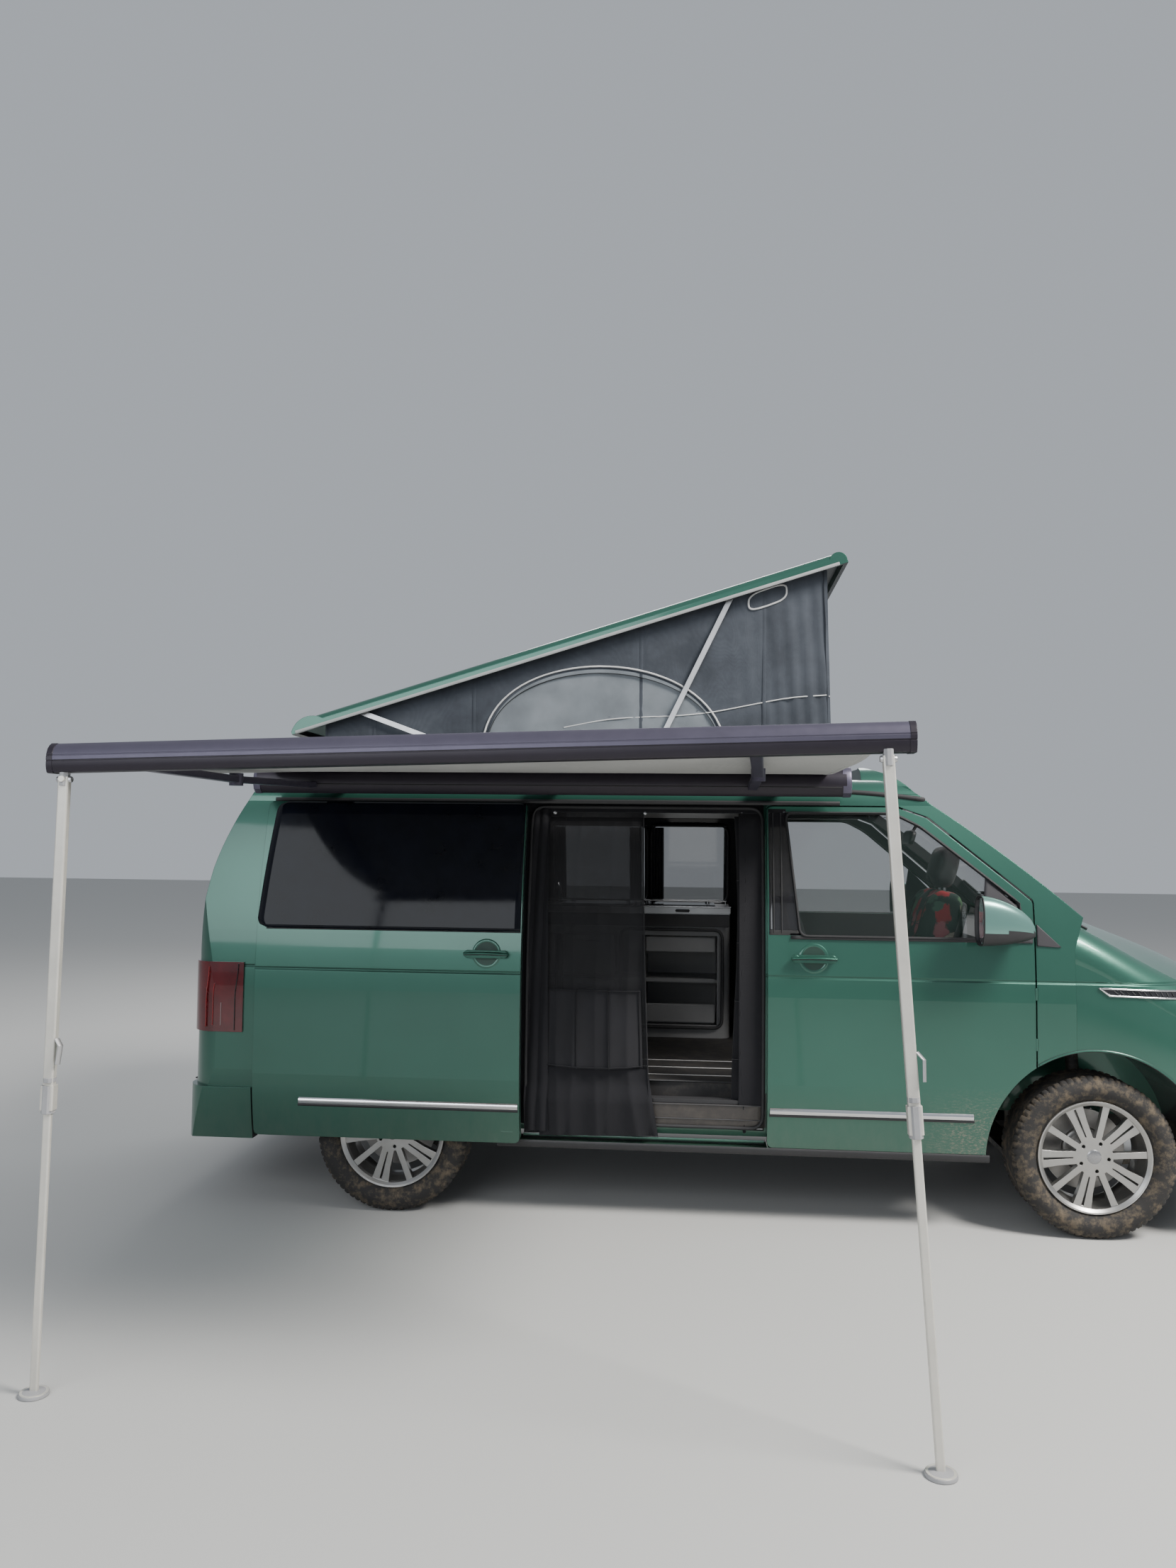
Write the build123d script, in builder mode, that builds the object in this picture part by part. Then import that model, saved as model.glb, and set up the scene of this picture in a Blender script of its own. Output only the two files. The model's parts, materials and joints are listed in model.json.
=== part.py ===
"""Camper van with a raised lifting roof, an open sliding door and a wind-out awning.

Millimetres. +X is the van's front, +Y its left side, +Z up, and the ground is z = 0.
The origin lies on the ground under the middle of the whole outline, awning and mirrors included.
Places along the van are measured from the front axle, and places across it from its centreline:
van(x, y, z) turns them into the part's own frame.
"""

from build123d import *
from functools import lru_cache
from math import atan2, cos, degrees, radians, sin, tan
import os

os.makedirs("parts", exist_ok=True)

# Overall sizes
LENGTH = 4904
BODY_WIDTH = 1904
MIRROR_SPAN = 2297
WHEELBASE = 3000
FRONT_OVERHANG = 908
TRACK = 1628
ROOF_HEIGHT = 1990
AWNING_REACH = 2890

HALF = BODY_WIDTH / 2
REAR_AXLE = -WHEELBASE
FRONT_END = FRONT_OVERHANG
REAR_END = FRONT_OVERHANG - LENGTH
AXLE_TO_ORIGIN = LENGTH / 2 - FRONT_OVERHANG
CENTRE_TO_ORIGIN = (AWNING_REACH - MIRROR_SPAN / 2) / 2

# Walls and gaps; a hinge barrel fits its recess with play all round
BARREL = 6.7
WALL = 50
SKIN = 24
GLASS = 5
SHUT_GAP = 6
PLAY = 0.3
SEAM = PLAY

# Wheels
TYRE_RADIUS = 338
TYRE_WIDTH = 235
RIM_RADIUS = 233
RIM_WIDTH = 200
BEAD_RADIUS = 222
HUB_RADIUS = 34
DISC_RADIUS = 170
DISC_THICKNESS = 26
ARCH_RADIUS = 445
LINER = 8
SPOKES = 5

# Body lines, from the ground
SILL_BOTTOM = 315
FLOOR_TOP = 570
FLOOR_THICKNESS = 45
BODY_TOP = 1858
WAIST = 1225
BELT = 1240
CANT_RAIL = 1808
FRAME_TOP = 1925
TAILGATE_SILL = 568

# Places along the van, from the front axle
COWL = -42
SCREEN_TOP = -640
DOOR_FRONT = -247
DOOR_REAR = -1360
SLIDER_WIDTH = 1180
SLIDER_TRAVEL = 1054
SLIDER_OUT = 76
APERTURE_REAR = -2425
CORNER_REAR = -3800

# Lifting roof
LID_FRONT = -935
LID_LENGTH = 2720
LID_HALF = 672
LID_TILT = 17.1
LID_SKIN = 18
LID_REAR_SHIFT = 72
LID_REAR_RISE = 196
TENT_HALF = 620
TENT_WALL = 8

# Awning
AWNING_LENGTH = 2560
AWNING_FRONT = -1040
CASE_INNER = 968
CASE_DEPTH = 92
CASE_BOTTOM = 1835
CASE_HEIGHT = 138
RAIL_OUT = 2760
RAIL_LENGTH = 2470
RAIL_FRONT = -1085
RAIL_FRONT_HEIGHT = 1930
RAIL_REAR_HEIGHT = 1860
LEG_WIDTH = 32


def van(x, y, z):
    """A point given from the front axle, the centreline and the ground."""
    return (AXLE_TO_ORIGIN + x, CENTRE_TO_ORIGIN + y, z)


def side(y=0):
    """A plane seen from the right side: its x runs forward, its y up, and it faces right."""
    return Plane(origin=van(0, y, 0), x_dir=(1, 0, 0), z_dir=(0, -1, 0))


def across(x=0):
    """A plane across the van: its x runs left, its y up, and it faces forward."""
    return Plane(origin=van(x, 0, 0), x_dir=(0, 1, 0), z_dir=(1, 0, 0))


def level(z=0):
    """A level plane: its x runs forward, its y left."""
    return Plane(origin=van(0, 0, z))


CENTRE = Plane(origin=van(0, 0, 0), x_dir=(1, 0, 0), z_dir=(0, 1, 0))
RIGHT = -1
LEFT = 1


def block(x0, x1, y0, y1, z0, z1):
    """A plain box between two corners, for cutting the shell into panels."""
    with BuildPart() as cut:
        with Locations(van((x0 + x1) / 2, (y0 + y1) / 2, (z0 + z1) / 2)):
            Box(abs(x1 - x0), abs(y1 - y0), abs(z1 - z0))
    return cut.part


def prism(points, y0, y1, corner=0):
    """An outline seen from the side, run from y0 to y1, its corners rounded."""
    with BuildPart() as cut:
        with BuildSketch(side(max(y0, y1))) as face:
            with BuildLine():
                Polyline(*points, close=True)
            make_face()
            if corner:
                fillet(face.vertices(), corner)
        extrude(amount=abs(y1 - y0))
    return cut.part


# Body form: the cabin is a cross-section run along the van and trimmed by its side view and plan
@lru_cache
def cabin_form(inset):
    """The closed cabin shape, drawn in by a wall's thickness."""
    half = HALF - inset
    low = SILL_BOTTOM + inset
    rail = HALF - 142 - inset
    with BuildPart() as form:
        with BuildSketch(across(REAR_END - 10)):
            with BuildLine():
                Line((0, low), (half - 47, low))
                ThreePointArc((half - 47, low), (half - 8, 520), (half, 800))
                ThreePointArc((half, 800), (half - 1, 1010), (half - 15.5, WAIST))
                ThreePointArc((half - 15.5, WAIST), (half - 66, 1540), (rail, CANT_RAIL))
                ThreePointArc((rail, CANT_RAIL), (rail - 32, 1882 - inset), (rail - 105, FRAME_TOP - inset))
                Line((rail - 105, FRAME_TOP - inset), (0, FRAME_TOP - inset))
                mirror(about=Plane.YZ)
            make_face()
        extrude(amount=LENGTH)
        with BuildSketch(side(HALF + 10)):
            back = -3925 + inset
            with BuildLine():
                Polyline((COWL - 40 - inset, low), (back, low), (back, 800))
                ThreePointArc((back, 800), (back + 22, 1180), (back + 72, 1500))
                ThreePointArc((back + 72, 1500), (back + 150, 1720), (back + 262, FRAME_TOP - inset))
                Line((back + 262, FRAME_TOP - inset), (SCREEN_TOP - 270, FRAME_TOP - inset))
                ThreePointArc(
                    (SCREEN_TOP - 270, FRAME_TOP - inset),
                    (SCREEN_TOP - 105, 1886 - inset),
                    (SCREEN_TOP - 10 - inset, 1818 - inset * 0.5),
                )
                ThreePointArc(
                    (SCREEN_TOP - 10 - inset, 1818 - inset * 0.5),
                    (-345 - inset, 1592 - inset * 0.5),
                    (COWL - inset, 1338 - inset * 0.5),
                )
                Polyline((COWL - inset, 1338 - inset * 0.5), (COWL - 40 - inset, 1200), (COWL - 40 - inset, low))
            make_face()
        extrude(amount=BODY_WIDTH + 20, mode=Mode.INTERSECT)
        with BuildSketch(level(0)) as plan:
            with BuildLine():
                Line((100, 0), (100, half))
                Line((100, half), (CORNER_REAR + inset, half))
                ThreePointArc(
                    (CORNER_REAR + inset, half),
                    (CORNER_REAR - 88 + inset, half - 42),
                    (CORNER_REAR - 122 + inset, half - 150),
                )
                ThreePointArc(
                    (CORNER_REAR - 122 + inset, half - 150),
                    (CORNER_REAR - 136 + inset, half / 2),
                    (CORNER_REAR - 140 + inset, 0),
                )
                mirror(about=Plane.XZ)
            make_face()
        extrude(amount=ROOF_HEIGHT, mode=Mode.INTERSECT)
    return form.part


# Nose form: x, bottom z, bottom half width, side (y, z), shoulder start, shoulder, bonnet edge, bonnet, crown z
NOSE_SECTIONS = (
    (-300, 315, 905, (951, 760), (943, 1150), (922, 1270), (850, 1345), (450, 1392), 1405),
    (0, 305, 905, (952, 700), (941, 1110), (914, 1220), (850, 1272), (450, 1332), 1350),
    (380, 280, 905, (950, 620), (938, 900), (912, 1002), (850, 1066), (450, 1172), 1206),
    (680, 262, 872, (897, 520), (882, 760), (850, 876), (780, 938), (420, 1030), 1060),
    (850, 255, 780, (803, 480), (785, 680), (750, 790), (670, 842), (360, 898), 922),
    (FRONT_END, 255, 640, (660, 460), (640, 640), (610, 728), (540, 766), (280, 796), 812),
)


def nose_form(inset):
    """The closed nose shape from ahead of the doors to the bumper, drawn in by a skin's thickness."""
    with BuildPart() as form:
        for x, low, foot, flank, start, shoulder, edge, bonnet, crown in NOSE_SECTIONS:
            ahead = min(x, FRONT_END - inset)
            with BuildSketch(across(ahead)):
                with BuildLine():
                    Line((0, low + inset), (foot - inset, low + inset))
                    ThreePointArc(
                        (foot - inset, low + inset),
                        (flank[0] - inset, flank[1]),
                        (start[0] - inset, start[1] - inset * 0.3),
                    )
                    ThreePointArc(
                        (start[0] - inset, start[1] - inset * 0.3),
                        (shoulder[0] - inset * 0.8, shoulder[1] - inset * 0.7),
                        (edge[0] - inset * 0.4, edge[1] - inset),
                    )
                    ThreePointArc(
                        (edge[0] - inset * 0.4, edge[1] - inset),
                        (bonnet[0], bonnet[1] - inset),
                        (0, crown - inset),
                    )
                    mirror(about=Plane.YZ)
                make_face()
        loft()
    return form.part


FRAME_DEPTH = 54
cabin_outer = cabin_form(0)
cabin_inner = cabin_form(WALL)
door_inner = cabin_form(WALL - SHUT_GAP)
frame_inner = cabin_form(WALL + FRAME_DEPTH)
nose_outer = nose_form(0)
nose_inner = nose_form(SKIN)
with BuildPart() as nose_skin:
    add(nose_outer)
    add(nose_inner, mode=Mode.SUBTRACT)
nose_shell = nose_skin.part


# Arches: round holes through the sides, centred on the wheels
def arch(x, grow=0):
    """The round cut of a pair of wheel arches."""
    with BuildPart() as cut:
        with BuildSketch(side(HALF + 20)):
            with Locations((x, TYRE_RADIUS)):
                Circle(ARCH_RADIUS + grow)
        extrude(amount=2 * HALF + 40)
    return cut.part


LINER_INNER_Y = 475
REAR_LINER_Y = 655


def door_outline(grow):
    """The front door seen from the side; grow widens it into the hole that it closes."""
    front = DOOR_FRONT + grow
    rear = DOOR_REAR - grow
    low = SILL_BOTTOM + 18 - grow
    top = CANT_RAIL - 8 + grow
    return [
        (front, low),
        (front, 1400 + grow),
        (-668 + grow, 1752 + grow),
        (-800 + grow, top),
        (rear, top),
        (rear, low),
    ]


def door_window(grow):
    """The front door's glass outline."""
    return [
        (-300 + grow, BELT - grow),
        (-300 + grow, 1392),
        (-700, 1716 + grow),
        (-810, 1772 + grow),
        (-1279 - grow, 1772 + grow),
        (-1222 - grow, BELT - grow),
    ]


DOOR_HINGE_X = DOOR_FRONT + 3
DOOR_HINGE_Y = HALF - 5


def door_hinge(hand, radius):
    """The front door's two hinge barrels on the shut line."""
    with BuildPart() as barrels:
        for z in (780, 990):
            with BuildSketch(level(z)):
                with Locations((DOOR_HINGE_X, hand * DOOR_HINGE_Y)):
                    Circle(radius)
            extrude(amount=50)
    return barrels.part


SLIDER_FRONT = DOOR_REAR - SHUT_GAP
SLIDER_REAR = SLIDER_FRONT - SLIDER_WIDTH


def slider_outline(grow):
    """The closed sliding door seen from the side."""
    return [
        (SLIDER_FRONT + grow, SILL_BOTTOM + 18 - grow),
        (SLIDER_FRONT + grow, CANT_RAIL - 4 + grow),
        (SLIDER_REAR - grow, CANT_RAIL - 4 + grow),
        (SLIDER_REAR - grow, SILL_BOTTOM + 18 - grow),
    ]


def slider_window(grow):
    """The sliding door's glass outline."""
    return [
        (SLIDER_FRONT - 60 + grow, BELT - grow),
        (SLIDER_FRONT - 60 + grow, 1772 + grow),
        (SLIDER_REAR + 42 - grow, 1772 + grow),
        (SLIDER_REAR + 42 - grow, BELT - grow),
    ]


# Side glass: name of the side, x front, x rear, z low, z high
SIDE_WINDOWS = (
    ("left", -1500, -1915, BELT + 20, 1760),
    ("left", -1965, -2500, BELT + 20, 1760),
    ("left", -2660, -3540, BELT + 10, 1765),
    ("right", -2680, -3540, BELT + 10, 1765),
)


def pane_outline(x0, x1, z0, z1, grow):
    """A side window; the rear panes lean with the body's back edge."""
    lean = 60 if x1 < -3000 else 0
    return [
        (x0 + grow, z0 - grow),
        (x0 + grow, z1 + grow),
        (x1 + lean - grow, z1 + grow),
        (x1 - lean - grow, z0 - grow),
    ]


PANE_CORNER = 45
OUT = HALF + 60
IN = 600
TAILGATE_HALF = 770


def tailgate_outline(grow):
    """The tailgate seen from behind: half its outline, mirrored by the sketch that uses it."""
    return [
        (0, TAILGATE_SILL - grow),
        (TAILGATE_HALF - 20 + grow, TAILGATE_SILL - grow),
        (TAILGATE_HALF + grow, BELT - 120),
        (TAILGATE_HALF - 95 + grow, 1800),
        (TAILGATE_HALF - 150 + grow, 1858 + grow),
        (0, 1868 + grow),
    ]


def rear_prism(points, x0, x1, corner=0):
    """A half outline seen from behind, mirrored about the centreline and run from x0 to x1."""
    with BuildPart() as cut:
        with BuildSketch(across(min(x0, x1))) as face:
            with BuildLine():
                Polyline(*points)
                mirror(about=Plane.YZ)
            make_face()
            if corner:
                fillet(face.vertices().filter_by(lambda v: abs(v.Y - CENTRE_TO_ORIGIN) > 1), corner)
        extrude(amount=abs(x1 - x0))
    return cut.part


TAILGATE_FRONT = -3560
TAILGATE_HINGE = (-3691, 1871)


def tailgate_hinge(radius):
    """The tailgate's hinge barrel under the roof's rear edge."""
    with BuildPart() as barrel:
        with BuildSketch(side(80)):
            with Locations(TAILGATE_HINGE):
                Circle(radius)
        extrude(amount=160)
    return barrel.part


def screen_outline(grow):
    """Half of the windscreen seen from the front."""
    return [(0, 1352 - grow), (772 + grow, 1352 - grow), (694 + grow, 1806 + grow), (0, 1806 + grow)]


def finish(piece, name):
    """Label a finished piece and write it under its own name."""
    piece.label = name
    export_step(piece, f"parts/{name}.step")


SILL_TOP = FLOOR_TOP - FLOOR_THICKNESS
BULKHEAD = COWL - 40
SILL_INNER = 790
DASH_HALF = 840


def door_frame(hand):
    """The flanges behind the doors of one side: sill, posts and cant rail."""
    inner = hand * IN
    outer = hand * OUT
    with BuildPart() as stretches:
        add(block(SLIDER_REAR - 30, -460, hand * SILL_INNER, outer, 0, SILL_TOP))
        add(block(-460, BULKHEAD - WALL, hand * (DASH_HALF + PLAY), outer, 0, BELT - 30))
        add(block(DOOR_REAR - 62, DOOR_REAR + 48, inner, outer, SILL_TOP - 1, BODY_TOP))
        add(block(SLIDER_REAR - 30, -760, inner, outer, CANT_RAIL - 30, BODY_TOP))
        add(block(SLIDER_REAR - 30, APERTURE_REAR, inner, outer, SILL_TOP - 1, BODY_TOP))
    with BuildPart() as flanges:
        add(cabin_inner)
        add(frame_inner, mode=Mode.SUBTRACT)
        add(stretches.part, mode=Mode.INTERSECT)
        add(arch(0, LINER + PLAY), mode=Mode.SUBTRACT)
    return flanges.part


# Body sides: the cabin wall of each side with its door frames, cut by doors, windows and arches
for name, hand in (("right", RIGHT), ("left", LEFT)):
    outer = hand * OUT
    inner = hand * IN
    with BuildPart() as body_side:
        add(cabin_outer)
        add(cabin_inner, mode=Mode.SUBTRACT)
        add(block(REAR_END - 20, DOOR_FRONT + 260, inner, outer, 0, BODY_TOP), mode=Mode.INTERSECT)
        add(prism(door_outline(SHUT_GAP), outer, inner, 30), mode=Mode.SUBTRACT)
        if hand == RIGHT:
            add(prism(slider_outline(SHUT_GAP), outer, inner), mode=Mode.SUBTRACT)
        add(block(REAR_END - 20, 0, inner, hand * SILL_INNER, 0, SILL_TOP - 60), mode=Mode.SUBTRACT)
        add(block(BULKHEAD - WALL - 60, 100, inner, hand * (DASH_HALF + PLAY), 0, 1352), mode=Mode.SUBTRACT)
        add(door_frame(hand))
        add(rear_prism(tailgate_outline(SHUT_GAP), REAR_END - 30, TAILGATE_FRONT - 10), mode=Mode.SUBTRACT)
        add(rear_prism(screen_outline(PLAY), SCREEN_TOP - 60, 100), mode=Mode.SUBTRACT)
        add(arch(0, LINER + PLAY), mode=Mode.SUBTRACT)
        add(arch(REAR_AXLE), mode=Mode.SUBTRACT)
        add(nose_shell, mode=Mode.SUBTRACT)
        add(door_hinge(hand, BARREL + PLAY), mode=Mode.SUBTRACT)
        for pane_side, x0, x1, z0, z1 in SIDE_WINDOWS:
            if pane_side == name:
                add(prism(pane_outline(x0, x1, z0, z1, 0), outer, inner, PANE_CORNER), mode=Mode.SUBTRACT)
    finish(body_side.part, f"body_side_{name}")

# Roof frame: the rim round the lifting roof's opening, with the header over the windscreen
ROOF_OPENING_FRONT = -1010
ROOF_OPENING_REAR = -3470
HEADER_FRONT = -600
STRUT_SLOT = (-2432, -1930)
STRUT_SLOT_HALF = 641
with BuildPart() as roof_frame:
    add(cabin_outer)
    add(cabin_inner, mode=Mode.SUBTRACT)
    add(block(REAR_END, HEADER_FRONT, -HALF, HALF, BODY_TOP, ROOF_HEIGHT), mode=Mode.INTERSECT)
    add(
        block(REAR_END, TAILGATE_FRONT - 10, -HALF, HALF, 0, 1868 + SHUT_GAP),
        mode=Mode.SUBTRACT,
    )
    add(
        block(ROOF_OPENING_REAR, ROOF_OPENING_FRONT, -TENT_HALF - PLAY, TENT_HALF + PLAY, 1700, ROOF_HEIGHT),
        mode=Mode.SUBTRACT,
    )
    add(
        block(STRUT_SLOT[0], STRUT_SLOT[1], -STRUT_SLOT_HALF, STRUT_SLOT_HALF, 1700, ROOF_HEIGHT),
        mode=Mode.SUBTRACT,
    )
    with BuildPart(mode=Mode.PRIVATE) as header:
        add(cabin_outer)
        add(cabin_inner, mode=Mode.SUBTRACT)
        add(block(SCREEN_TOP - 100, HEADER_FRONT + 10, -IN, IN, 1806 + PLAY, BODY_TOP), mode=Mode.INTERSECT)
    add(header.part)
    add(tailgate_hinge(BARREL - 1 + PLAY), mode=Mode.SUBTRACT)

# Fixed roof cap over the windscreen, rising to the closed lid's height
CAP_HALF = 690
with BuildPart() as roof_cap:
    with BuildSketch(side(CAP_HALF)):
        with BuildLine():
            Line((SCREEN_TOP - 14, 1800), (LID_FRONT + SHUT_GAP, 1800))
            Line((LID_FRONT + SHUT_GAP, 1800), (LID_FRONT + SHUT_GAP, ROOF_HEIGHT))
            ThreePointArc(
                (LID_FRONT + SHUT_GAP, ROOF_HEIGHT),
                (SCREEN_TOP - 130, 1932),
                (SCREEN_TOP - 14, 1824),
            )
            Line((SCREEN_TOP - 14, 1824), (SCREEN_TOP - 14, 1800))
        make_face()
    extrude(amount=2 * CAP_HALF)
    with BuildSketch(across(LID_FRONT)):
        with BuildLine():
            Line((0, 1700), (CAP_HALF, 1700))
            Line((CAP_HALF, 1700), (CAP_HALF, 1900))
            ThreePointArc((CAP_HALF, 1900), (CAP_HALF - 40, 1960), (CAP_HALF - 150, ROOF_HEIGHT - 6))
            ThreePointArc((CAP_HALF - 150, ROOF_HEIGHT - 6), (CAP_HALF - 420, ROOF_HEIGHT - 1), (0, ROOF_HEIGHT))
            mirror(about=Plane.YZ)
        make_face()
    extrude(amount=500, mode=Mode.INTERSECT)
    add(cabin_form(0), mode=Mode.SUBTRACT)
finish(roof_cap.part, "roof_cap")

# Windscreen, seated in the pillars
with BuildPart() as windscreen:
    add(cabin_form(2))
    add(cabin_form(2 + GLASS), mode=Mode.SUBTRACT)
    add(rear_prism(screen_outline(0), SCREEN_TOP - 60, 100), mode=Mode.INTERSECT)
finish(windscreen.part, "windscreen")

# Floor pan with its wheel housings, rails, front bulkhead and doorway step
FLOOR_REAR = -3860
RAIL_Y = 520
STEP_TOP = 392
with BuildPart() as floor_pan:
    add(cabin_inner)
    add(block(FLOOR_REAR, BULKHEAD - WALL, -HALF, HALF, SILL_TOP, FLOOR_TOP), mode=Mode.INTERSECT)
    with BuildPart(mode=Mode.PRIVATE) as bulkhead:
        add(cabin_outer)
        add(cabin_inner, mode=Mode.SUBTRACT)
        add(block(BULKHEAD - WALL - 60, 0, -DASH_HALF, DASH_HALF, SILL_TOP, 1352 - PLAY), mode=Mode.INTERSECT)
        add(nose_shell, mode=Mode.SUBTRACT)
        for hand in (RIGHT, LEFT):
            add(block(-300, 0, hand * 480, hand * OUT, 1260, 1400), mode=Mode.SUBTRACT)
    add(bulkhead.part)
    for hand in (RIGHT, LEFT):
        add(block(-3700, -700, hand * (RAIL_Y - 40), hand * (RAIL_Y + 40), 420, SILL_TOP))
        with BuildPart(mode=Mode.PRIVATE) as housing:
            with BuildSketch(side(hand * (REAR_LINER_Y if hand == LEFT else HALF))):
                with Locations((REAR_AXLE, TYRE_RADIUS)):
                    Circle(ARCH_RADIUS + LINER)
            extrude(amount=-hand * (HALF - REAR_LINER_Y) if hand == LEFT else -(HALF - REAR_LINER_Y))
            add(cabin_inner, mode=Mode.INTERSECT)
            add(block(-4000, -2000, -HALF, HALF, FLOOR_TOP - 10, 1200), mode=Mode.INTERSECT)
        add(housing.part)
        with BuildPart(mode=Mode.PRIVATE) as well:
            with BuildSketch(side(hand * HALF)):
                with Locations((REAR_AXLE, TYRE_RADIUS)):
                    Circle(ARCH_RADIUS)
            extrude(amount=hand * (HALF - REAR_LINER_Y - LINER))
        add(well.part, mode=Mode.SUBTRACT)
    add(block(SLIDER_REAR + 130, SLIDER_FRONT - 60, -HALF, -760, 0, 800), mode=Mode.SUBTRACT)
    add(block(SLIDER_REAR + 130, SLIDER_FRONT - 60, -(HALF - WALL - FRAME_DEPTH - 20), -748, STEP_TOP - 14, STEP_TOP))
    add(block(SLIDER_REAR + 130, SLIDER_FRONT - 60, -760, -748, STEP_TOP - 14, SILL_TOP + 10))
    for hand in (RIGHT, LEFT):
        add(door_frame(hand), mode=Mode.SUBTRACT)
    with BuildPart(mode=Mode.PRIVATE) as front_wells:
        add(arch(0, LINER + PLAY))
        add(block(-700, 700, -LINER_INNER_Y + PLAY, LINER_INNER_Y - PLAY, -200, 900), mode=Mode.SUBTRACT)
    add(front_wells.part, mode=Mode.SUBTRACT)
finish(floor_pan.part, "floor_pan")

# Kingpins lean inward from the ball joint to the strut's top
PIN_LOW = (700, 215)
PIN_HIGH = (575, 905)
PIN_TILT = degrees(atan2(PIN_LOW[0] - PIN_HIGH[0], PIN_HIGH[1] - PIN_LOW[1]))
STRUT_RADIUS = 27
TOWER_WALL = 12
TOWER_HOLE_Z = 700
TOWER_HOLE = 212


def kingpin(hand, height):
    """A plane on the kingpin's axis at a height, facing up along it."""
    y = PIN_LOW[0] + (PIN_HIGH[0] - PIN_LOW[0]) * (height - PIN_LOW[1]) / (PIN_HIGH[1] - PIN_LOW[1])
    lean = radians(PIN_TILT)
    return Plane(origin=van(0, hand * y, height), x_dir=(1, 0, 0), z_dir=(0, -hand * sin(lean), cos(lean)))


# Bonnet, wings, bumper, grille, lamps and cowl: the nose skin cut along its seams
BONNET_REAR = -30
BONNET_FRONT = 770
BONNET_HINGE = (-35, 1349)
BONNET_EDGE = ((BONNET_REAR, 850), (380, 849), (680, 779), (BONNET_FRONT, 728))
LAMP_OUTLINE = ((505, 880), (545, 918), (640, 935), (FRONT_END + 20, 860), (FRONT_END + 20, 690), (600, 700))
LAMP_INNER = 470
BUMPER_TOP = 690
WING_REAR = DOOR_FRONT + SHUT_GAP


def bonnet_prism(grow):
    """The bonnet's plan outline run up through the nose."""
    with BuildPart() as cut:
        with BuildSketch(level(800)):
            with BuildLine():
                Polyline(
                    (BONNET_REAR - grow, 0),
                    (BONNET_REAR - grow, BONNET_EDGE[0][1] + grow),
                    *[(x, y + grow) for x, y in BONNET_EDGE[1:-1]],
                    (BONNET_FRONT + grow, BONNET_EDGE[-1][1] + grow),
                    (BONNET_FRONT + 22 + grow, 0),
                )
                mirror(about=Plane.XZ)
            make_face()
        extrude(amount=700)
    return cut.part


def bonnet_hinge(radius):
    """The bonnet's hinge barrel at the foot of the windscreen."""
    with BuildPart() as barrel:
        with BuildSketch(side(60)):
            with Locations(BONNET_HINGE):
                Circle(radius)
        extrude(amount=120)
    return barrel.part


def lamp_prism(grow):
    """Both headlamps' side outline, run from their inner edges outward."""
    with BuildPart() as cut:
        for hand in (RIGHT, LEFT):
            add(prism([(x + (-grow if x < 620 else 0), z + (grow if z > 800 else -grow)) for x, z in LAMP_OUTLINE],
                      hand * (LAMP_INNER - grow), hand * OUT))
    return cut.part


with BuildPart() as bonnet:
    add(nose_shell)
    add(bonnet_prism(0), mode=Mode.INTERSECT)
    add(bonnet_hinge(BARREL))
finish(bonnet.part, "bonnet")

with BuildPart() as cowl:
    add(nose_shell)
    add(block(BULKHEAD - 30, BONNET_REAR - 10, -846, 846, 1150, 1500), mode=Mode.INTERSECT)
    add(cabin_outer, mode=Mode.SUBTRACT)
    add(bonnet_hinge(BARREL + PLAY), mode=Mode.SUBTRACT)
finish(cowl.part, "cowl")

with BuildPart() as headlamps:
    add(nose_outer)
    add(nose_form(60), mode=Mode.SUBTRACT)
    add(lamp_prism(0), mode=Mode.INTERSECT)
    add(bonnet_prism(SHUT_GAP), mode=Mode.SUBTRACT)
finish(headlamps.part, "headlamps")

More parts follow.
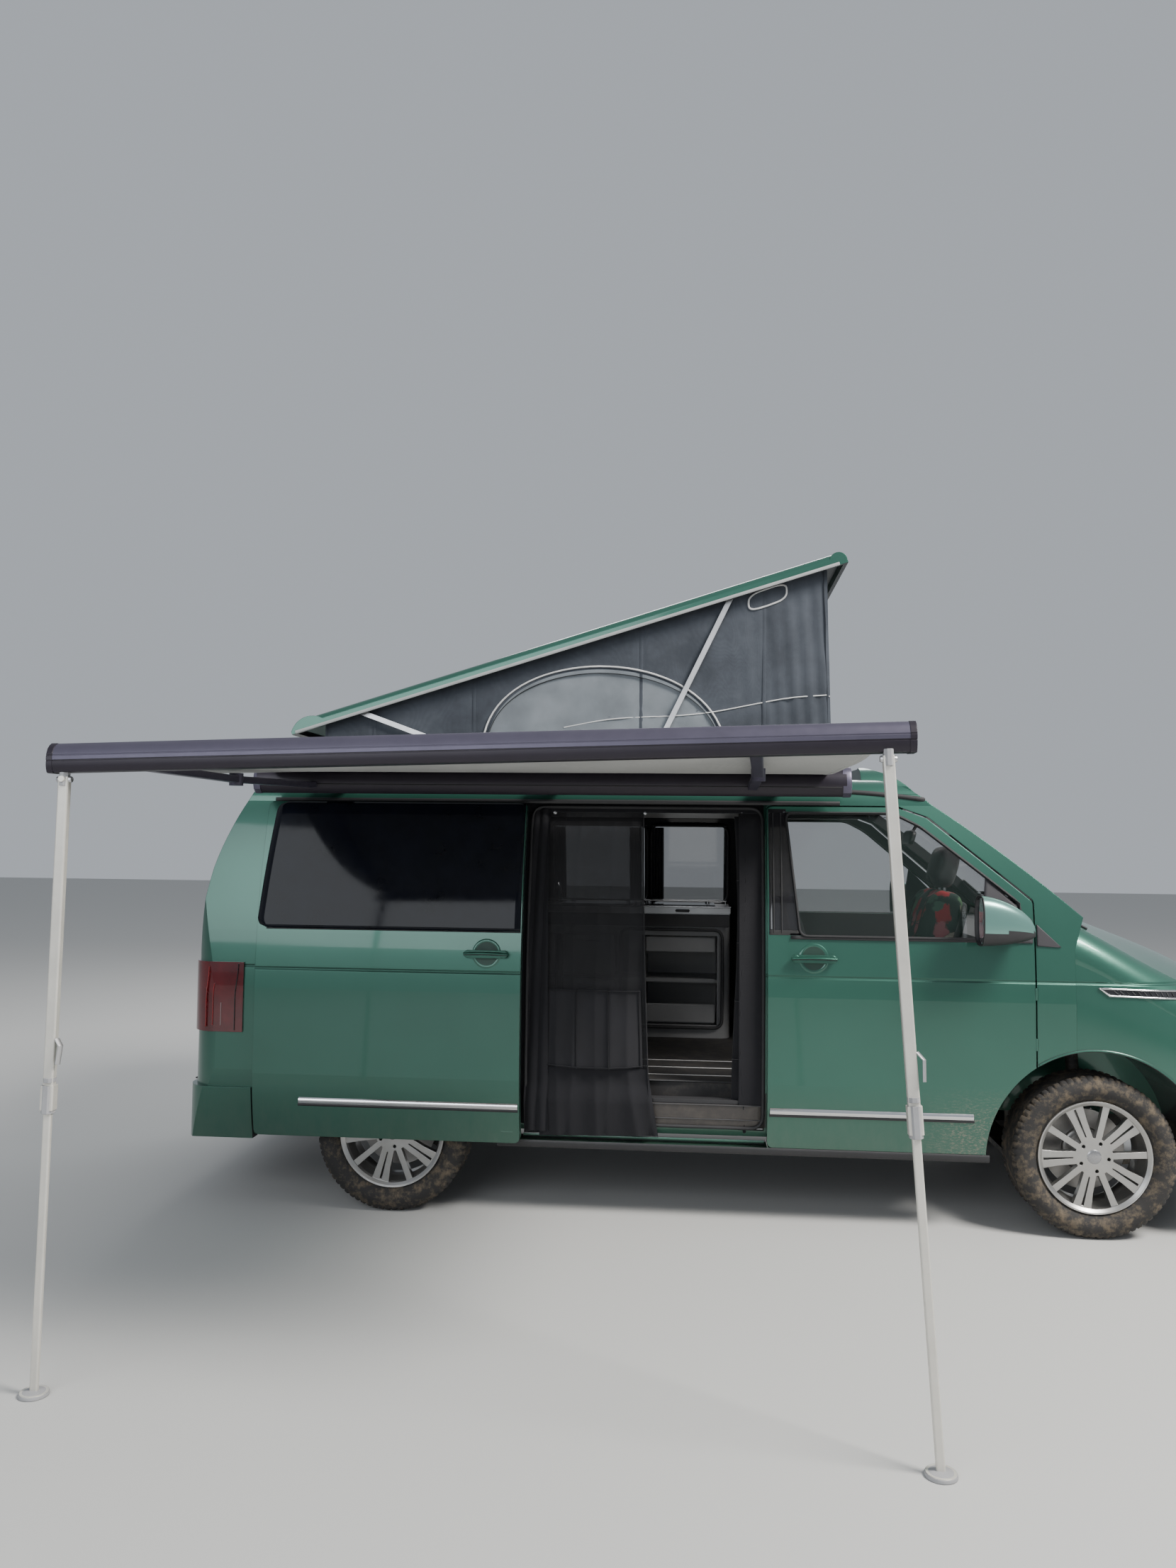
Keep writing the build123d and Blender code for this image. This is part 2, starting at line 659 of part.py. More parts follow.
for name, hand in (("right", RIGHT), ("left", LEFT)):
    with BuildPart() as wing:
        add(nose_shell)
        add(cabin_outer, mode=Mode.SUBTRACT)
        add(block(WING_REAR, 660, hand * 640, hand * OUT, 0, 1500), mode=Mode.INTERSECT)
        add(block(420, FRONT_END + 10, -OUT, OUT, 0, BUMPER_TOP), mode=Mode.SUBTRACT)
        add(bonnet_prism(SHUT_GAP), mode=Mode.SUBTRACT)
        add(block(WING_REAR - 10, BONNET_REAR, -846 - PLAY, 846 + PLAY, 1150, 1500), mode=Mode.SUBTRACT)
        add(lamp_prism(SEAM), mode=Mode.SUBTRACT)
        add(arch(0), mode=Mode.SUBTRACT)
        add(door_hinge(hand, BARREL + PLAY), mode=Mode.SUBTRACT)
        with BuildPart(mode=Mode.PRIVATE) as liner:
            with BuildSketch(side(max(hand * LINER_INNER_Y, hand * HALF))):
                with Locations((0, TYRE_RADIUS)):
                    Circle(ARCH_RADIUS + LINER)
            extrude(amount=HALF - LINER_INNER_Y)
            add(block(-600, 600, -OUT, OUT, -200, 430), mode=Mode.SUBTRACT)
            with Locations(kingpin(hand, 760)):
                Cylinder(STRUT_RADIUS + 13 + TOWER_WALL, 165, align=(Align.CENTER, Align.CENTER, Align.MIN))
            with BuildSketch(side(max(hand * (LINER_INNER_Y + LINER), hand * (HALF + 5)))):
                with Locations((0, TYRE_RADIUS)):
                    Circle(ARCH_RADIUS)
            extrude(amount=HALF + 5 - LINER_INNER_Y - LINER, mode=Mode.SUBTRACT)
            with Locations(kingpin(hand, TOWER_HOLE_Z)):
                Cylinder(STRUT_RADIUS + 13, TOWER_HOLE, align=(Align.CENTER, Align.CENTER, Align.MIN), mode=Mode.SUBTRACT)
            add(block(-600, WING_REAR, hand * 838, hand * OUT, 0, 900), mode=Mode.SUBTRACT)
            add(block(415, 600, hand * 700, hand * OUT, 0, BUMPER_TOP), mode=Mode.SUBTRACT)
        add(liner.part)
    finish(wing.part, f"wing_{name}")

# Front bumper with its lower intake, and the grille between the lamps
GRILLE_HALF = LAMP_INNER - SEAM
TOW_Y = -380
TOW_Z = 620
TOW_RADIUS = 11
TOW_BOSS = 24
TOW_DEPTH = 70
GRILLE_TOP = 872
with BuildPart() as front_bumper:
    add(nose_shell)
    add(block(420 + SEAM, FRONT_END + 10, -OUT, OUT, 0, BUMPER_TOP - SEAM), mode=Mode.INTERSECT)
    add(arch(0), mode=Mode.SUBTRACT)
    add(lamp_prism(SEAM), mode=Mode.SUBTRACT)
    with BuildSketch(across(FRONT_END - 100)):
        with Locations((0, 400)):
            RectangleRounded(960, 130, 40)
        with Locations((0, 560)):
            RectangleRounded(520, 110, 12)
    extrude(amount=200, mode=Mode.SUBTRACT)
    with BuildSketch(across(FRONT_END - 130)):
        with Locations((TOW_Y, TOW_Z)):
            Circle(TOW_BOSS)
    extrude(amount=115)
    with BuildSketch(across(FRONT_END - TOW_DEPTH)):
        with Locations((TOW_Y, TOW_Z)):
            Circle(TOW_RADIUS)
    extrude(amount=TOW_DEPTH + 20, mode=Mode.SUBTRACT)
finish(front_bumper.part, "front_bumper")

with BuildPart() as grille:
    add(nose_shell)
    add(block(740, FRONT_END + 10, -GRILLE_HALF, GRILLE_HALF, BUMPER_TOP, 1100), mode=Mode.INTERSECT)
    add(bonnet_prism(SHUT_GAP), mode=Mode.SUBTRACT)
    with BuildSketch(across(700)):
        with Locations((0, 745), (0, 790)):
            RectangleRounded(2 * GRILLE_HALF - 60, 26, 6)
    extrude(amount=300, mode=Mode.SUBTRACT)
finish(grille.part, "grille")

# Front doors with their window openings, handles and mirror feet
HANDLE_LENGTH = 190
HANDLE_HEIGHT = 34
HANDLE_X = -1165
HANDLE_Z = 1146
MIRROR_FRONT = -275
MIRROR_REAR = -500
MIRROR_LOW = 1222
MIRROR_HIGH = 1430
DOOR_FOOT = HALF - 47 - WALL + SHUT_GAP


def handle(x, hand):
    """A bar handle standing off the skin on two feet."""
    with BuildPart() as bar:
        with BuildSketch(side(hand * (HALF + 22))):
            with Locations((x, HANDLE_Z)):
                SlotOverall(HANDLE_LENGTH, HANDLE_HEIGHT)
        extrude(amount=hand * 12)
        with BuildSketch(side(hand * (HALF + 24))):
            with Locations((x - HANDLE_LENGTH / 2 + 18, HANDLE_Z), (x + HANDLE_LENGTH / 2 - 18, HANDLE_Z)):
                Circle(HANDLE_HEIGHT / 2 - 3)
        extrude(amount=hand * 45)
    return bar.part


for name, hand in (("right", RIGHT), ("left", LEFT)):
    with BuildPart() as door:
        add(cabin_outer)
        add(door_inner, mode=Mode.SUBTRACT)
        add(prism(door_outline(0), hand * OUT, hand * IN, 24), mode=Mode.INTERSECT)
        add(prism(door_window(0), hand * OUT, hand * IN, 30), mode=Mode.SUBTRACT)
        add(arch(0), mode=Mode.SUBTRACT)
        add(block(DOOR_REAR - 10, 0, hand * IN, hand * DOOR_FOOT, 0, SILL_BOTTOM + WALL), mode=Mode.SUBTRACT)
        add(handle(HANDLE_X, hand))
        add(door_hinge(hand, BARREL))
    finish(door.part, f"door_{name}")

    with BuildPart() as pane:
        add(cabin_form(8))
        add(cabin_form(8 + GLASS), mode=Mode.SUBTRACT)
        add(prism(door_window(-PLAY), hand * OUT, hand * IN, 30 - PLAY), mode=Mode.INTERSECT)
    finish(pane.part, f"door_glass_{name}")

    with BuildPart() as mirror_case:
        with BuildSketch(level(MIRROR_LOW)) as plan:
            with BuildLine():
                Polyline(
                    (MIRROR_REAR, hand * 985),
                    (MIRROR_REAR, hand * (MIRROR_SPAN / 2)),
                    (MIRROR_FRONT - 100, hand * (MIRROR_SPAN / 2)),
                    (MIRROR_FRONT, hand * 1050),
                    (MIRROR_FRONT - 20, hand * 985),
                    close=True,
                )
            make_face()
            fillet(plan.vertices(), 22)
        extrude(amount=MIRROR_HIGH - MIRROR_LOW)
        fillet(mirror_case.faces().sort_by(Axis.Z)[-1].edges(), 20)
        fillet(mirror_case.faces().sort_by(Axis.Z)[0].edges(), 20)
        with BuildSketch(level(BELT + 8)):
            with Locations((MIRROR_FRONT - 70, hand * (985 + 935) / 2)):
                RectangleRounded(90, 70, 12)
        extrude(amount=44)
        add(cabin_form(0), mode=Mode.SUBTRACT)
    finish(mirror_case.part, f"mirror_{name}")

# Sliding door, drawn closed and carried out and back to its open stop
SLIDER_MOVE = Location((-SLIDER_TRAVEL, -SLIDER_OUT, 0))
with BuildPart() as sliding_door:
    with BuildPart(mode=Mode.PRIVATE) as closed:
        add(cabin_outer)
        add(door_inner, mode=Mode.SUBTRACT)
        add(prism(slider_outline(0), -OUT, -IN, 24), mode=Mode.INTERSECT)
        add(prism(slider_window(0), -OUT, -IN, 34), mode=Mode.SUBTRACT)
        add(block(SLIDER_REAR - 10, SLIDER_FRONT + 10, -IN, -DOOR_FOOT, 0, SILL_BOTTOM + WALL), mode=Mode.SUBTRACT)
        add(handle(SLIDER_FRONT - 150, RIGHT))
        with BuildPart(mode=Mode.PRIVATE) as cut:
            with BuildSketch(side(HALF)):
                with Locations((REAR_AXLE, TYRE_RADIUS)):
                    Circle(ARCH_RADIUS + SHUT_GAP)
            extrude(amount=2 * HALF)
        add(cut.part, mode=Mode.SUBTRACT)
    add(closed.part.moved(SLIDER_MOVE))
    with BuildPart(mode=Mode.PRIVATE) as rollers:
        add(block(-2520, -2460, -HALF - SLIDER_OUT + 20, -880, 1042, 1088))
        add(block(-3560, -3510, -HALF - SLIDER_OUT + 20, -880, 1042, 1088))
        add(block(-2500, -2450, -HALF - SLIDER_OUT + 30, -860, 380, 420))
        add(cabin_form(-PLAY), mode=Mode.SUBTRACT)
    add(rollers.part)
finish(sliding_door.part, "sliding_door")

with BuildPart() as sliding_glass:
    with BuildPart(mode=Mode.PRIVATE) as closed:
        add(cabin_form(8))
        add(cabin_form(8 + GLASS), mode=Mode.SUBTRACT)
        add(prism(slider_window(-PLAY), -OUT, -IN, 34 - PLAY), mode=Mode.INTERSECT)
    add(closed.part.moved(SLIDER_MOVE))
finish(sliding_glass.part, "sliding_door_glass")

# Fixed side glass
with BuildPart() as panes:
    add(cabin_form(8))
    add(cabin_form(8 + GLASS), mode=Mode.SUBTRACT)
    with BuildPart(mode=Mode.PRIVATE) as outlines:
        for pane_side, x0, x1, z0, z1 in SIDE_WINDOWS:
            hand = LEFT if pane_side == "left" else RIGHT
            add(prism(pane_outline(x0, x1, z0, z1, -PLAY), hand * OUT, hand * IN, PANE_CORNER - PLAY))
    add(outlines.part, mode=Mode.INTERSECT)
finish(panes.part, "side_glass")

# Tailgate and its glass, rear bumper and tail lamps
TAIL_WINDOW = ((0, BELT + 30), (640, BELT + 30), (TAILGATE_HALF - 165, 1770), (0, 1770))
LAMP_LOW = 772
LAMP_HIGH = 1081
with BuildPart() as tailgate:
    add(cabin_outer)
    add(door_inner, mode=Mode.SUBTRACT)
    add(rear_prism(tailgate_outline(0), REAR_END - 30, TAILGATE_FRONT - 40), mode=Mode.INTERSECT)
    add(rear_prism(TAIL_WINDOW, REAR_END - 30, -3500), mode=Mode.SUBTRACT)
    for hand in (RIGHT, LEFT):
        add(block(-3725, TAILGATE_FRONT, hand * 642, hand * 700, 1768, 1880), mode=Mode.SUBTRACT)
    add(tailgate_hinge(BARREL - 1))
finish(tailgate.part, "tailgate")

with BuildPart() as tailgate_glass:
    add(cabin_form(8))
    add(cabin_form(8 + GLASS), mode=Mode.SUBTRACT)
    add(rear_prism([(max(y - PLAY, 0), z + (PLAY if z < 1500 else -PLAY)) for y, z in TAIL_WINDOW], REAR_END - 30,
                   -3500), mode=Mode.INTERSECT)
finish(tailgate_glass.part, "tailgate_glass")

with BuildPart() as rear_bumper:
    add(cabin_form(-16))
    add(cabin_form(-PLAY), mode=Mode.SUBTRACT)
    add(block(REAR_END - 30, SLIDER_REAR - SLIDER_TRAVEL - 30, -OUT, OUT, SILL_BOTTOM - 20, 530), mode=Mode.INTERSECT)
    add(block(-3870, SLIDER_REAR, -860, 860, 0, SILL_BOTTOM + 1), mode=Mode.SUBTRACT)
    with BuildSketch(level(SILL_BOTTOM + 10)) as shelf:
        with BuildLine():
            Polyline((-3880, 0), (-3880, 820), (-3925, 800), (REAR_END + 12, 700), (REAR_END, 400), (REAR_END, 0))
            mirror(about=Plane.XZ)
        make_face()
        fillet(shelf.vertices().group_by(Axis.X)[0], 40)
    extrude(amount=190)
    add(cabin_form(-PLAY), mode=Mode.SUBTRACT)
    with BuildSketch(across(REAR_END + TOW_DEPTH)):
        with Locations((-TOW_Y, TOW_Z - 200)):
            Circle(TOW_RADIUS)
    extrude(amount=-TOW_DEPTH - 20, mode=Mode.SUBTRACT)
finish(rear_bumper.part, "rear_bumper")

with BuildPart() as tail_lamps:
    add(cabin_form(-9))
    add(cabin_form(-PLAY), mode=Mode.SUBTRACT)
    with BuildPart(mode=Mode.PRIVATE) as outlines:
        for hand in (RIGHT, LEFT):
            add(block(-3990, -3676, hand * (TAILGATE_HALF + 14), hand * OUT, LAMP_LOW, LAMP_HIGH))
    add(outlines.part, mode=Mode.INTERSECT)
finish(tail_lamps.part, "tail_lamps")

# Wheels: rim with twin and single spokes, hub and brake disc in one, and a plain tyre
BOLT_CIRCLE = 120
BOLT_HOLE = 7.5
SPOKE_DEPTH = 30
SPOKE_FACE = 86
HUB_DISC = 78
TWIN_FIRST = 112
SINGLE_FIRST = 76
STUB_RADIUS = HUB_RADIUS - PLAY
CALIPER_OUTER = 192
CALIPER_INNER = 50
DISC_OFFSET = -52


def wheel_plane(x, hand, out=0):
    """A plane facing out of a wheel, a distance outboard of its middle; its y is up."""
    y = hand * (TRACK / 2 + out)
    return Plane(origin=van(x, y, TYRE_RADIUS), x_dir=(-hand, 0, 0), z_dir=(0, hand, 0))


def radial_plane(x, hand):
    """A plane through a wheel's axis: its x is the radius, upward, and its y runs outboard."""
    return Plane(origin=van(x, hand * TRACK / 2, TYRE_RADIUS), x_dir=(0, 0, 1), z_dir=(-hand, 0, 0))


def spoke(root, tip, slot):
    """Half sizes of one spoke at the hub and the rim, with an optional slot along it."""
    with BuildSketch(Plane.XY) as flat:
        with BuildLine():
            Polyline((50, -root), (150, -(root + tip) / 2 * 0.9), (RIM_RADIUS, -tip),
                     (RIM_RADIUS, tip), (150, (root + tip) / 2 * 0.9), (50, root), close=True)
        make_face()
        if slot:
            with BuildLine():
                Polyline((86, -slot / 2), (RIM_RADIUS - 26, -slot), (RIM_RADIUS - 26, slot), (86, slot / 2), close=True)
            make_face(mode=Mode.SUBTRACT)
    return flat.sketch


TWIN = spoke(25, 41, 5)
SINGLE = spoke(13, 15, 0)
for axle, x in (("front", 0), ("rear", REAR_AXLE)):
    for name, hand in (("right", RIGHT), ("left", LEFT)):
        with BuildPart() as rim:
            with BuildSketch(wheel_plane(x, hand, SPOKE_FACE - SPOKE_DEPTH)):
                Circle(HUB_DISC)
                for turn in range(SPOKES):
                    add(TWIN.rotate(Axis.Z, TWIN_FIRST + turn * 360 / SPOKES))
                    add(SINGLE.rotate(Axis.Z, SINGLE_FIRST + turn * 360 / SPOKES))
                Circle(BEAD_RADIUS - 4, mode=Mode.INTERSECT)
            extrude(amount=SPOKE_DEPTH)
            with BuildSketch(radial_plane(x, hand)):
                with BuildLine():
                    Polyline(
                        (BEAD_RADIUS - 20, -RIM_WIDTH / 2 + 40),
                        (BEAD_RADIUS - 9, -RIM_WIDTH / 2 + 8),
                        (RIM_RADIUS - 5, -RIM_WIDTH / 2),
                        (RIM_RADIUS, -RIM_WIDTH / 2),
                        (RIM_RADIUS, -RIM_WIDTH / 2 + 9),
                        (BEAD_RADIUS, -RIM_WIDTH / 2 + 12),
                        (BEAD_RADIUS, -RIM_WIDTH / 2 + 42),
                        (BEAD_RADIUS - 14, -20),
                        (BEAD_RADIUS - 14, 20),
                        (BEAD_RADIUS, RIM_WIDTH / 2 - 34),
                        (BEAD_RADIUS, RIM_WIDTH / 2 - 12),
                        (RIM_RADIUS, RIM_WIDTH / 2 - 9),
                        (RIM_RADIUS, RIM_WIDTH / 2),
                        (RIM_RADIUS - 6, RIM_WIDTH / 2),
                        (BEAD_RADIUS - 8, RIM_WIDTH / 2 - 10),
                        (BEAD_RADIUS - 8, RIM_WIDTH / 2 - 36),
                        (BEAD_RADIUS - 22, 20),
                        (BEAD_RADIUS - 22, -20),
                        close=True,
                    )
                make_face()
            revolve(axis=Axis(van(x, hand * TRACK / 2, TYRE_RADIUS), (0, 1, 0)))
            with BuildSketch(wheel_plane(x, hand, DISC_OFFSET - DISC_THICKNESS)):
                Circle(DISC_RADIUS)
            extrude(amount=DISC_THICKNESS)
            with BuildSketch(wheel_plane(x, hand, DISC_OFFSET - DISC_THICKNESS)):
                Circle(HUB_DISC - 7)
            extrude(amount=SPOKE_FACE - DISC_OFFSET + DISC_THICKNESS - 4)
            with BuildSketch(wheel_plane(x, hand, DISC_OFFSET - DISC_THICKNESS)):
                Circle(HUB_RADIUS)
            extrude(amount=90, mode=Mode.SUBTRACT)
            with BuildSketch(wheel_plane(x, hand, SPOKE_FACE - 18)):
                with PolarLocations(BOLT_CIRCLE / 2, SPOKES, start_angle=-8):
                    Circle(BOLT_HOLE)
            extrude(amount=40, mode=Mode.SUBTRACT)
        finish(rim.part, f"rim_{axle}_{name}")

        with BuildPart() as tyre:
            with BuildSketch(radial_plane(x, hand)):
                half = TYRE_WIDTH / 2
                foot = RIM_WIDTH / 2 - 12
                with BuildLine():
                    Line((BEAD_RADIUS + PLAY, -foot + PLAY), (BEAD_RADIUS + PLAY, foot - PLAY))
                    Line((BEAD_RADIUS + PLAY, foot - PLAY), (RIM_RADIUS + 2, foot + 2.6))
                    ThreePointArc((RIM_RADIUS + 2, foot + 2.6), (RIM_RADIUS + 45, half), (TYRE_RADIUS - 18, half - 12))
                    ThreePointArc((TYRE_RADIUS - 18, half - 12), (TYRE_RADIUS - 6, half - 20), (TYRE_RADIUS, half - 36))
                    Line((TYRE_RADIUS, half - 36), (TYRE_RADIUS, -half + 36))
                    ThreePointArc((TYRE_RADIUS, -half + 36), (TYRE_RADIUS - 6, -half + 20), (TYRE_RADIUS - 18, -half + 12))
                    ThreePointArc((TYRE_RADIUS - 18, -half + 12), (RIM_RADIUS + 45, -half), (RIM_RADIUS + 2, -foot - 2.6))
                    Line((RIM_RADIUS + 2, -foot - 2.6), (BEAD_RADIUS + PLAY, -foot + PLAY))
                make_face()
            revolve(axis=Axis(van(x, hand * TRACK / 2, TYRE_RADIUS), (0, 1, 0)))
        finish(tyre.part, f"tyre_{axle}_{name}")

with BuildSketch(Plane.XY) as caliper:
    Circle(CALIPER_OUTER)
    Circle(CALIPER_INNER, mode=Mode.SUBTRACT)
    with BuildLine():
        Polyline((0, 0), (-300, -175), (-300, 175), close=True)
    make_face(mode=Mode.INTERSECT)
CALIPER = caliper.sketch

# Front knuckles: upright, stub axle, steering arm, caliper and the strut on the leaning kingpin
ARM_TOP = 222
STRUT_FOOT_Z = 455
STRUT_RUN = (TOWER_HOLE_Z - STRUT_FOOT_Z) / cos(radians(PIN_TILT)) + TOWER_HOLE - PLAY
for name, hand in (("right", RIGHT), ("left", LEFT)):
    with BuildPart() as knuckle:
        with BuildSketch(wheel_plane(0, hand, DISC_OFFSET - DISC_THICKNESS - 34)):
            Circle(62)
            with BuildLine():
                Polyline((-30, -112), (30, -112), (44, 0), (34, 150), (-34, 150), (-44, 0), close=True)
            make_face()
        extrude(amount=28)
        with BuildSketch(wheel_plane(0, hand, DISC_OFFSET - DISC_THICKNESS - 34)):
            Circle(STUB_RADIUS)
        extrude(amount=110)
        with Locations(kingpin(hand, ARM_TOP + 1)):
            Cylinder(20, 62, align=(Align.CENTER, Align.CENTER, Align.MIN))
        with Locations(kingpin(hand, STRUT_FOOT_Z)):
            Cylinder(STRUT_RADIUS, STRUT_RUN, align=(Align.CENTER, Align.CENTER, Align.MIN))
        with BuildSketch(wheel_plane(0, hand, DISC_OFFSET - DISC_THICKNESS - 90)):
            with BuildLine():
                Polyline((-22, 90), (22, 90), (22, 188), (-22, 188), close=True)
            make_face()
        extrude(amount=72)
        with BuildSketch(wheel_plane(0, hand, DISC_OFFSET - DISC_THICKNESS - 28)):
            add(CALIPER.rotate(Axis.Z, 0 if hand == RIGHT else 180))
        extrude(amount=20)
    finish(knuckle.part, f"knuckle_{name}")

# Rear axle: cross beam, trailing arms, stub axles and calipers
with BuildPart() as rear_axle:
    for hand in (RIGHT, LEFT):
        with BuildSketch(wheel_plane(REAR_AXLE, hand, DISC_OFFSET - DISC_THICKNESS - 52)):
            Circle(70)
            add(CALIPER.rotate(Axis.Z, 180 if hand == RIGHT else 0))
        extrude(amount=44)
        with BuildSketch(wheel_plane(REAR_AXLE, hand, DISC_OFFSET - DISC_THICKNESS - 34)):
            Circle(STUB_RADIUS)
        extrude(amount=110)
        with BuildSketch(wheel_plane(REAR_AXLE, hand, DISC_OFFSET - DISC_THICKNESS - 90)):
            with BuildLine():
                Polyline((-hand * -70, -60), (-hand * -70, 60), (-hand * 300, 90), (-hand * 620, 50),
                         (-hand * 620, -10), (-hand * 300, -20), close=True)
            make_face()
        extrude(amount=44)
        add(block(REAR_AXLE + 575, REAR_AXLE + 620, hand * 646, hand * 690, TYRE_RADIUS, SILL_TOP - PLAY))
        with Locations(van(REAR_AXLE + 330, hand * RAIL_Y, TYRE_RADIUS + 30)):
            Cylinder(38, 420 - PLAY - TYRE_RADIUS - 30, align=(Align.CENTER, Align.CENTER, Align.MIN))
    with BuildSketch(side(TRACK / 2 - 130)):
        with Locations((REAR_AXLE + 330, TYRE_RADIUS + 8)):
            RectangleRounded(150, 90, 30)
    extrude(amount=TRACK - 260)
finish(rear_axle.part, "rear_axle")

# Front subframe with its lower arms, the engine, tank and exhaust
with BuildPart() as front_subframe:
    with BuildSketch(level(ARM_TOP - 30)) as plan:
        with BuildLine():
            Polyline((-230, 0), (-230, 400), (-60, 470), (-26, PIN_LOW[0] + 12), (26, PIN_LOW[0] + 12), (60, 470),
                     (330, 420), (330, 0))
            mirror(about=Plane.XZ)
        make_face()
        with Locations((60, 0)):
            Rectangle(360, 520, mode=Mode.SUBTRACT)
    extrude(amount=30 - 3)
    for hand in (RIGHT, LEFT):
        add(block(-220, -140, hand * 330, hand * 410, ARM_TOP - 10, SILL_TOP - PLAY))
finish(front_subframe.part, "front_subframe")

with BuildPart() as engine:
    with Locations(van(330, 0, 575)):
        Box(520, 820, 540)
    fillet(engine.edges().filter_by(Axis.Y), 60)
    for x, y in ((140, 330), (140, -330), (290, 0)):
        add(block(x - 25, x + 25, y - 30, y + 30, ARM_TOP - 3 + PLAY, 420))
finish(engine.part, "engine_block")

with BuildPart() as tank:
    add(block(-1950, -1050, -120, 440, 300, SILL_TOP - PLAY))
    fillet(tank.edges().group_by(Axis.Z)[0], 40)
finish(tank.part, "fuel_tank")

with BuildPart() as exhaust:
    with BuildLine() as pipe:
        FilletPolyline(van(-250, -120, 330), van(-900, -260, 330), van(-2300, -260, 330), van(-2560, -330, 440),
                       van(-3180, -330, 440), van(-3420, -560, 330), van(-3700, -590, 330), radius=90)
    with BuildSketch(Plane(origin=pipe.line @ 0, z_dir=pipe.line % 0)):
        Circle(30)
    sweep()
    with Locations(Location(van(-1750, -260, 330), (0, 90, 0))):
        Cylinder(85, 460)
    add(block(-1010, -985, -275, -245, 335, SILL_TOP - PLAY))
    add(block(-2215, -2190, -275, -245, 335, SILL_TOP - PLAY))
    add(block(-3130, -3105, -345, -315, 445, SILL_TOP - PLAY))
finish(exhaust.part, "exhaust")

# Inside: dashboard, steering wheel, cab seats, bench, kitchen and rear cupboard
SEAT_Y = 430
SEAT_BASE_TOP = 860
with BuildPart() as dashboard:
    with BuildSketch(side(DASH_HALF)):
        with BuildLine():
            Polyline((BULKHEAD - WALL, 760), (-330, 800), (-420, 960), (-430, 1120), (-380, 1215), (-250, 1262),
                     (BULKHEAD - WALL, 1262), close=True)
        make_face()
    extrude(amount=2 * DASH_HALF)
    fillet(dashboard.edges().filter_by(Axis.Y).group_by(Axis.X)[0], 40)
    add(block(-500, 0, -900, 900, 0, ARCH_RADIUS + TYRE_RADIUS + LINER + 12), mode=Mode.SUBTRACT)
    add(cabin_inner, mode=Mode.INTERSECT)
finish(dashboard.part, "dashboard")

WHEEL_TILT = 28
with BuildPart() as steering_wheel:
    rim_plane = Plane(origin=van(-500, SEAT_Y, 1190), x_dir=(0, 1, 0), z_dir=(-cos(radians(WHEEL_TILT)), 0,
                                                                          sin(radians(WHEEL_TILT))))
    with Locations(rim_plane):
        Torus(185, 15)
        Cylinder(58, 34)
        for turn in (0, 180, 270):
            with Locations(Location((0, 0, 0), (0, 0, turn))):
                with Locations((115, 0, 0)):
                    Box(150, 34, 14)
        Cylinder(28, 150, align=(Align.CENTER, Align.CENTER, Align.MAX))
    add(dashboard.part, mode=Mode.SUBTRACT)
finish(steering_wheel.part, "steering_wheel")


def seat(x, y, facing):
    """A cab seat on its swivel plinth: facing is 1 towards the front, -1 towards the rear."""
    with BuildPart() as one:
        with Locations(van(x, y, (FLOOR_TOP + 745) / 2)):
            Box(400, 380, 745 - FLOOR_TOP)
        with BuildSketch(side(y + 250)):
            with BuildLine():
                Polyline(
                    (x + facing * 265, 745), (x - facing * 245, 745), (x - facing * 330, 860),
                    (x - facing * 395, 1400), (x - facing * 345, 1440), (x - facing * 265, 1400),
                    (x - facing * 170, SEAT_BASE_TOP + 60), (x + facing * 200, SEAT_BASE_TOP + 50),
                    (x + facing * 275, SEAT_BASE_TOP + 10), close=True,
                )
            make_face()
        extrude(amount=500)
        with BuildSketch(side(y + 125)):
            with BuildLine():
                Polyline(
                    (x - facing * 352, 1400), (x - facing * 410, 1470), (x - facing * 405, 1610),
                    (x - facing * 330, 1625), (x - facing * 318, 1480), (x - facing * 322, 1400), close=True,
                )
            make_face()
        extrude(amount=250)
        for hand in (RIGHT, LEFT):
            with Locations(van(x - facing * 60, y + hand * 280, SEAT_BASE_TOP + 195)):
                Box(330, 50, 50)
            with Locations(van(x - facing * 230, y + hand * 262, SEAT_BASE_TOP + 195)):
                Box(50, 40, 50)
    return one.part


with BuildPart() as cab_seats:
    add(seat(-900, SEAT_Y, 1))
    add(seat(-880, -SEAT_Y, -1))
finish(cab_seats.part, "cab_seats")

BENCH_FRONT = -2520
BENCH_REAR = -3180
BENCH_LEFT = 330
with BuildPart() as bench:
    with BuildSketch(side(BENCH_LEFT)):
        with BuildLine():
            Polyline((BENCH_FRONT, FLOOR_TOP), (BENCH_REAR, FLOOR_TOP), (BENCH_REAR - 60, 960), (BENCH_REAR - 130, 1500),
                     (BENCH_REAR - 20, 1520), (BENCH_REAR + 110, 1010), (BENCH_FRONT, 1000), close=True)
        make_face()
    extrude(amount=BENCH_LEFT + REAR_LINER_Y - LINER - 8)
finish(bench.part, "rear_bench")

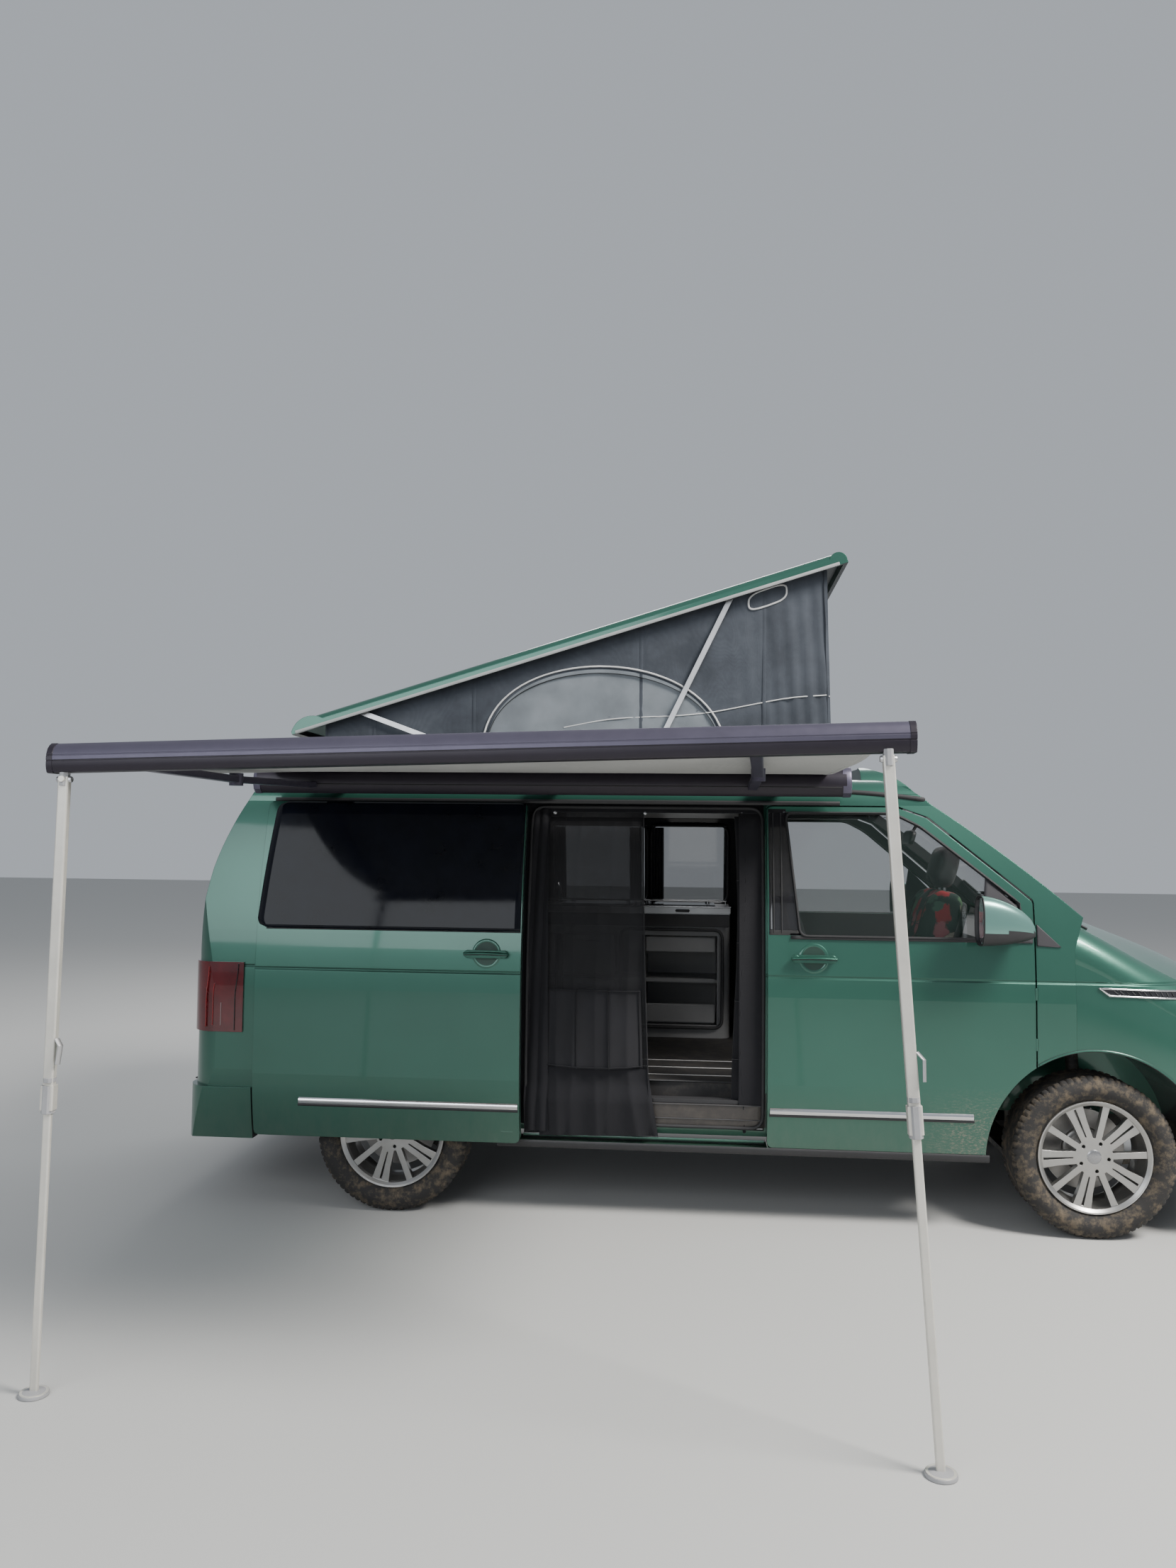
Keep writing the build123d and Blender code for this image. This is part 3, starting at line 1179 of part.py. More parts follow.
KITCHEN_FRONT = -1480
KITCHEN_REAR = -3050
KITCHEN_FACE = 440
WORKTOP = 1284
WORKTOP_DEPTH = 30
KITCHEN_BACK = HALF - WALL - FRAME_DEPTH - 6
with BuildPart() as kitchen:
    add(block(KITCHEN_REAR, KITCHEN_FRONT, KITCHEN_FACE, KITCHEN_BACK, FLOOR_TOP, WORKTOP))
    add(frame_inner, mode=Mode.INTERSECT)
    fillet(kitchen.edges().filter_by(Axis.Z).sort_by(lambda e: e.center().Y - e.center().X)[0:1], 60)
    add(block(KITCHEN_REAR + 90, KITCHEN_FRONT - 70, KITCHEN_FACE - 5, KITCHEN_BACK - 60, 640, 1126), mode=Mode.SUBTRACT)
    with BuildPart(mode=Mode.PRIVATE) as housing:
        with BuildSketch(side(HALF)):
            with Locations((REAR_AXLE, TYRE_RADIUS)):
                Circle(ARCH_RADIUS + LINER + 5)
        extrude(amount=HALF - REAR_LINER_Y + 5)
    with BuildPart(mode=Mode.PRIVATE) as cupboard:
        add(block(-3640, KITCHEN_REAR + 10, KITCHEN_FACE, KITCHEN_BACK - 40, FLOOR_TOP, 1740))
        add(frame_inner, mode=Mode.INTERSECT)
    add(cupboard.part)
    add(housing.part, mode=Mode.SUBTRACT)
    for x in (-1950, -2420):
        add(block(x - 9, x + 9, KITCHEN_FACE, KITCHEN_BACK - 55, 635, 1130))
    add(block(KITCHEN_REAR + 85, KITCHEN_FRONT - 65, KITCHEN_FACE + 20, KITCHEN_BACK - 55, 868, 886))
finish(kitchen.part, "kitchen_unit")

# Lifting roof. Closed, the lid lies on the roof frame; raised, it is tilted about its links.
LID_HEIGHT = ROOF_HEIGHT - FRAME_TOP - SHUT_GAP
LID_REAR_CLOSED = (LID_FRONT - LID_LENGTH, FRAME_TOP + SHUT_GAP)
LID_REAR_OPEN = (LID_REAR_CLOSED[0] + LID_REAR_SHIFT, LID_REAR_CLOSED[1] + LID_REAR_RISE)
PIVOT_HEIGHT = 20
LINK_ALONG = 330
STRUT_ALONG = 2174
STRUT_LEAN = 25.8
BAR_Y = 631
BAR_THICKNESS = 6
BAR_WIDTH = 24
EAR_Y = 640
EAR_THICKNESS = 8
PIN_RADIUS = 6
RIM_WALL = 22
TILT_COS = cos(radians(LID_TILT))
TILT_SIN = sin(radians(LID_TILT))


def lid_plane(y):
    """The raised lid's side plane: its origin is the lid's rear lower corner, its x runs up the lid."""
    x, z = LID_REAR_OPEN
    return Plane(origin=van(x, y, z), x_dir=(TILT_COS, 0, TILT_SIN), z_dir=(0, -1, 0))


def on_lid(along, up):
    """A point of the raised lid in the side view, from the front axle and the ground."""
    x, z = LID_REAR_OPEN
    return (x + along * TILT_COS - up * TILT_SIN, z + along * TILT_SIN + up * TILT_COS)


# The link's foot is as far from its closed end as from its raised one, at the closed pivot's height
LINK_OPEN = on_lid(LINK_ALONG, PIVOT_HEIGHT)
LINK_CLOSED = (LID_REAR_CLOSED[0] + LINK_ALONG, LID_REAR_CLOSED[1] + PIVOT_HEIGHT)
LINK_RISE = LINK_OPEN[1] - LINK_CLOSED[1]
LINK_SHIFT = LINK_OPEN[0] - LINK_CLOSED[0]
LINK_LENGTH = (LINK_RISE**2 + LINK_SHIFT**2) / (2 * LINK_SHIFT)
LINK_FOOT = (LINK_CLOSED[0] + LINK_LENGTH, LINK_CLOSED[1])
LINK_TURN = degrees(atan2(LINK_RISE, LINK_LENGTH - LINK_SHIFT))
STRUT_TOP = on_lid(STRUT_ALONG, PIVOT_HEIGHT)
STRUT_FOOT_HEIGHT = FRAME_TOP + 22
STRUT_LENGTH = (STRUT_TOP[1] - STRUT_FOOT_HEIGHT) / cos(radians(STRUT_LEAN))
STRUT_FOOT = (STRUT_TOP[0] - STRUT_LENGTH * sin(radians(STRUT_LEAN)), STRUT_FOOT_HEIGHT)
STRUT_TURN = 90 - STRUT_LEAN

with BuildPart() as roof_lid:
    with BuildSketch(lid_plane(LID_HALF)):
        with BuildLine():
            Line((0, 0), (LID_LENGTH, 0))
            Line((LID_LENGTH, 0), (LID_LENGTH, 30))
            ThreePointArc((LID_LENGTH, 30), (LID_LENGTH - 14, 51), (LID_LENGTH - 50, LID_HEIGHT))
            Line((LID_LENGTH - 50, LID_HEIGHT), (120, LID_HEIGHT))
            ThreePointArc((120, LID_HEIGHT), (28, 44), (0, 14))
            Line((0, 14), (0, 0))
        make_face()
    extrude(amount=2 * LID_HALF)
    top_edges = roof_lid.faces().filter_by(lambda f: abs(f.normal_at().Z - TILT_COS) < 0.001).edges()
    fillet(top_edges.filter_by(lambda e: e.length > LID_LENGTH / 2), 30)
    with BuildSketch(lid_plane(LID_HALF - RIM_WALL)):
        with BuildLine():
            Polyline((RIM_WALL, -1), (LID_LENGTH - RIM_WALL, -1), (LID_LENGTH - RIM_WALL, LID_HEIGHT - LID_SKIN - 12),
                     (LID_LENGTH - 70, LID_HEIGHT - LID_SKIN), (130, LID_HEIGHT - LID_SKIN), (RIM_WALL, 18), close=True)
        make_face()
    extrude(amount=2 * (LID_HALF - RIM_WALL), mode=Mode.SUBTRACT)
    for hand in (RIGHT, LEFT):
        for along in (LINK_ALONG, STRUT_ALONG):
            with BuildSketch(lid_plane(hand * EAR_Y + EAR_THICKNESS / 2)):
                with Locations((along, PIVOT_HEIGHT + 10)):
                    Rectangle(44, 2 * 24 - 2)
            extrude(amount=EAR_THICKNESS)
            with BuildSketch(lid_plane(hand * EAR_Y + EAR_THICKNESS)):
                with Locations((along, PIVOT_HEIGHT)):
                    Circle(PIN_RADIUS + PLAY)
            extrude(amount=2 * EAR_THICKNESS, mode=Mode.SUBTRACT)
finish(roof_lid.part, "roof_lid")


# The roof frame carries an ear for each link's foot
with BuildPart() as framed_roof:
    add(roof_frame.part)
    for hand in (RIGHT, LEFT):
        with BuildSketch(side(hand * EAR_Y + EAR_THICKNESS / 2)):
            with Locations((LINK_FOOT[0], (FRAME_TOP + LINK_FOOT[1] + 12) / 2)):
                Rectangle(44, LINK_FOOT[1] + 12 - FRAME_TOP)
        extrude(amount=EAR_THICKNESS)
        with BuildSketch(side(hand * EAR_Y + EAR_THICKNESS)):
            with Locations(LINK_FOOT):
                Circle(PIN_RADIUS + PLAY)
        extrude(amount=2 * EAR_THICKNESS, mode=Mode.SUBTRACT)
finish(framed_roof.part, "roof_frame")


def bar(start, end, y):
    """A flat steel bar between two points of the side view, centred at y."""
    run = Vector(end[0] - start[0], 0, end[1] - start[1])
    flat = Plane(origin=van(start[0], y + BAR_THICKNESS / 2, start[1]), x_dir=run, z_dir=(0, -1, 0))
    with BuildPart() as one:
        with BuildSketch(flat):
            with Locations((run.length / 2, 0)):
                SlotCenterToCenter(run.length, BAR_WIDTH)
        extrude(amount=BAR_THICKNESS)
    return one.part


def pin(point, hand):
    """A pivot pin from a bar out through the ear beside it."""
    with BuildPart() as one:
        with BuildSketch(side(hand * (BAR_Y + BAR_THICKNESS / 2 - 1))):
            with Locations(point):
                Circle(PIN_RADIUS)
        extrude(amount=-hand * (EAR_Y + EAR_THICKNESS / 2 - BAR_Y - BAR_THICKNESS / 2 + 1))
    return one.part


with BuildPart() as roof_links:
    for hand in (RIGHT, LEFT):
        add(bar(LINK_FOOT, LINK_OPEN, hand * BAR_Y))
        add(pin(LINK_FOOT, hand))
        add(pin(LINK_OPEN, hand))
finish(roof_links.part, "roof_links")

with BuildPart() as roof_struts:
    for hand in (RIGHT, LEFT):
        add(bar(STRUT_FOOT, STRUT_TOP, hand * BAR_Y))
        add(pin(STRUT_TOP, hand))
finish(roof_struts.part, "roof_struts")

# Tent: side and front walls between the roof opening and the raised lid
TENT_FRONT = -1062
TENT_REAR = -3440
TENT_FOOT = FRAME_TOP - 30
with BuildPart() as roof_tent:
    lift = tan(radians(LID_TILT))
    ceiling = LID_REAR_OPEN[1] + (LID_HEIGHT - LID_SKIN - PLAY) / TILT_COS
    top_front = ceiling + (TENT_FRONT - 12 - LID_REAR_OPEN[0]) * lift
    top_rear = ceiling + (TENT_REAR - LID_REAR_OPEN[0]) * lift
    with BuildSketch(side(TENT_HALF)):
        with BuildLine():
            Polyline((TENT_REAR, TENT_FOOT), (TENT_FRONT + 14, TENT_FOOT), (TENT_FRONT - 12, top_front),
                     (TENT_REAR, top_rear), close=True)
        make_face()
    extrude(amount=2 * TENT_HALF)
    with BuildSketch(side(TENT_HALF - TENT_WALL)):
        with BuildLine():
            Polyline((TENT_REAR + TENT_WALL, TENT_FOOT - 1), (TENT_FRONT + 14 - TENT_WALL, TENT_FOOT - 1),
                     (TENT_FRONT - 12 - TENT_WALL, top_front + 1), (TENT_REAR + TENT_WALL, top_rear + 1), close=True)
        make_face()
    extrude(amount=2 * (TENT_HALF - TENT_WALL), mode=Mode.SUBTRACT)
finish(roof_tent.part, "roof_tent")

# Roof bed: a padded board between the cant rails
BED_TOP = 1845
with BuildPart() as roof_bed:
    add(block(-3200, -1300, -IN + PLAY, IN - PLAY, BED_TOP - 70, BED_TOP))
finish(roof_bed.part, "roof_bed")

# Awning: case on the gutter, lead rail, fabric, folding arms and legs
CASE_FRONT = AWNING_FRONT
CASE_REAR = AWNING_FRONT - AWNING_LENGTH
CASE_MID = CASE_BOTTOM + CASE_HEIGHT / 2
with BuildPart() as awning_case:
    with BuildSketch(across(CASE_REAR)) as face:
        with BuildLine():
            Polyline((-CASE_INNER + 70, CASE_BOTTOM + 22), (-CASE_INNER - CASE_DEPTH + 30, CASE_BOTTOM))
            ThreePointArc((-CASE_INNER - CASE_DEPTH + 30, CASE_BOTTOM), (-CASE_INNER - CASE_DEPTH, CASE_BOTTOM + 40),
                          (-CASE_INNER - CASE_DEPTH + 12, CASE_BOTTOM + 100))
            ThreePointArc((-CASE_INNER - CASE_DEPTH + 12, CASE_BOTTOM + 100), (-CASE_INNER + 10, CASE_BOTTOM + CASE_HEIGHT),
                          (-CASE_INNER + 70, CASE_BOTTOM + 105))
            Line((-CASE_INNER + 70, CASE_BOTTOM + 105), (-CASE_INNER + 70, CASE_BOTTOM + 22))
        make_face()
    extrude(amount=AWNING_LENGTH)
    for x in (CASE_REAR + 300, CASE_FRONT - 1280, CASE_FRONT - 300):
        with Locations(van(x, -(CASE_INNER - 70 + 760) / 2, CASE_BOTTOM + 60)):
            Box(120, CASE_INNER - 70 - 760 + 20, 30)
    add(cabin_outer, mode=Mode.SUBTRACT)
finish(awning_case.part, "awning_case")

RAIL_SLOPE = degrees(atan2(RAIL_FRONT_HEIGHT - RAIL_REAR_HEIGHT, RAIL_LENGTH))
RAIL_DEPTH = 62
RAIL_HEIGHT = 88
rail_plane = Plane(origin=van(RAIL_FRONT, -RAIL_OUT, RAIL_FRONT_HEIGHT), x_dir=(0, -1, 0),
                   z_dir=(-cos(radians(RAIL_SLOPE)), 0, -sin(radians(RAIL_SLOPE))))
with BuildPart() as awning_rail:
    with BuildSketch(rail_plane) as face:
        with BuildLine():
            Line((-RAIL_DEPTH / 2, -RAIL_HEIGHT / 2), (RAIL_DEPTH / 2 - 8, -RAIL_HEIGHT / 2))
            ThreePointArc((RAIL_DEPTH / 2 - 8, -RAIL_HEIGHT / 2), (RAIL_DEPTH / 2, 0), (RAIL_DEPTH / 2 - 20, RAIL_HEIGHT / 2 - 8))
            ThreePointArc((RAIL_DEPTH / 2 - 20, RAIL_HEIGHT / 2 - 8), (0, RAIL_HEIGHT / 2), (-RAIL_DEPTH / 2, RAIL_HEIGHT / 2 - 14))
            Line((-RAIL_DEPTH / 2, RAIL_HEIGHT / 2 - 14), (-RAIL_DEPTH / 2, -RAIL_HEIGHT / 2))
        make_face()
    extrude(amount=RAIL_LENGTH)
finish(awning_rail.part, "awning_rail")

# Awning fabric between the case's slot and the rail's groove
FABRIC = 3
FABRIC_CASE_Y = -CASE_INNER - CASE_DEPTH + 25
FABRIC_CASE_Z = CASE_MID + 26
FABRIC_MARGIN = 45
FABRIC_SAG = 16


def rail_height(x):
    """The rail's middle height at a place along the van."""
    return RAIL_FRONT_HEIGHT - (RAIL_FRONT - x) * tan(radians(RAIL_SLOPE))


with BuildPart() as awning_canopy:
    for x in (RAIL_FRONT - RAIL_LENGTH + FABRIC_MARGIN, RAIL_FRONT - FABRIC_MARGIN):
        rail_z = rail_height(x) + RAIL_HEIGHT / 2 - 22
        rail_y = -RAIL_OUT + RAIL_DEPTH / 2 - 5
        middle = ((FABRIC_CASE_Y + rail_y) / 2, (FABRIC_CASE_Z + rail_z) / 2 - FABRIC_SAG)
        with BuildSketch(across(x)):
            with BuildLine():
                ThreePointArc((FABRIC_CASE_Y, FABRIC_CASE_Z), middle, (rail_y, rail_z))
                Line((rail_y, rail_z), (rail_y, rail_z + FABRIC))
                ThreePointArc((rail_y, rail_z + FABRIC), (middle[0], middle[1] + FABRIC),
                              (FABRIC_CASE_Y, FABRIC_CASE_Z + FABRIC))
                Line((FABRIC_CASE_Y, FABRIC_CASE_Z + FABRIC), (FABRIC_CASE_Y, FABRIC_CASE_Z))
            make_face()
    loft(ruled=True)
    add(awning_case.part, mode=Mode.SUBTRACT)
    add(awning_rail.part, mode=Mode.SUBTRACT)
finish(awning_canopy.part, "awning_canopy")

# Folding arms: shoulder, elbow and rail end of each, as x, y, z
ARM_SHOULDER_Z = 1872
ARMS = (
    ((-3345, -1010, ARM_SHOULDER_Z), (-3392, -1800, 1852), (-3448, -2722, rail_height(-3448) - 6)),
    ((-1432, -1010, ARM_SHOULDER_Z), (-1450, -1800, 1880), (-1508, -2722, rail_height(-1508) - 6)),
)
ARM_WIDTH = 40
ARM_HEIGHT = 26


def strut_between(start, end, width, height):
    """A straight rectangular bar between two points given from the axle, centreline and ground."""
    a = Vector(*van(*start))
    b = Vector(*van(*end))
    run = b - a
    flat = run.cross(Vector(0, 0, 1)) if abs(run.Z) < run.length / 2 else Vector(1, 0, 0)
    with BuildPart() as one:
        with BuildSketch(Plane(origin=a, x_dir=flat, z_dir=run)):
            RectangleRounded(width, height, 5)
        extrude(amount=run.length)
    return one.part


with BuildPart() as awning_arms:
    for shoulder, elbow, tip in ARMS:
        add(strut_between(shoulder, elbow, ARM_WIDTH, ARM_HEIGHT))
        add(strut_between(elbow, tip, ARM_WIDTH, ARM_HEIGHT))
        for x, y, z in (shoulder, elbow, tip):
            with Locations(van(x, y, z)):
                Cylinder(26, 46)
    add(awning_case.part, mode=Mode.SUBTRACT)
    add(awning_rail.part, mode=Mode.SUBTRACT)
finish(awning_arms.part, "awning_arms")

# Telescopic legs: top hinge under the rail and foot on the ground, each as x, y, z
LEGS = (
    ((-3522, -2762, 1806), (-3587, -2700, 0)),
    ((-1150, -2778, 1876), (-1031, -2850, 0)),
)
FOOT_HALF = 40
with BuildPart() as awning_legs:
    for top, foot in LEGS:
        knee = tuple(f + (t - f) * 0.48 for t, f in zip(top, foot))
        low = tuple(f + (t - f) * 0.004 for t, f in zip(top, foot))
        add(strut_between(low, knee, LEG_WIDTH - 8, LEG_WIDTH - 16))
        add(strut_between(knee, top, LEG_WIDTH, LEG_WIDTH - 8))
        add(strut_between(tuple(f + (t - f) * 0.46 for t, f in zip(top, foot)),
                          tuple(f + (t - f) * 0.5 for t, f in zip(top, foot)), LEG_WIDTH + 8, LEG_WIDTH))
        with Locations(van(foot[0], foot[1], 0)):
            Cylinder(FOOT_HALF, 12, align=(Align.CENTER, Align.CENTER, Align.MIN))
        head = rail_height(top[0]) - RAIL_HEIGHT / 2 - 0.8
        with Locations(van(top[0], -RAIL_OUT, (top[2] - 30 + head) / 2)):
            Cylinder(12, head - top[2] + 30)
        with Locations(Location(van(top[0], (top[1] - RAIL_OUT) / 2, top[2] - 8), (90, 0, 0))):
            Cylinder(9, 46)
finish(awning_legs.part, "awning_legs")

# Fly screen hung in the rear half of the doorway
SCREEN_REAR = APERTURE_REAR + 6
SCREEN_FRONT = -1885
with BuildPart() as fly_screen:
    add(cabin_form(WALL - 4))
    add(cabin_form(WALL - PLAY), mode=Mode.SUBTRACT)
    add(prism([(SCREEN_REAR - 30, 356), (SCREEN_FRONT + 20, 370), (SCREEN_FRONT - 18, 1790), (SCREEN_REAR - 30, 1790)],
              -OUT, -IN), mode=Mode.INTERSECT)
    add(block(SCREEN_REAR - 40, SCREEN_FRONT + 40, -860, -IN, 0, 430), mode=Mode.SUBTRACT)
finish(fly_screen.part, "fly_screen")

# Wipers parked at the foot of the windscreen
with BuildPart() as wipers:
    add(cabin_form(-10))
    add(cabin_form(2 - PLAY), mode=Mode.SUBTRACT)
    with BuildPart(mode=Mode.PRIVATE) as strips:
        with BuildSketch(across(-300)):
            for start, end in (((-690, 1392), (-60, 1372)), ((30, 1392), (640, 1372))):
                with BuildLine():
                    Polyline(start, end, (end[0], end[1] + 14), (start[0], start[1] + 20), close=True)
                make_face()
        extrude(amount=400)
    add(strips.part, mode=Mode.INTERSECT)
    add(cowl.part, mode=Mode.SUBTRACT)
finish(wipers.part, "wipers")
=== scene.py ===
import json
import math

import bmesh
import bpy
from mathutils import Matrix, Vector, noise
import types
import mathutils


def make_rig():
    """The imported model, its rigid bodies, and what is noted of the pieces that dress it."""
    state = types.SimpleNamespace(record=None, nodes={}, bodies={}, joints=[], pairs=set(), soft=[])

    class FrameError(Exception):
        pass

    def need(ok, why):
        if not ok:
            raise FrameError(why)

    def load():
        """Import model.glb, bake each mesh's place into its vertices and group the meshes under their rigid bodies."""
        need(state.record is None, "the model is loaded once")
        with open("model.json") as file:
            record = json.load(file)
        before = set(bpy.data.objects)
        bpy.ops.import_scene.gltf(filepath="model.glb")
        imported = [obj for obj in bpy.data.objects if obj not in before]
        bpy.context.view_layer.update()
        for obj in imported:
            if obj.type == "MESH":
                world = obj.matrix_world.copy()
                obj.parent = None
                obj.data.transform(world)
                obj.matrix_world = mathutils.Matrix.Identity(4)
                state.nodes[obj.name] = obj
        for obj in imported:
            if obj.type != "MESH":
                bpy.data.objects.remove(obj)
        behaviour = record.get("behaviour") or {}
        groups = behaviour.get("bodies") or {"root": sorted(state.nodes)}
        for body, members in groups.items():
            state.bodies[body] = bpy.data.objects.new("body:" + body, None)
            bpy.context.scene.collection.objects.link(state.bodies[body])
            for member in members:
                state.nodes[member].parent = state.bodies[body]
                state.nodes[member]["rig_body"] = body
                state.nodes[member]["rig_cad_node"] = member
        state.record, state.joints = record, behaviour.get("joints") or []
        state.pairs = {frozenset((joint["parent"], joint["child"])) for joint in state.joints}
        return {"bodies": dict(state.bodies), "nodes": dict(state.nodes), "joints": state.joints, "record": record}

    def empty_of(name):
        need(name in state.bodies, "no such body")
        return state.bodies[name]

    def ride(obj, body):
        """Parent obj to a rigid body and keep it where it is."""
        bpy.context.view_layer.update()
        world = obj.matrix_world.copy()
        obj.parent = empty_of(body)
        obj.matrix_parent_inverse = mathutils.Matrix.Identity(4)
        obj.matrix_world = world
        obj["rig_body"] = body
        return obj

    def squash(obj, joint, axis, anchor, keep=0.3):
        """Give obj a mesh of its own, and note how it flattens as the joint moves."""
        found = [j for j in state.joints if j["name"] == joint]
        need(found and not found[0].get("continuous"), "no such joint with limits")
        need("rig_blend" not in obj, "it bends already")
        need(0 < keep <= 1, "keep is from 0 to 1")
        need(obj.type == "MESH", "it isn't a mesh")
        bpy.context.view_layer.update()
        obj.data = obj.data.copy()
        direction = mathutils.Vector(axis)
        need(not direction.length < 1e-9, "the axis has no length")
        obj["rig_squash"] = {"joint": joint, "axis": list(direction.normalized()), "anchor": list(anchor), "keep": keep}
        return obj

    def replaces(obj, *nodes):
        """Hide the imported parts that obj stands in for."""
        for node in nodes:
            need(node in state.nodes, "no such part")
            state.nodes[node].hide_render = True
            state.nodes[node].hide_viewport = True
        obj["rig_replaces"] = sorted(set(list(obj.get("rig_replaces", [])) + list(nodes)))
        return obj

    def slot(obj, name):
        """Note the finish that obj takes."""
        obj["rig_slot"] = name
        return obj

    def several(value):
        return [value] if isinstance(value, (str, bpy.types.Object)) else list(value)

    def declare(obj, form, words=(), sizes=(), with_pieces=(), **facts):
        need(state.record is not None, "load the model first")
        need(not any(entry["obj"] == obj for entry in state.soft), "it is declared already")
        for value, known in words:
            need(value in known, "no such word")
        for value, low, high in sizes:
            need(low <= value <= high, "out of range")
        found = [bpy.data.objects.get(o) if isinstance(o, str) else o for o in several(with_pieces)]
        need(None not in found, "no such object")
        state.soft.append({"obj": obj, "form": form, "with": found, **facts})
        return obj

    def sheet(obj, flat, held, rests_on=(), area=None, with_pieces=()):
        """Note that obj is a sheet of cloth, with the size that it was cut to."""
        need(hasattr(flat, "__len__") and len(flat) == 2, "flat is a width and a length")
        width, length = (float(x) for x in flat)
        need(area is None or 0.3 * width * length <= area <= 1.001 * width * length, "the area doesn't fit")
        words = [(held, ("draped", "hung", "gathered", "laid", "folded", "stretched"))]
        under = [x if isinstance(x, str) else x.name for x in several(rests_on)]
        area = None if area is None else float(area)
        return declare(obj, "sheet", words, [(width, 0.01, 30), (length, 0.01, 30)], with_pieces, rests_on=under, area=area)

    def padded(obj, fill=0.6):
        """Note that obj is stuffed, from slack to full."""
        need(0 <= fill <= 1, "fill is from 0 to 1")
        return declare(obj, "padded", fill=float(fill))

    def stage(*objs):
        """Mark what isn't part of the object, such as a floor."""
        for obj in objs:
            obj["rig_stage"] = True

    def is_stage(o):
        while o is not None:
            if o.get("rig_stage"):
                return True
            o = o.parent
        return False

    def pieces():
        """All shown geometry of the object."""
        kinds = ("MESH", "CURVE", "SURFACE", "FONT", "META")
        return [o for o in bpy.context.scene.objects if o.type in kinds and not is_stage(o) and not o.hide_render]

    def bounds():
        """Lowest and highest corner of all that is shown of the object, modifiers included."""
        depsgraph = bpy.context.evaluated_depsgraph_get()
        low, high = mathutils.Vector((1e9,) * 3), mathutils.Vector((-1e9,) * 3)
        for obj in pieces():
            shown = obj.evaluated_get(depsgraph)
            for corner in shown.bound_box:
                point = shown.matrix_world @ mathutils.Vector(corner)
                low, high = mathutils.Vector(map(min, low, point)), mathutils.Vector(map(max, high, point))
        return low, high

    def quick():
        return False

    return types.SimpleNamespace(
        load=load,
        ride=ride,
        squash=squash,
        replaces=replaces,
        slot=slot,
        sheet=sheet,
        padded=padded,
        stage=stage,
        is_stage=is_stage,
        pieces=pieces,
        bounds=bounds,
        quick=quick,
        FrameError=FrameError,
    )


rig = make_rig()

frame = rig.load()
NODES = frame["nodes"]
CAD_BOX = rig.bounds()

# The van's own places: x from the front axle, y from the centreline, z from the ground, in metres
AXLE = 1.544
CENTRE = 0.87075
RIGHT = -1
LEFT = 1
SIDES = ((RIGHT, "right"), (LEFT, "left"))
SIDE_NAME = dict(SIDES)
WHEELBASE = 3.0
WHEEL_Z = 0.338
WHEEL_Y = 0.814
PAINTED_ARCH = 0.4635
ARCH_LIP = 0.4495
# How far the open sliding door stands back and out
SLIDE = (-1.054, 0.076)
# The raised lid: its rear lower edge and its angle
LID_REAR = (-3.583, 2.127)
LID_ANGLE = math.radians(17.1)
TENT_HALF = 0.6195
SCREEN_TOP = 1.785
SCREEN_FOOT = 0.362
SCREEN_REAR = -2.412


def P(x, y, z):
    """A place of the van in the row frame."""
    return Vector((x + AXLE, y + CENTRE, z))


def clamp(v, lo=0.0, hi=1.0):
    """The value kept between two limits."""
    return max(lo, min(hi, v))


def smooth(a, b, v):
    """Nothing below a, one above b, with a smooth rise between them."""
    t = clamp((v - a) / (b - a))
    return t * t * (3 - 2 * t)


def arc_at(p, q, r, z):
    """The first coordinate at height z on the circle through three points."""
    ax, ay = p
    bx, by = q
    cx, cy = r
    d = 2 * (ax * (by - cy) + bx * (cy - ay) + cx * (ay - by))
    ux = ((ax**2 + ay**2) * (by - cy) + (bx**2 + by**2) * (cy - ay) + (cx**2 + cy**2) * (ay - by)) / d
    uy = ((ax**2 + ay**2) * (cx - bx) + (bx**2 + by**2) * (ax - cx) + (cx**2 + cy**2) * (bx - ax)) / d
    rad = math.hypot(ax - ux, ay - uy)
    s = 1 if q[0] > ux else -1
    return ux + s * math.sqrt(max(rad * rad - (z - uy) ** 2, 0))


def side_y(z):
    """Half width of the cabin's section at a height."""
    if z < 0.8:
        return arc_at((0.905, 0.315), (0.944, 0.52), (0.952, 0.8), max(z, 0.315))
    if z < 1.225:
        return arc_at((0.952, 0.8), (0.951, 1.01), (0.9365, 1.225), z)
    return arc_at((0.9365, 1.225), (0.886, 1.54), (0.81, 1.808), min(z, 1.808))


# Camera
CAM = P(-1.678, -6.02, 1.625)
YAW, PITCH, ROLL = math.radians(5.25), math.radians(2.95), math.radians(0.64)
fw = Vector((-math.sin(YAW) * math.cos(PITCH), math.cos(YAW) * math.cos(PITCH), math.sin(PITCH)))
r0 = fw.cross(Vector((0, 0, 1))).normalized()
u0 = r0.cross(fw)
right = r0 * math.cos(ROLL) + u0 * math.sin(ROLL)
up = -r0 * math.sin(ROLL) + u0 * math.cos(ROLL)
cam_data = bpy.data.cameras.new("camera")
cam_data.lens = 1640 / 2212 * 36
cam_data.sensor_width = 36
cam_data.clip_end = 200
camera = bpy.data.objects.new("camera", cam_data)
bpy.context.scene.collection.objects.link(camera)
rot = Matrix((right, up, -fw)).transposed().to_4x4()
camera.matrix_world = Matrix.Translation(CAM) @ rot
bpy.context.scene.camera = camera


def link(obj):
    bpy.context.scene.collection.objects.link(obj)
    return obj


# Materials
def nodes_of(name):
    """A new material with its node tree and main shader."""
    m = bpy.data.materials.new(name)
    m.use_nodes = True
    nt = m.node_tree
    bsdf = nt.nodes["Principled BSDF"]
    return m, nt, bsdf


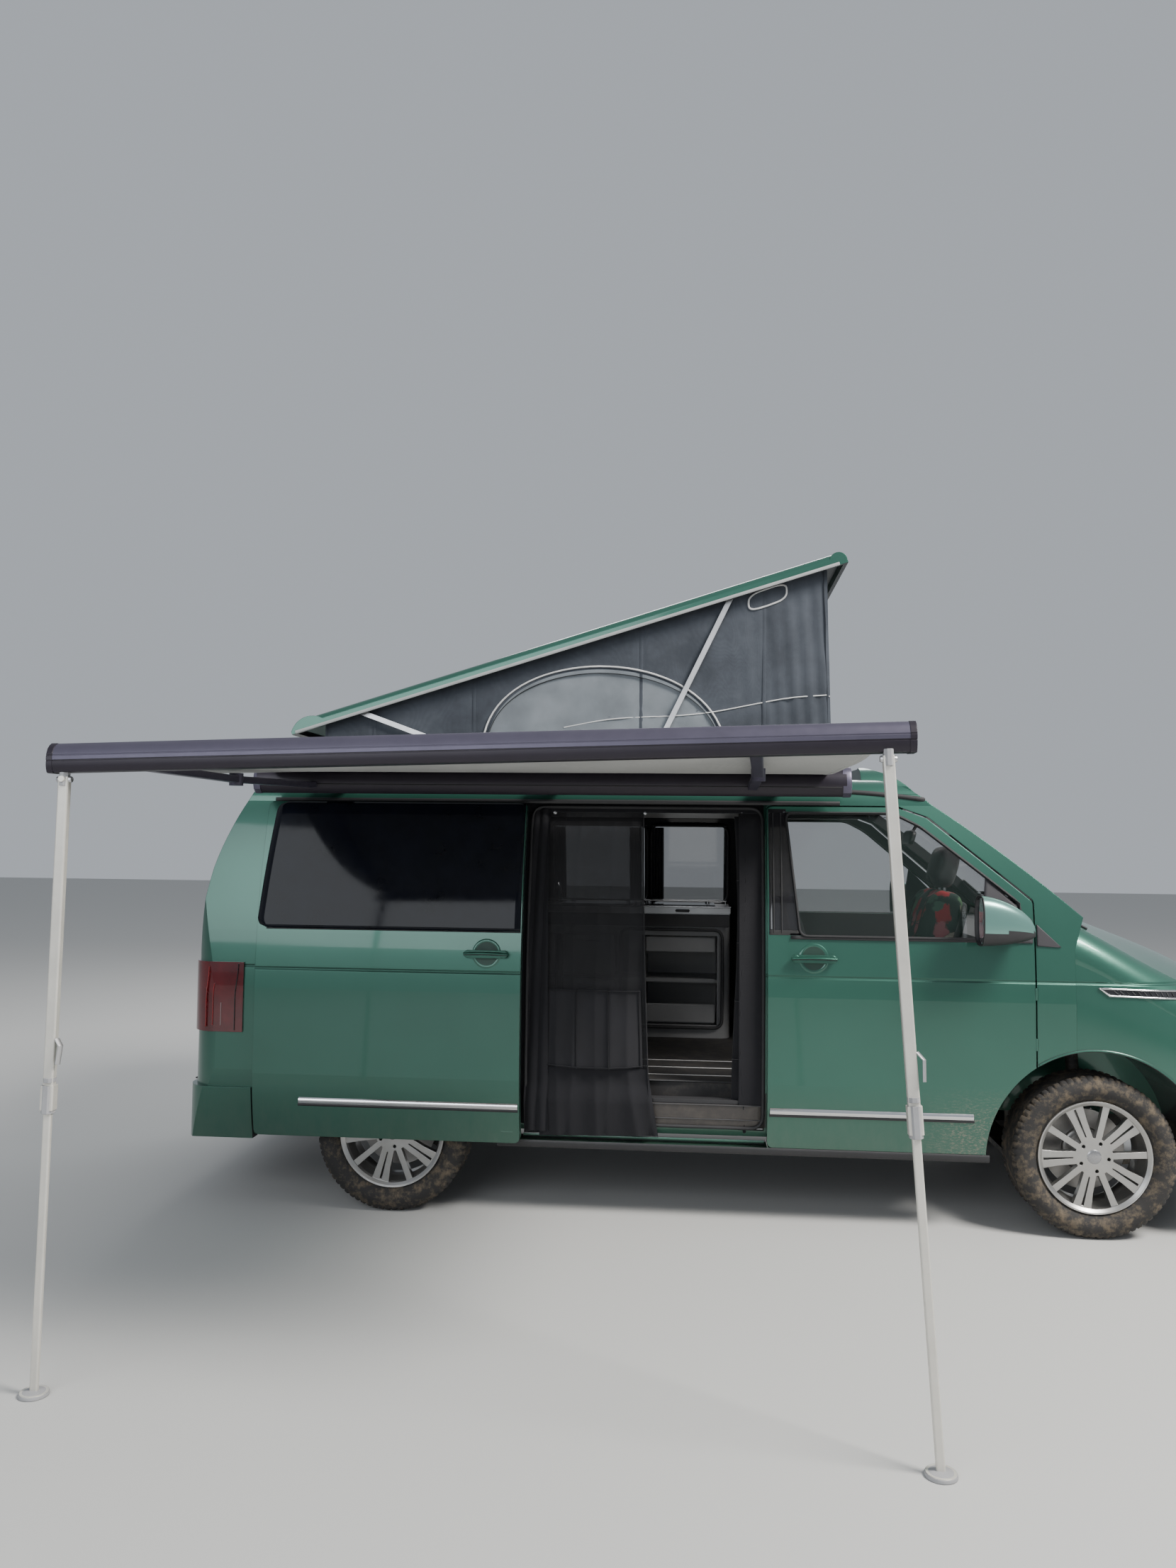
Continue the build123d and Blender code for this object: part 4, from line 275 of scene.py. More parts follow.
def new(nt, kind, **values):
    """A node with its properties or input values set."""
    n = nt.nodes.new(kind)
    for k, v in values.items():
        if hasattr(n, k):
            setattr(n, k, v)
        else:
            n.inputs[k].default_value = v
    return n


def noise_tex(nt, scale, detail=4.0, rough=0.5, stretch=(1, 1, 1)):
    """Noise in the object's own coordinates."""
    co = new(nt, "ShaderNodeTexCoord")
    mp = new(nt, "ShaderNodeMapping")
    mp.inputs["Scale"].default_value = stretch
    nt.links.new(co.outputs["Object"], mp.inputs["Vector"])
    n = new(nt, "ShaderNodeTexNoise")
    n.inputs["Scale"].default_value = scale
    n.inputs["Detail"].default_value = detail
    n.inputs["Roughness"].default_value = rough
    nt.links.new(mp.outputs["Vector"], n.inputs["Vector"])
    return n


def ramp(nt, source, stops):
    """A colour ramp over a source."""
    r = new(nt, "ShaderNodeValToRGB")
    els = r.color_ramp.elements
    while len(els) < len(stops):
        els.new(0.5)
    for e, (pos, col) in zip(els, stops):
        e.position = pos
        e.color = col if len(col) == 4 else (*col, 1)
    nt.links.new(source, r.inputs["Fac"])
    return r


def axis_of(nt, axis):
    """One coordinate of the object."""
    co = new(nt, "ShaderNodeTexCoord")
    sp = new(nt, "ShaderNodeSeparateXYZ")
    nt.links.new(co.outputs["Object"], sp.inputs["Vector"])
    return sp.outputs[axis]


def math_node(nt, op, a, b=None, c=None):
    n = new(nt, "ShaderNodeMath", operation=op)
    for i, v in enumerate((a, b, c)):
        if v is None:
            continue
        if isinstance(v, (int, float)):
            n.inputs[i].default_value = v
        else:
            nt.links.new(v, n.inputs[i])
    return n.outputs[0]


def times(nt, a, b):
    return math_node(nt, "MULTIPLY", a, b)


def plus(nt, a, b):
    return math_node(nt, "ADD", a, b)


def minus(nt, a, b):
    return math_node(nt, "SUBTRACT", a, b)


def above(nt, a, b):
    return math_node(nt, "GREATER_THAN", a, b)


def below(nt, a, b):
    return math_node(nt, "LESS_THAN", a, b)


def larger(nt, a, b):
    return math_node(nt, "MAXIMUM", a, b)


def shade(color, factor):
    """A colour made darker or lighter."""
    return tuple(min(c * factor, 1) for c in color)


def mix_rgb(nt, fac, a, b, mode="MIX"):
    n = new(nt, "ShaderNodeMix", data_type="RGBA", blend_type=mode)
    for sock, v in ((n.inputs[0], fac), (n.inputs[6], a), (n.inputs[7], b)):
        if isinstance(v, (int, float)):
            sock.default_value = v
        elif isinstance(v, tuple):
            sock.default_value = v if len(v) == 4 else (*v, 1)
        else:
            nt.links.new(v, sock)
    return n.outputs[2]


def bump(nt, bsdf, height, strength, distance=0.002, normal=None):
    b = new(nt, "ShaderNodeBump")
    b.inputs["Strength"].default_value = strength
    b.inputs["Distance"].default_value = distance
    nt.links.new(height, b.inputs["Height"])
    if normal is not None:
        nt.links.new(normal, b.inputs["Normal"])
    nt.links.new(b.outputs["Normal"], bsdf.inputs["Normal"])
    return b.outputs["Normal"]


def rounded(nt, radius):
    b = new(nt, "ShaderNodeBevel", samples=4)
    b.inputs["Radius"].default_value = radius
    return b.outputs["Normal"]


def window(nt, value, lo, hi, edge):
    """One between lo and hi, fading to nothing over the edge width."""
    a = new(nt, "ShaderNodeMapRange", interpolation_type="SMOOTHSTEP")
    a.inputs["From Min"].default_value = lo - edge
    a.inputs["From Max"].default_value = lo + edge
    nt.links.new(value, a.inputs["Value"])
    b = new(nt, "ShaderNodeMapRange", interpolation_type="SMOOTHSTEP")
    b.inputs["From Min"].default_value = hi - edge
    b.inputs["From Max"].default_value = hi + edge
    b.inputs["To Min"].default_value = 1
    b.inputs["To Max"].default_value = 0
    nt.links.new(value, b.inputs["Value"])
    return times(nt, a.outputs[0], b.outputs[0])


def paint(name, base=(0.030, 0.112, 0.082), grooved=True):
    """Metallic green lacquer with flakes, a pressed groove at waist height, and road dust low down."""
    m, nt, b = nodes_of(name)
    cloud = noise_tex(nt, 1.6, 3)
    tone = ramp(nt, cloud.outputs["Fac"], ((0.3, shade(base, 0.93)), (0.75, shade(base, 1.08))))
    z = axis_of(nt, "Z")
    x = axis_of(nt, "X")
    low = new(nt, "ShaderNodeMapRange")
    low.inputs["From Min"].default_value = 0.30
    low.inputs["From Max"].default_value = 0.62
    low.inputs["To Min"].default_value = 1
    low.inputs["To Max"].default_value = 0
    nt.links.new(z, low.inputs["Value"])
    grit = noise_tex(nt, 26, 8, 0.7, (1, 1, 0.35))
    film = times(nt, low.outputs[0], times(nt, grit.outputs["Fac"], 0.26))
    spray_zone = times(nt, window(nt, x, AXLE - 0.62, AXLE - 0.3, 0.14), window(nt, z, 0.2, 0.52, 0.13))
    spots = noise_tex(nt, 95, 6, 0.75, (0.7, 1, 1.7))
    spots_r = ramp(nt, spots.outputs["Fac"], ((0.5, (0, 0, 0)), (0.62, (1, 1, 1))))
    spray = times(nt, spray_zone, spots_r.outputs["Color"])
    dirt = math_node(nt, "MINIMUM", plus(nt, film, times(nt, spray, 0.8)), 0.9)
    col = mix_rgb(nt, dirt, tone.outputs["Color"], (0.26, 0.235, 0.19))
    face = new(nt, "ShaderNodeSeparateXYZ")
    here = new(nt, "ShaderNodeTexCoord")
    nt.links.new(here.outputs["Normal"], face.inputs["Vector"])
    side_of = math_node(nt, "SIGN", minus(nt, axis_of(nt, "Y"), CENTRE))
    inward = times(nt, times(nt, face.outputs["Y"], side_of), -1.0)
    wide = above(nt, math_node(nt, "ABSOLUTE", minus(nt, axis_of(nt, "Y"), CENTRE)), 0.55)
    tall = above(nt, z, 0.36)
    mask_side = times(nt, times(nt, above(nt, inward, 0.55), wide), tall)
    mask_back = times(nt, above(nt, face.outputs["X"], 0.5), below(nt, x, AXLE - 3.5))
    mask_roof = times(nt, below(nt, face.outputs["Z"], -0.4), below(nt, x, AXLE - 0.5))
    trim = larger(nt, larger(nt, mask_side, mask_back), mask_roof)
    flat_side = below(nt, math_node(nt, "ABSOLUTE", face.outputs["Y"]), 0.62)
    for axle_x in (AXLE, AXLE - WHEELBASE):
        dx = math_node(nt, "POWER", math_node(nt, "ABSOLUTE", minus(nt, x, axle_x)), 2.0)
        dz = math_node(nt, "POWER", math_node(nt, "ABSOLUTE", minus(nt, z, WHEEL_Z)), 2.0)
        near = below(nt, plus(nt, dx, dz), PAINTED_ARCH**2)
        trim = larger(nt, trim, times(nt, near, flat_side))
    y_of = axis_of(nt, "Y")
    sill = times(nt, window(nt, x, AXLE - 2.47, AXLE - 1.362, 0.001), window(nt, z, 0.405, 0.56, 0.001))
    sill = times(nt, sill, below(nt, y_of, CENTRE - 0.5))
    trim = larger(nt, trim, times(nt, sill, above(nt, y_of, CENTRE - 0.9335)))
    under = times(nt, below(nt, face.outputs["Z"], -0.55), below(nt, z, 0.9))
    trim = larger(nt, trim, under)
    col = mix_rgb(nt, trim, col, (0.018, 0.018, 0.021))
    nt.links.new(col, b.inputs["Base Color"])
    nt.links.new(times(nt, minus(nt, 1.0, trim), 0.55), b.inputs["Metallic"])
    b.inputs["Coat Weight"].default_value = 0.55
    b.inputs["Coat Roughness"].default_value = 0.06
    rough = plus(nt, 0.3, times(nt, larger(nt, dirt, trim), 0.5))
    nt.links.new(rough, b.inputs["Roughness"])
    edge = rounded(nt, 0.004)
    peel = noise_tex(nt, 60, 2)
    n1 = bump(nt, b, peel.outputs["Fac"], 0.025, 0.002, edge)
    if grooved:
        groove = window(nt, z, 1.0605, 1.0695, 0.0045)
        inv = minus(nt, 1.0, groove)
        n1 = bump(nt, b, inv, 0.9, 0.006, n1)
    flakes = new(nt, "ShaderNodeTexVoronoi")
    flakes.inputs["Scale"].default_value = 1300
    co = new(nt, "ShaderNodeTexCoord")
    nt.links.new(co.outputs["Object"], flakes.inputs["Vector"])
    bump(nt, b, flakes.outputs["Distance"], 0.04, 0.0006, n1)
    return m


def plain(name, color, rough, metal=0.0, grain=0.0, grain_scale=300, vary=0.12, edge=0.002, coat=0.0,
          dust=0.0):
    """A moulded or metal finish with fine grain, patchy tone and an optional film of dust."""
    m, nt, b = nodes_of(name)
    cloud = noise_tex(nt, 9, 5, 0.6)
    tone = ramp(nt, cloud.outputs["Fac"], ((0.3, shade(color, 1 - vary)), (0.7, shade(color, 1 + vary))))
    source = tone.outputs["Color"]
    if dust:
        d = noise_tex(nt, 14, 8, 0.7)
        dr = ramp(nt, d.outputs["Fac"], ((0.45, (0, 0, 0)), (0.75, (dust, dust, dust))))
        source = mix_rgb(nt, dr.outputs["Color"], source, (0.3, 0.26, 0.2))
    nt.links.new(source, b.inputs["Base Color"])
    b.inputs["Metallic"].default_value = metal
    b.inputs["Coat Weight"].default_value = coat
    wear = noise_tex(nt, 35, 6, 0.65)
    mr = new(nt, "ShaderNodeMapRange")
    mr.inputs["To Min"].default_value = max(rough - 0.08, 0.02)
    mr.inputs["To Max"].default_value = min(rough + 0.1, 1)
    nt.links.new(wear.outputs["Fac"], mr.inputs["Value"])
    nt.links.new(mr.outputs[0], b.inputs["Roughness"])
    normal = rounded(nt, edge) if edge else None
    if grain:
        g = noise_tex(nt, grain_scale, 3, 0.6)
        bump(nt, b, g.outputs["Fac"], grain, 0.001, normal)
    elif normal is not None:
        nt.links.new(normal, b.inputs["Normal"])
    return m


def woven(name, color, thread=420, rough=0.9, strength=0.35, stain=0.1, sheen=0.06, clear=0.0, second=None):
    """Cloth: crossed threads in the bump, faint stains and creases."""
    m, nt, b = nodes_of(name)
    co = new(nt, "ShaderNodeTexCoord")
    waves = []
    for direction in ("X", "Z"):
        w = new(nt, "ShaderNodeTexWave", bands_direction=direction)
        w.inputs["Scale"].default_value = thread
        w.inputs["Distortion"].default_value = 0.4
        nt.links.new(co.outputs["Object"], w.inputs["Vector"])
        waves.append(w.outputs["Fac"])
    w = new(nt, "ShaderNodeTexWave", bands_direction="Y")
    w.inputs["Scale"].default_value = thread
    nt.links.new(co.outputs["Object"], w.inputs["Vector"])
    weave = plus(nt, times(nt, waves[0], waves[1]), times(nt, w.outputs["Fac"], 0.5))
    cloud = noise_tex(nt, 5, 6, 0.6)
    tone = ramp(nt, cloud.outputs["Fac"], ((0.3, shade(color, 1 - stain)),
                                           (0.72, shade(second or color, 1 + stain))))
    dark = mix_rgb(nt, times(nt, weave, 0.35), tone.outputs["Color"], shade(color, 0.7))
    nt.links.new(dark, b.inputs["Base Color"])
    b.inputs["Roughness"].default_value = rough
    b.inputs["Sheen Weight"].default_value = sheen
    crease = noise_tex(nt, 22, 5, 0.6)
    n1 = bump(nt, b, crease.outputs["Fac"], 0.25, 0.006)
    bump(nt, b, weave, strength, 0.0006, n1)
    if clear:
        b.inputs["Alpha"].default_value = 1 - clear
    return m


def mesh_net(name, color, scale=260, hole=0.5):
    """Fine netting: a grid of threads with open holes."""
    m, nt, b = nodes_of(name)
    x = axis_of(nt, "X")
    z = axis_of(nt, "Z")
    lines = []
    for v in (x, z):
        f = math_node(nt, "FRACT", times(nt, v, scale))
        lines.append(below(nt, f, 1 - hole))
    a = larger(nt, lines[0], lines[1])
    nt.links.new(a, b.inputs["Alpha"])
    cloud = noise_tex(nt, 7, 4)
    tone = ramp(nt, cloud.outputs["Fac"], ((0.3, shade(color, 0.8)), (0.7, shade(color, 1.2))))
    nt.links.new(tone.outputs["Color"], b.inputs["Base Color"])
    b.inputs["Roughness"].default_value = 0.85
    return m


def glass(name, tint, alpha, rough=0.02):
    """Car glass as a thin tinted pane with faint smears."""
    m, nt, b = nodes_of(name)
    b.inputs["Base Color"].default_value = (*tint, 1)
    b.inputs["IOR"].default_value = 1.5
    b.inputs["Specular IOR Level"].default_value = 0.8
    b.inputs["Coat Weight"].default_value = 0.25
    b.inputs["Coat Roughness"].default_value = 0.01
    smear = noise_tex(nt, 12, 6, 0.7)
    mr = new(nt, "ShaderNodeMapRange")
    mr.inputs["To Min"].default_value = rough
    mr.inputs["To Max"].default_value = rough + 0.07
    nt.links.new(smear.outputs["Fac"], mr.inputs["Value"])
    nt.links.new(mr.outputs[0], b.inputs["Roughness"])
    b.inputs["Alpha"].default_value = alpha
    return m


PAINT = paint("green_lacquer")
PAINT_PLAIN = paint("green_lacquer_roof", grooved=False)
CLEAR = glass("clear_pane", (0.02, 0.035, 0.03), 0.16)
PRIVACY = glass("privacy_pane", (0.006, 0.008, 0.012), 0.97)
PRIVACY_GLOSS = plain("flush_black_glass", (0.004, 0.005, 0.009), 0.06, vary=0.3, edge=0.001)
PRIVACY_GLOSS.node_tree.nodes["Principled BSDF"].inputs["Specular IOR Level"].default_value = 0.18
TINTED = glass("tinted_pane", (0.05, 0.07, 0.065), 0.42)
SCREEN = glass("windscreen_pane", (0.02, 0.03, 0.03), 0.2)
LENS = glass("lamp_lens", (0.035, 0.038, 0.044), 0.95)
LAMP_INNER = plain("lamp_inner", (0.05, 0.05, 0.055), 0.3, metal=0.4, vary=0.05)
DAYLIGHT = plain("daylight_guide", (0.75, 0.77, 0.80), 0.15, coat=0.8, vary=0.02)
PLATE = plain("blank_plate", (0.62, 0.62, 0.60), 0.35, vary=0.03)
TUBE_RED = plain("red_tube", (0.30, 0.012, 0.016), 0.12, coat=0.8, vary=0.1)
TUBE_CLEAR = plain("clear_tube", (0.32, 0.22, 0.22), 0.12, coat=0.8, vary=0.05)
LEATHER = plain("grip_leather", (0.022, 0.022, 0.023), 0.45, grain=0.35, grain_scale=260)
RED = plain("red_lens", (0.085, 0.004, 0.007), 0.08, coat=0.7, vary=0.35)
BLACK = plain("grained_black", (0.018, 0.018, 0.02), 0.5, grain=0.25, grain_scale=420)
GLOSS_BLACK = plain("gloss_black", (0.012, 0.012, 0.014), 0.12, coat=0.6)
RUBBER = plain("seal_rubber", (0.02, 0.02, 0.022), 0.7, grain=0.15)
CHROME = plain("bright_strip", (0.75, 0.75, 0.76), 0.12, metal=1.0, vary=0.03)
STEEL = plain("flat_bar_steel", (0.5, 0.5, 0.51), 0.35, metal=0.9, vary=0.1, grain=0.08)
IRON = plain("coated_iron", (0.045, 0.043, 0.042), 0.6, metal=0.3, grain=0.4, grain_scale=160, dust=0.6)
DISC = plain("disc_steel", (0.3, 0.29, 0.28), 0.35, metal=0.9, vary=0.2)
ALLOY = plain("silver_alloy", (0.40, 0.395, 0.385), 0.30, metal=0.9, coat=0.25, vary=0.08, edge=0.003,
              dust=0.2)
AWN_DARK = plain("dark_anodised", (0.016, 0.012, 0.020), 0.38, metal=0.25, vary=0.08)
AWN_SILVER = plain("silver_anodised", (0.085, 0.078, 0.112), 0.40, metal=0.6, vary=0.06)
AWN_LEG = plain("pale_leg_metal", (0.62, 0.6, 0.55), 0.38, metal=0.45, vary=0.07, grain=0.05)
GREY_PLASTIC = plain("grey_plastic", (0.3, 0.3, 0.31), 0.5, grain=0.2)
FLOORING = plain("ribbed_floor", (0.022, 0.021, 0.022), 0.6, grain=0.3, grain_scale=90, dust=0.15)
BOARD = plain("light_board", (0.26, 0.26, 0.265), 0.35, grain=0.06, vary=0.04)
TRIM_GREY = plain("trim_grey", (0.05, 0.05, 0.053), 0.6, grain=0.3)
DASH = plain("dash_plastic", (0.03, 0.03, 0.033), 0.55, grain=0.4, grain_scale=500)
TENT = woven("slate_canvas", (0.034, 0.041, 0.054), thread=520, strength=0.3, stain=0.2,
             second=(0.05, 0.058, 0.072))
PIPING = plain("pale_piping", (0.52, 0.52, 0.52), 0.6, grain=0.2)
CANOPY = woven("coated_canopy", (0.4, 0.4, 0.39), thread=600, strength=0.12, stain=0.05, rough=0.7,
               sheen=0.05)
NET = mesh_net("black_net", (0.006, 0.006, 0.008), 330, 0.36)
WINDOW_NET = mesh_net("window_net", (0.16, 0.18, 0.2), 420, 0.34)
SEAT = woven("seat_weave", (0.05, 0.052, 0.058), thread=260, strength=0.5, stain=0.12)
STEP_BROWN = plain("step_brown", (0.045, 0.040, 0.038), 0.5, grain=0.3, grain_scale=120, dust=0.12)
TRIM_PALE = plain("pale_grey_trim", (0.30, 0.31, 0.31), 0.5, grain=0.15)
POCKET = mesh_net("pocket_net", (0.009, 0.009, 0.012), 520, 0.10)
CURTAIN = woven("grey_curtain", (0.045, 0.047, 0.052), thread=380, strength=0.3)
WORKTOP_RAIL = plain("worktop_edging", (0.50, 0.51, 0.52), 0.3, metal=0.5, vary=0.05)
CHROME_SOFT = plain("satin_chrome", (0.62, 0.62, 0.63), 0.22, metal=1.0, vary=0.04)
CLOTH_BLACK = woven("black_hem", (0.005, 0.005, 0.008), thread=400, strength=0.3)
# A darker green for the flat dish of each door handle, standing in for the shade in the recess: painted shade.
RECESS_SHADE = plain("painted_recess_shade", (0.02, 0.05, 0.038), 0.45, metal=0.3)
# A lighter copy of the body's green lacquer for the mirror shell: painted light.
MIRROR_LIT_PAINT = paint("mirror_lacquer", base=(0.13, 0.27, 0.24), grooved=False)
SAIL = plain("sail_plastic", (0.030, 0.028, 0.033), 0.55, grain=0.2)
MIRROR_GLASS = plain("mirror_silver", (0.8, 0.82, 0.84), 0.03, metal=1.0, vary=0.01, edge=0)
SEAT_EDGE = woven("seat_side", (0.028, 0.029, 0.032), thread=420, strength=0.3)

MATERIAL_FOR = {"body_paint": PAINT, "clear_glass": CLEAR, "dark_glass": PRIVACY, "lamp_glass": LENS,
                "lamp_red": RED, "black_plastic": BLACK, "floor_covering": FLOORING, "alloy": ALLOY,
                "cast_metal": IRON, "exhaust_steel": IRON, "seat_fabric": SEAT, "cabinet_board": BOARD,
                "steel_bar": STEEL, "tent_cloth": TENT, "awning_shell": AWN_DARK, "awning_cloth": CANOPY,
                "awning_metal": AWN_LEG, "screen_mesh": NET}


def tyre_rubber():
    """Black rubber with patches of worn brown mud."""
    m, nt, b = nodes_of("muddy_rubber")
    mud = noise_tex(nt, 24, 8, 0.7)
    mask = ramp(nt, mud.outputs["Fac"], ((0.47, (0.04, 0.04, 0.04)), (0.66, (0.8, 0.8, 0.8))))
    col = mix_rgb(nt, mask.outputs["Color"], (0.014, 0.014, 0.015), (0.13, 0.10, 0.065))
    nt.links.new(col, b.inputs["Base Color"])
    b.inputs["Roughness"].default_value = 0.82
    bump(nt, b, mud.outputs["Fac"], 0.5, 0.004)
    return m


TYRE = tyre_rubber()
MATERIAL_FOR["tyre_rubber"] = TYRE

OWN = {"roof_lid": PAINT_PLAIN, "roof_frame": PAINT_PLAIN, "roof_cap": PAINT_PLAIN, "bonnet": PAINT_PLAIN,
       "windscreen": SCREEN, "dashboard": DASH, "front_bumper": PAINT_PLAIN, "grille": GLOSS_BLACK}
for entry in frame["record"]["subparts"]:
    obj = NODES.get(entry["node"])
    if obj is None:
        continue
    chosen = OWN.get(entry["node"], MATERIAL_FOR[entry["material_slot"]])
    obj.data.materials.clear()
    obj.data.materials.append(chosen)


# Mesh helpers
def obj_from(name, verts, faces, material, body, slot, smooth_angle=0.6):
    """A smooth-shaded piece with a material, riding on a body."""
    me = bpy.data.meshes.new(name)
    me.from_pydata([tuple(v) for v in verts], [], faces)
    me.validate()
    me.update()
    o = link(bpy.data.objects.new(name, me))
    me.materials.append(material)
    smooth_shaded(me, smooth_angle)
    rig.ride(o, body)
    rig.slot(o, slot)
    return o


def smooth_shaded(mesh, angle):
    """Smooth faces, with edges sharper than the angle kept crisp."""
    for p in mesh.polygons:
        p.use_smooth = True
    mesh.set_sharp_from_angle(angle=angle)


def piece(name, form, material, slot="black_plastic", body="van_body", smooth_angle=0.9):
    """A piece from a form of vertices and faces; where nothing else is said it is dark trim of the body."""
    return obj_from(name, *form, material, body, slot, smooth_angle)


def cast(node, origin, direction):
    """Where a ray meets a CAD node, in the row frame, or None."""
    o = NODES[node]
    inv = o.matrix_world.inverted()
    ok, place, _, _ = o.ray_cast(inv @ origin, (inv.to_3x3() @ direction).normalized())
    return o.matrix_world @ place if ok else None


def add_mod(o, kind, **values):
    md = o.modifiers.new(kind.lower(), kind)
    for k, v in values.items():
        setattr(md, k, v)
    return md


def bake(o):
    """Apply the modifiers."""
    deps = bpy.context.evaluated_depsgraph_get()
    me = bpy.data.meshes.new_from_object(o.evaluated_get(deps))
    o.modifiers.clear()
    o.data = me
    return o


def thicken(o, thickness, offset=0):
    """Give a sheet its thickness."""
    add_mod(o, "SOLIDIFY", thickness=thickness, offset=offset)
    bake(o)


def grid(nu, nv, fn):
    """Vertices and faces of a sheet of nu by nv points."""
    verts = [fn(i / (nu - 1), j / (nv - 1)) for j in range(nv) for i in range(nu)]
    faces = [(j * nu + i, j * nu + i + 1, (j + 1) * nu + i + 1, (j + 1) * nu + i) for j in range(nv - 1)
             for i in range(nu - 1)]
    return verts, faces


def tube(points, radius, sides=8, closed=False, flat=None):
    """Vertices and faces of a tube along points, round or flattened to (width, height)."""
    n = len(points)
    verts, faces = [], []
    prev = None
    for i, p in enumerate(points):
        a = points[(i - 1) % n] if (closed or i > 0) else p
        c = points[(i + 1) % n] if (closed or i < n - 1) else p
        t = (Vector(c) - Vector(a)).normalized()
        ref = Vector((0, 0, 1)) if abs(t.z) < 0.9 else Vector((1, 0, 0))
        if prev is not None:
            ref = prev
        s = t.cross(ref).normalized()
        q = s.cross(t).normalized()
        prev = q
        for k in range(sides):
            ang = 2 * math.pi * (k + 0.5) / sides
            w, h = flat if flat else (radius, radius)
            verts.append(Vector(p) + s * math.cos(ang) * w + q * math.sin(ang) * h)
    rows = n if closed else n - 1
    for i in range(rows):
        for k in range(sides):
            a = i * sides + k
            b2 = i * sides + (k + 1) % sides
            c = ((i + 1) % n) * sides + (k + 1) % sides
            d = ((i + 1) % n) * sides + k
            faces.append((a, b2, c, d))
    if not closed:
        faces.append(tuple(range(sides - 1, -1, -1)))
        faces.append(tuple(range((n - 1) * sides, n * sides)))
    return verts, faces


def joined(parts):
    """Several forms as one."""
    verts, faces = [], []
    for v, f in parts:
        base = len(verts)
        verts += list(v)
        faces += [tuple(i + base for i in q) for q in f]
    return verts, faces


def cuboid(lo, hi, chamfer=0.0):
    """A box with all its edges chamfered, as vertices and faces."""
    bm = bmesh.new()
    bmesh.ops.create_cube(bm, size=1)
    size = Vector(hi) - Vector(lo)
    mid = (Vector(hi) + Vector(lo)) / 2
    for v in bm.verts:
        v.co = Vector((v.co.x * size.x, v.co.y * size.y, v.co.z * size.z)) + mid
    if chamfer:
        bmesh.ops.bevel(bm, geom=bm.edges[:], offset=chamfer, segments=2, affect="EDGES",
                        clamp_overlap=True)
    bm.verts.index_update()
    out = [v.co.copy() for v in bm.verts], [tuple(v.index for v in f.verts) for f in bm.faces]
    bm.free()
    return out


def lathe(profile, centre, axis, turns=48, start=0.0, sweep=2 * math.pi):
    """Revolve (radius, along) points about an axis through centre."""
    axis = Vector(axis).normalized()
    ref = Vector((0, 0, 1)) if abs(axis.z) < 0.9 else Vector((1, 0, 0))
    e1 = axis.cross(ref).normalized()
    e2 = axis.cross(e1)
    verts, faces = [], []
    m = len(profile)
    for i in range(turns):
        a = start + sweep * i / turns
        d = e1 * math.cos(a) + e2 * math.sin(a)
        for rad, along in profile:
            verts.append(Vector(centre) + d * rad + axis * along)
    for i in range(turns):
        j = (i + 1) % turns
        for k in range(m - 1):
            faces.append((i * m + k, i * m + k + 1, j * m + k + 1, j * m + k))
    return verts, faces


def side_band(x0, x1, z0, z1, proud, hand, shift=(0, 0), steps=24, rows=5, foot=0.001):
    """A moulding on the body side between two heights, standing proud with a rounded section."""
    def outer(u, v):
        x = x0 + (x1 - x0) * u
        z = z0 + (z1 - z0) * v
        crown = math.sin(math.pi * clamp(v, 0.0, 1.0)) ** 0.5
        y = side_y(z) + foot + proud * crown
        return P(x + shift[0], hand * (y + shift[1]), z)
    return grid(steps, rows, outer)


def dress(node, material=None, width=0.002, segs=2, body=None, slot=None):
    """A finer copy of a CAD node with its edges rounded."""
    src = NODES[node]
    o = link(bpy.data.objects.new(node + "_dressed", src.data.copy()))
    if material:
        o.data.materials.clear()
        o.data.materials.append(material)
    add_mod(o, "BEVEL", width=width, segments=segs, limit_method="ANGLE", angle_limit=math.radians(38),
            harden_normals=False)
    bake(o)
    smooth_shaded(o.data, math.radians(40))
    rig.ride(o, body or src["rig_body"])
    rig.replaces(o, node)
    if slot:
        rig.slot(o, slot)
    return o


for o in NODES.values():
    smooth_shaded(o.data, math.radians(28))

# Floor and light
fl = link(bpy.data.objects.new("floor", bpy.data.meshes.new("floor")))
fl.data.from_pydata([(-40, -40, 0), (40, -40, 0), (40, 40, 0), (-40, 40, 0)], [], [(0, 1, 2, 3)])
fm, _, fb = nodes_of("pale_floor")
fb.inputs["Base Color"].default_value = (0.46, 0.46, 0.45, 1)
fb.inputs["Roughness"].default_value = 0.9
fl.data.materials.append(fm)
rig.stage(fl)

world = bpy.data.worlds.new("studio")
bpy.context.scene.world = world
world.use_nodes = True
bg = world.node_tree.nodes["Background"]
bg.inputs["Color"].default_value = (0.86, 0.92, 1.0, 1)
bg.inputs["Strength"].default_value = 0.5


def area(name, place, target, size, power, color=(1, 1, 1)):
    """A soft light from a rectangle."""
    d = bpy.data.lights.new(name, "AREA")
    d.shape = "RECTANGLE"
    d.size, d.size_y = size
    d.energy = power
    d.color = color
    o = link(bpy.data.objects.new(name, d))
    o.location = place
    o.rotation_euler = (Vector(target) - Vector(place)).to_track_quat("-Z", "Y").to_euler()
    return o


area("key", P(4.4, -4.6, 8.4), P(-0.9, 0, 1.2), (3.0, 3.0), 2100, (1.0, 0.97, 0.92))
area("fill", P(-4.5, -8.0, 3.6), P(-1.5, 0, 1.0), (5, 4), 240, (0.92, 0.96, 1.0))
area("back", P(-1.5, 6.5, 6.5), P(-1.5, 0, 1.2), (6, 4), 500)

# Wheels
def wheel_axis(x, hand):
    """The centre of a wheel."""
    return P(x, hand * WHEEL_Y, WHEEL_Z)


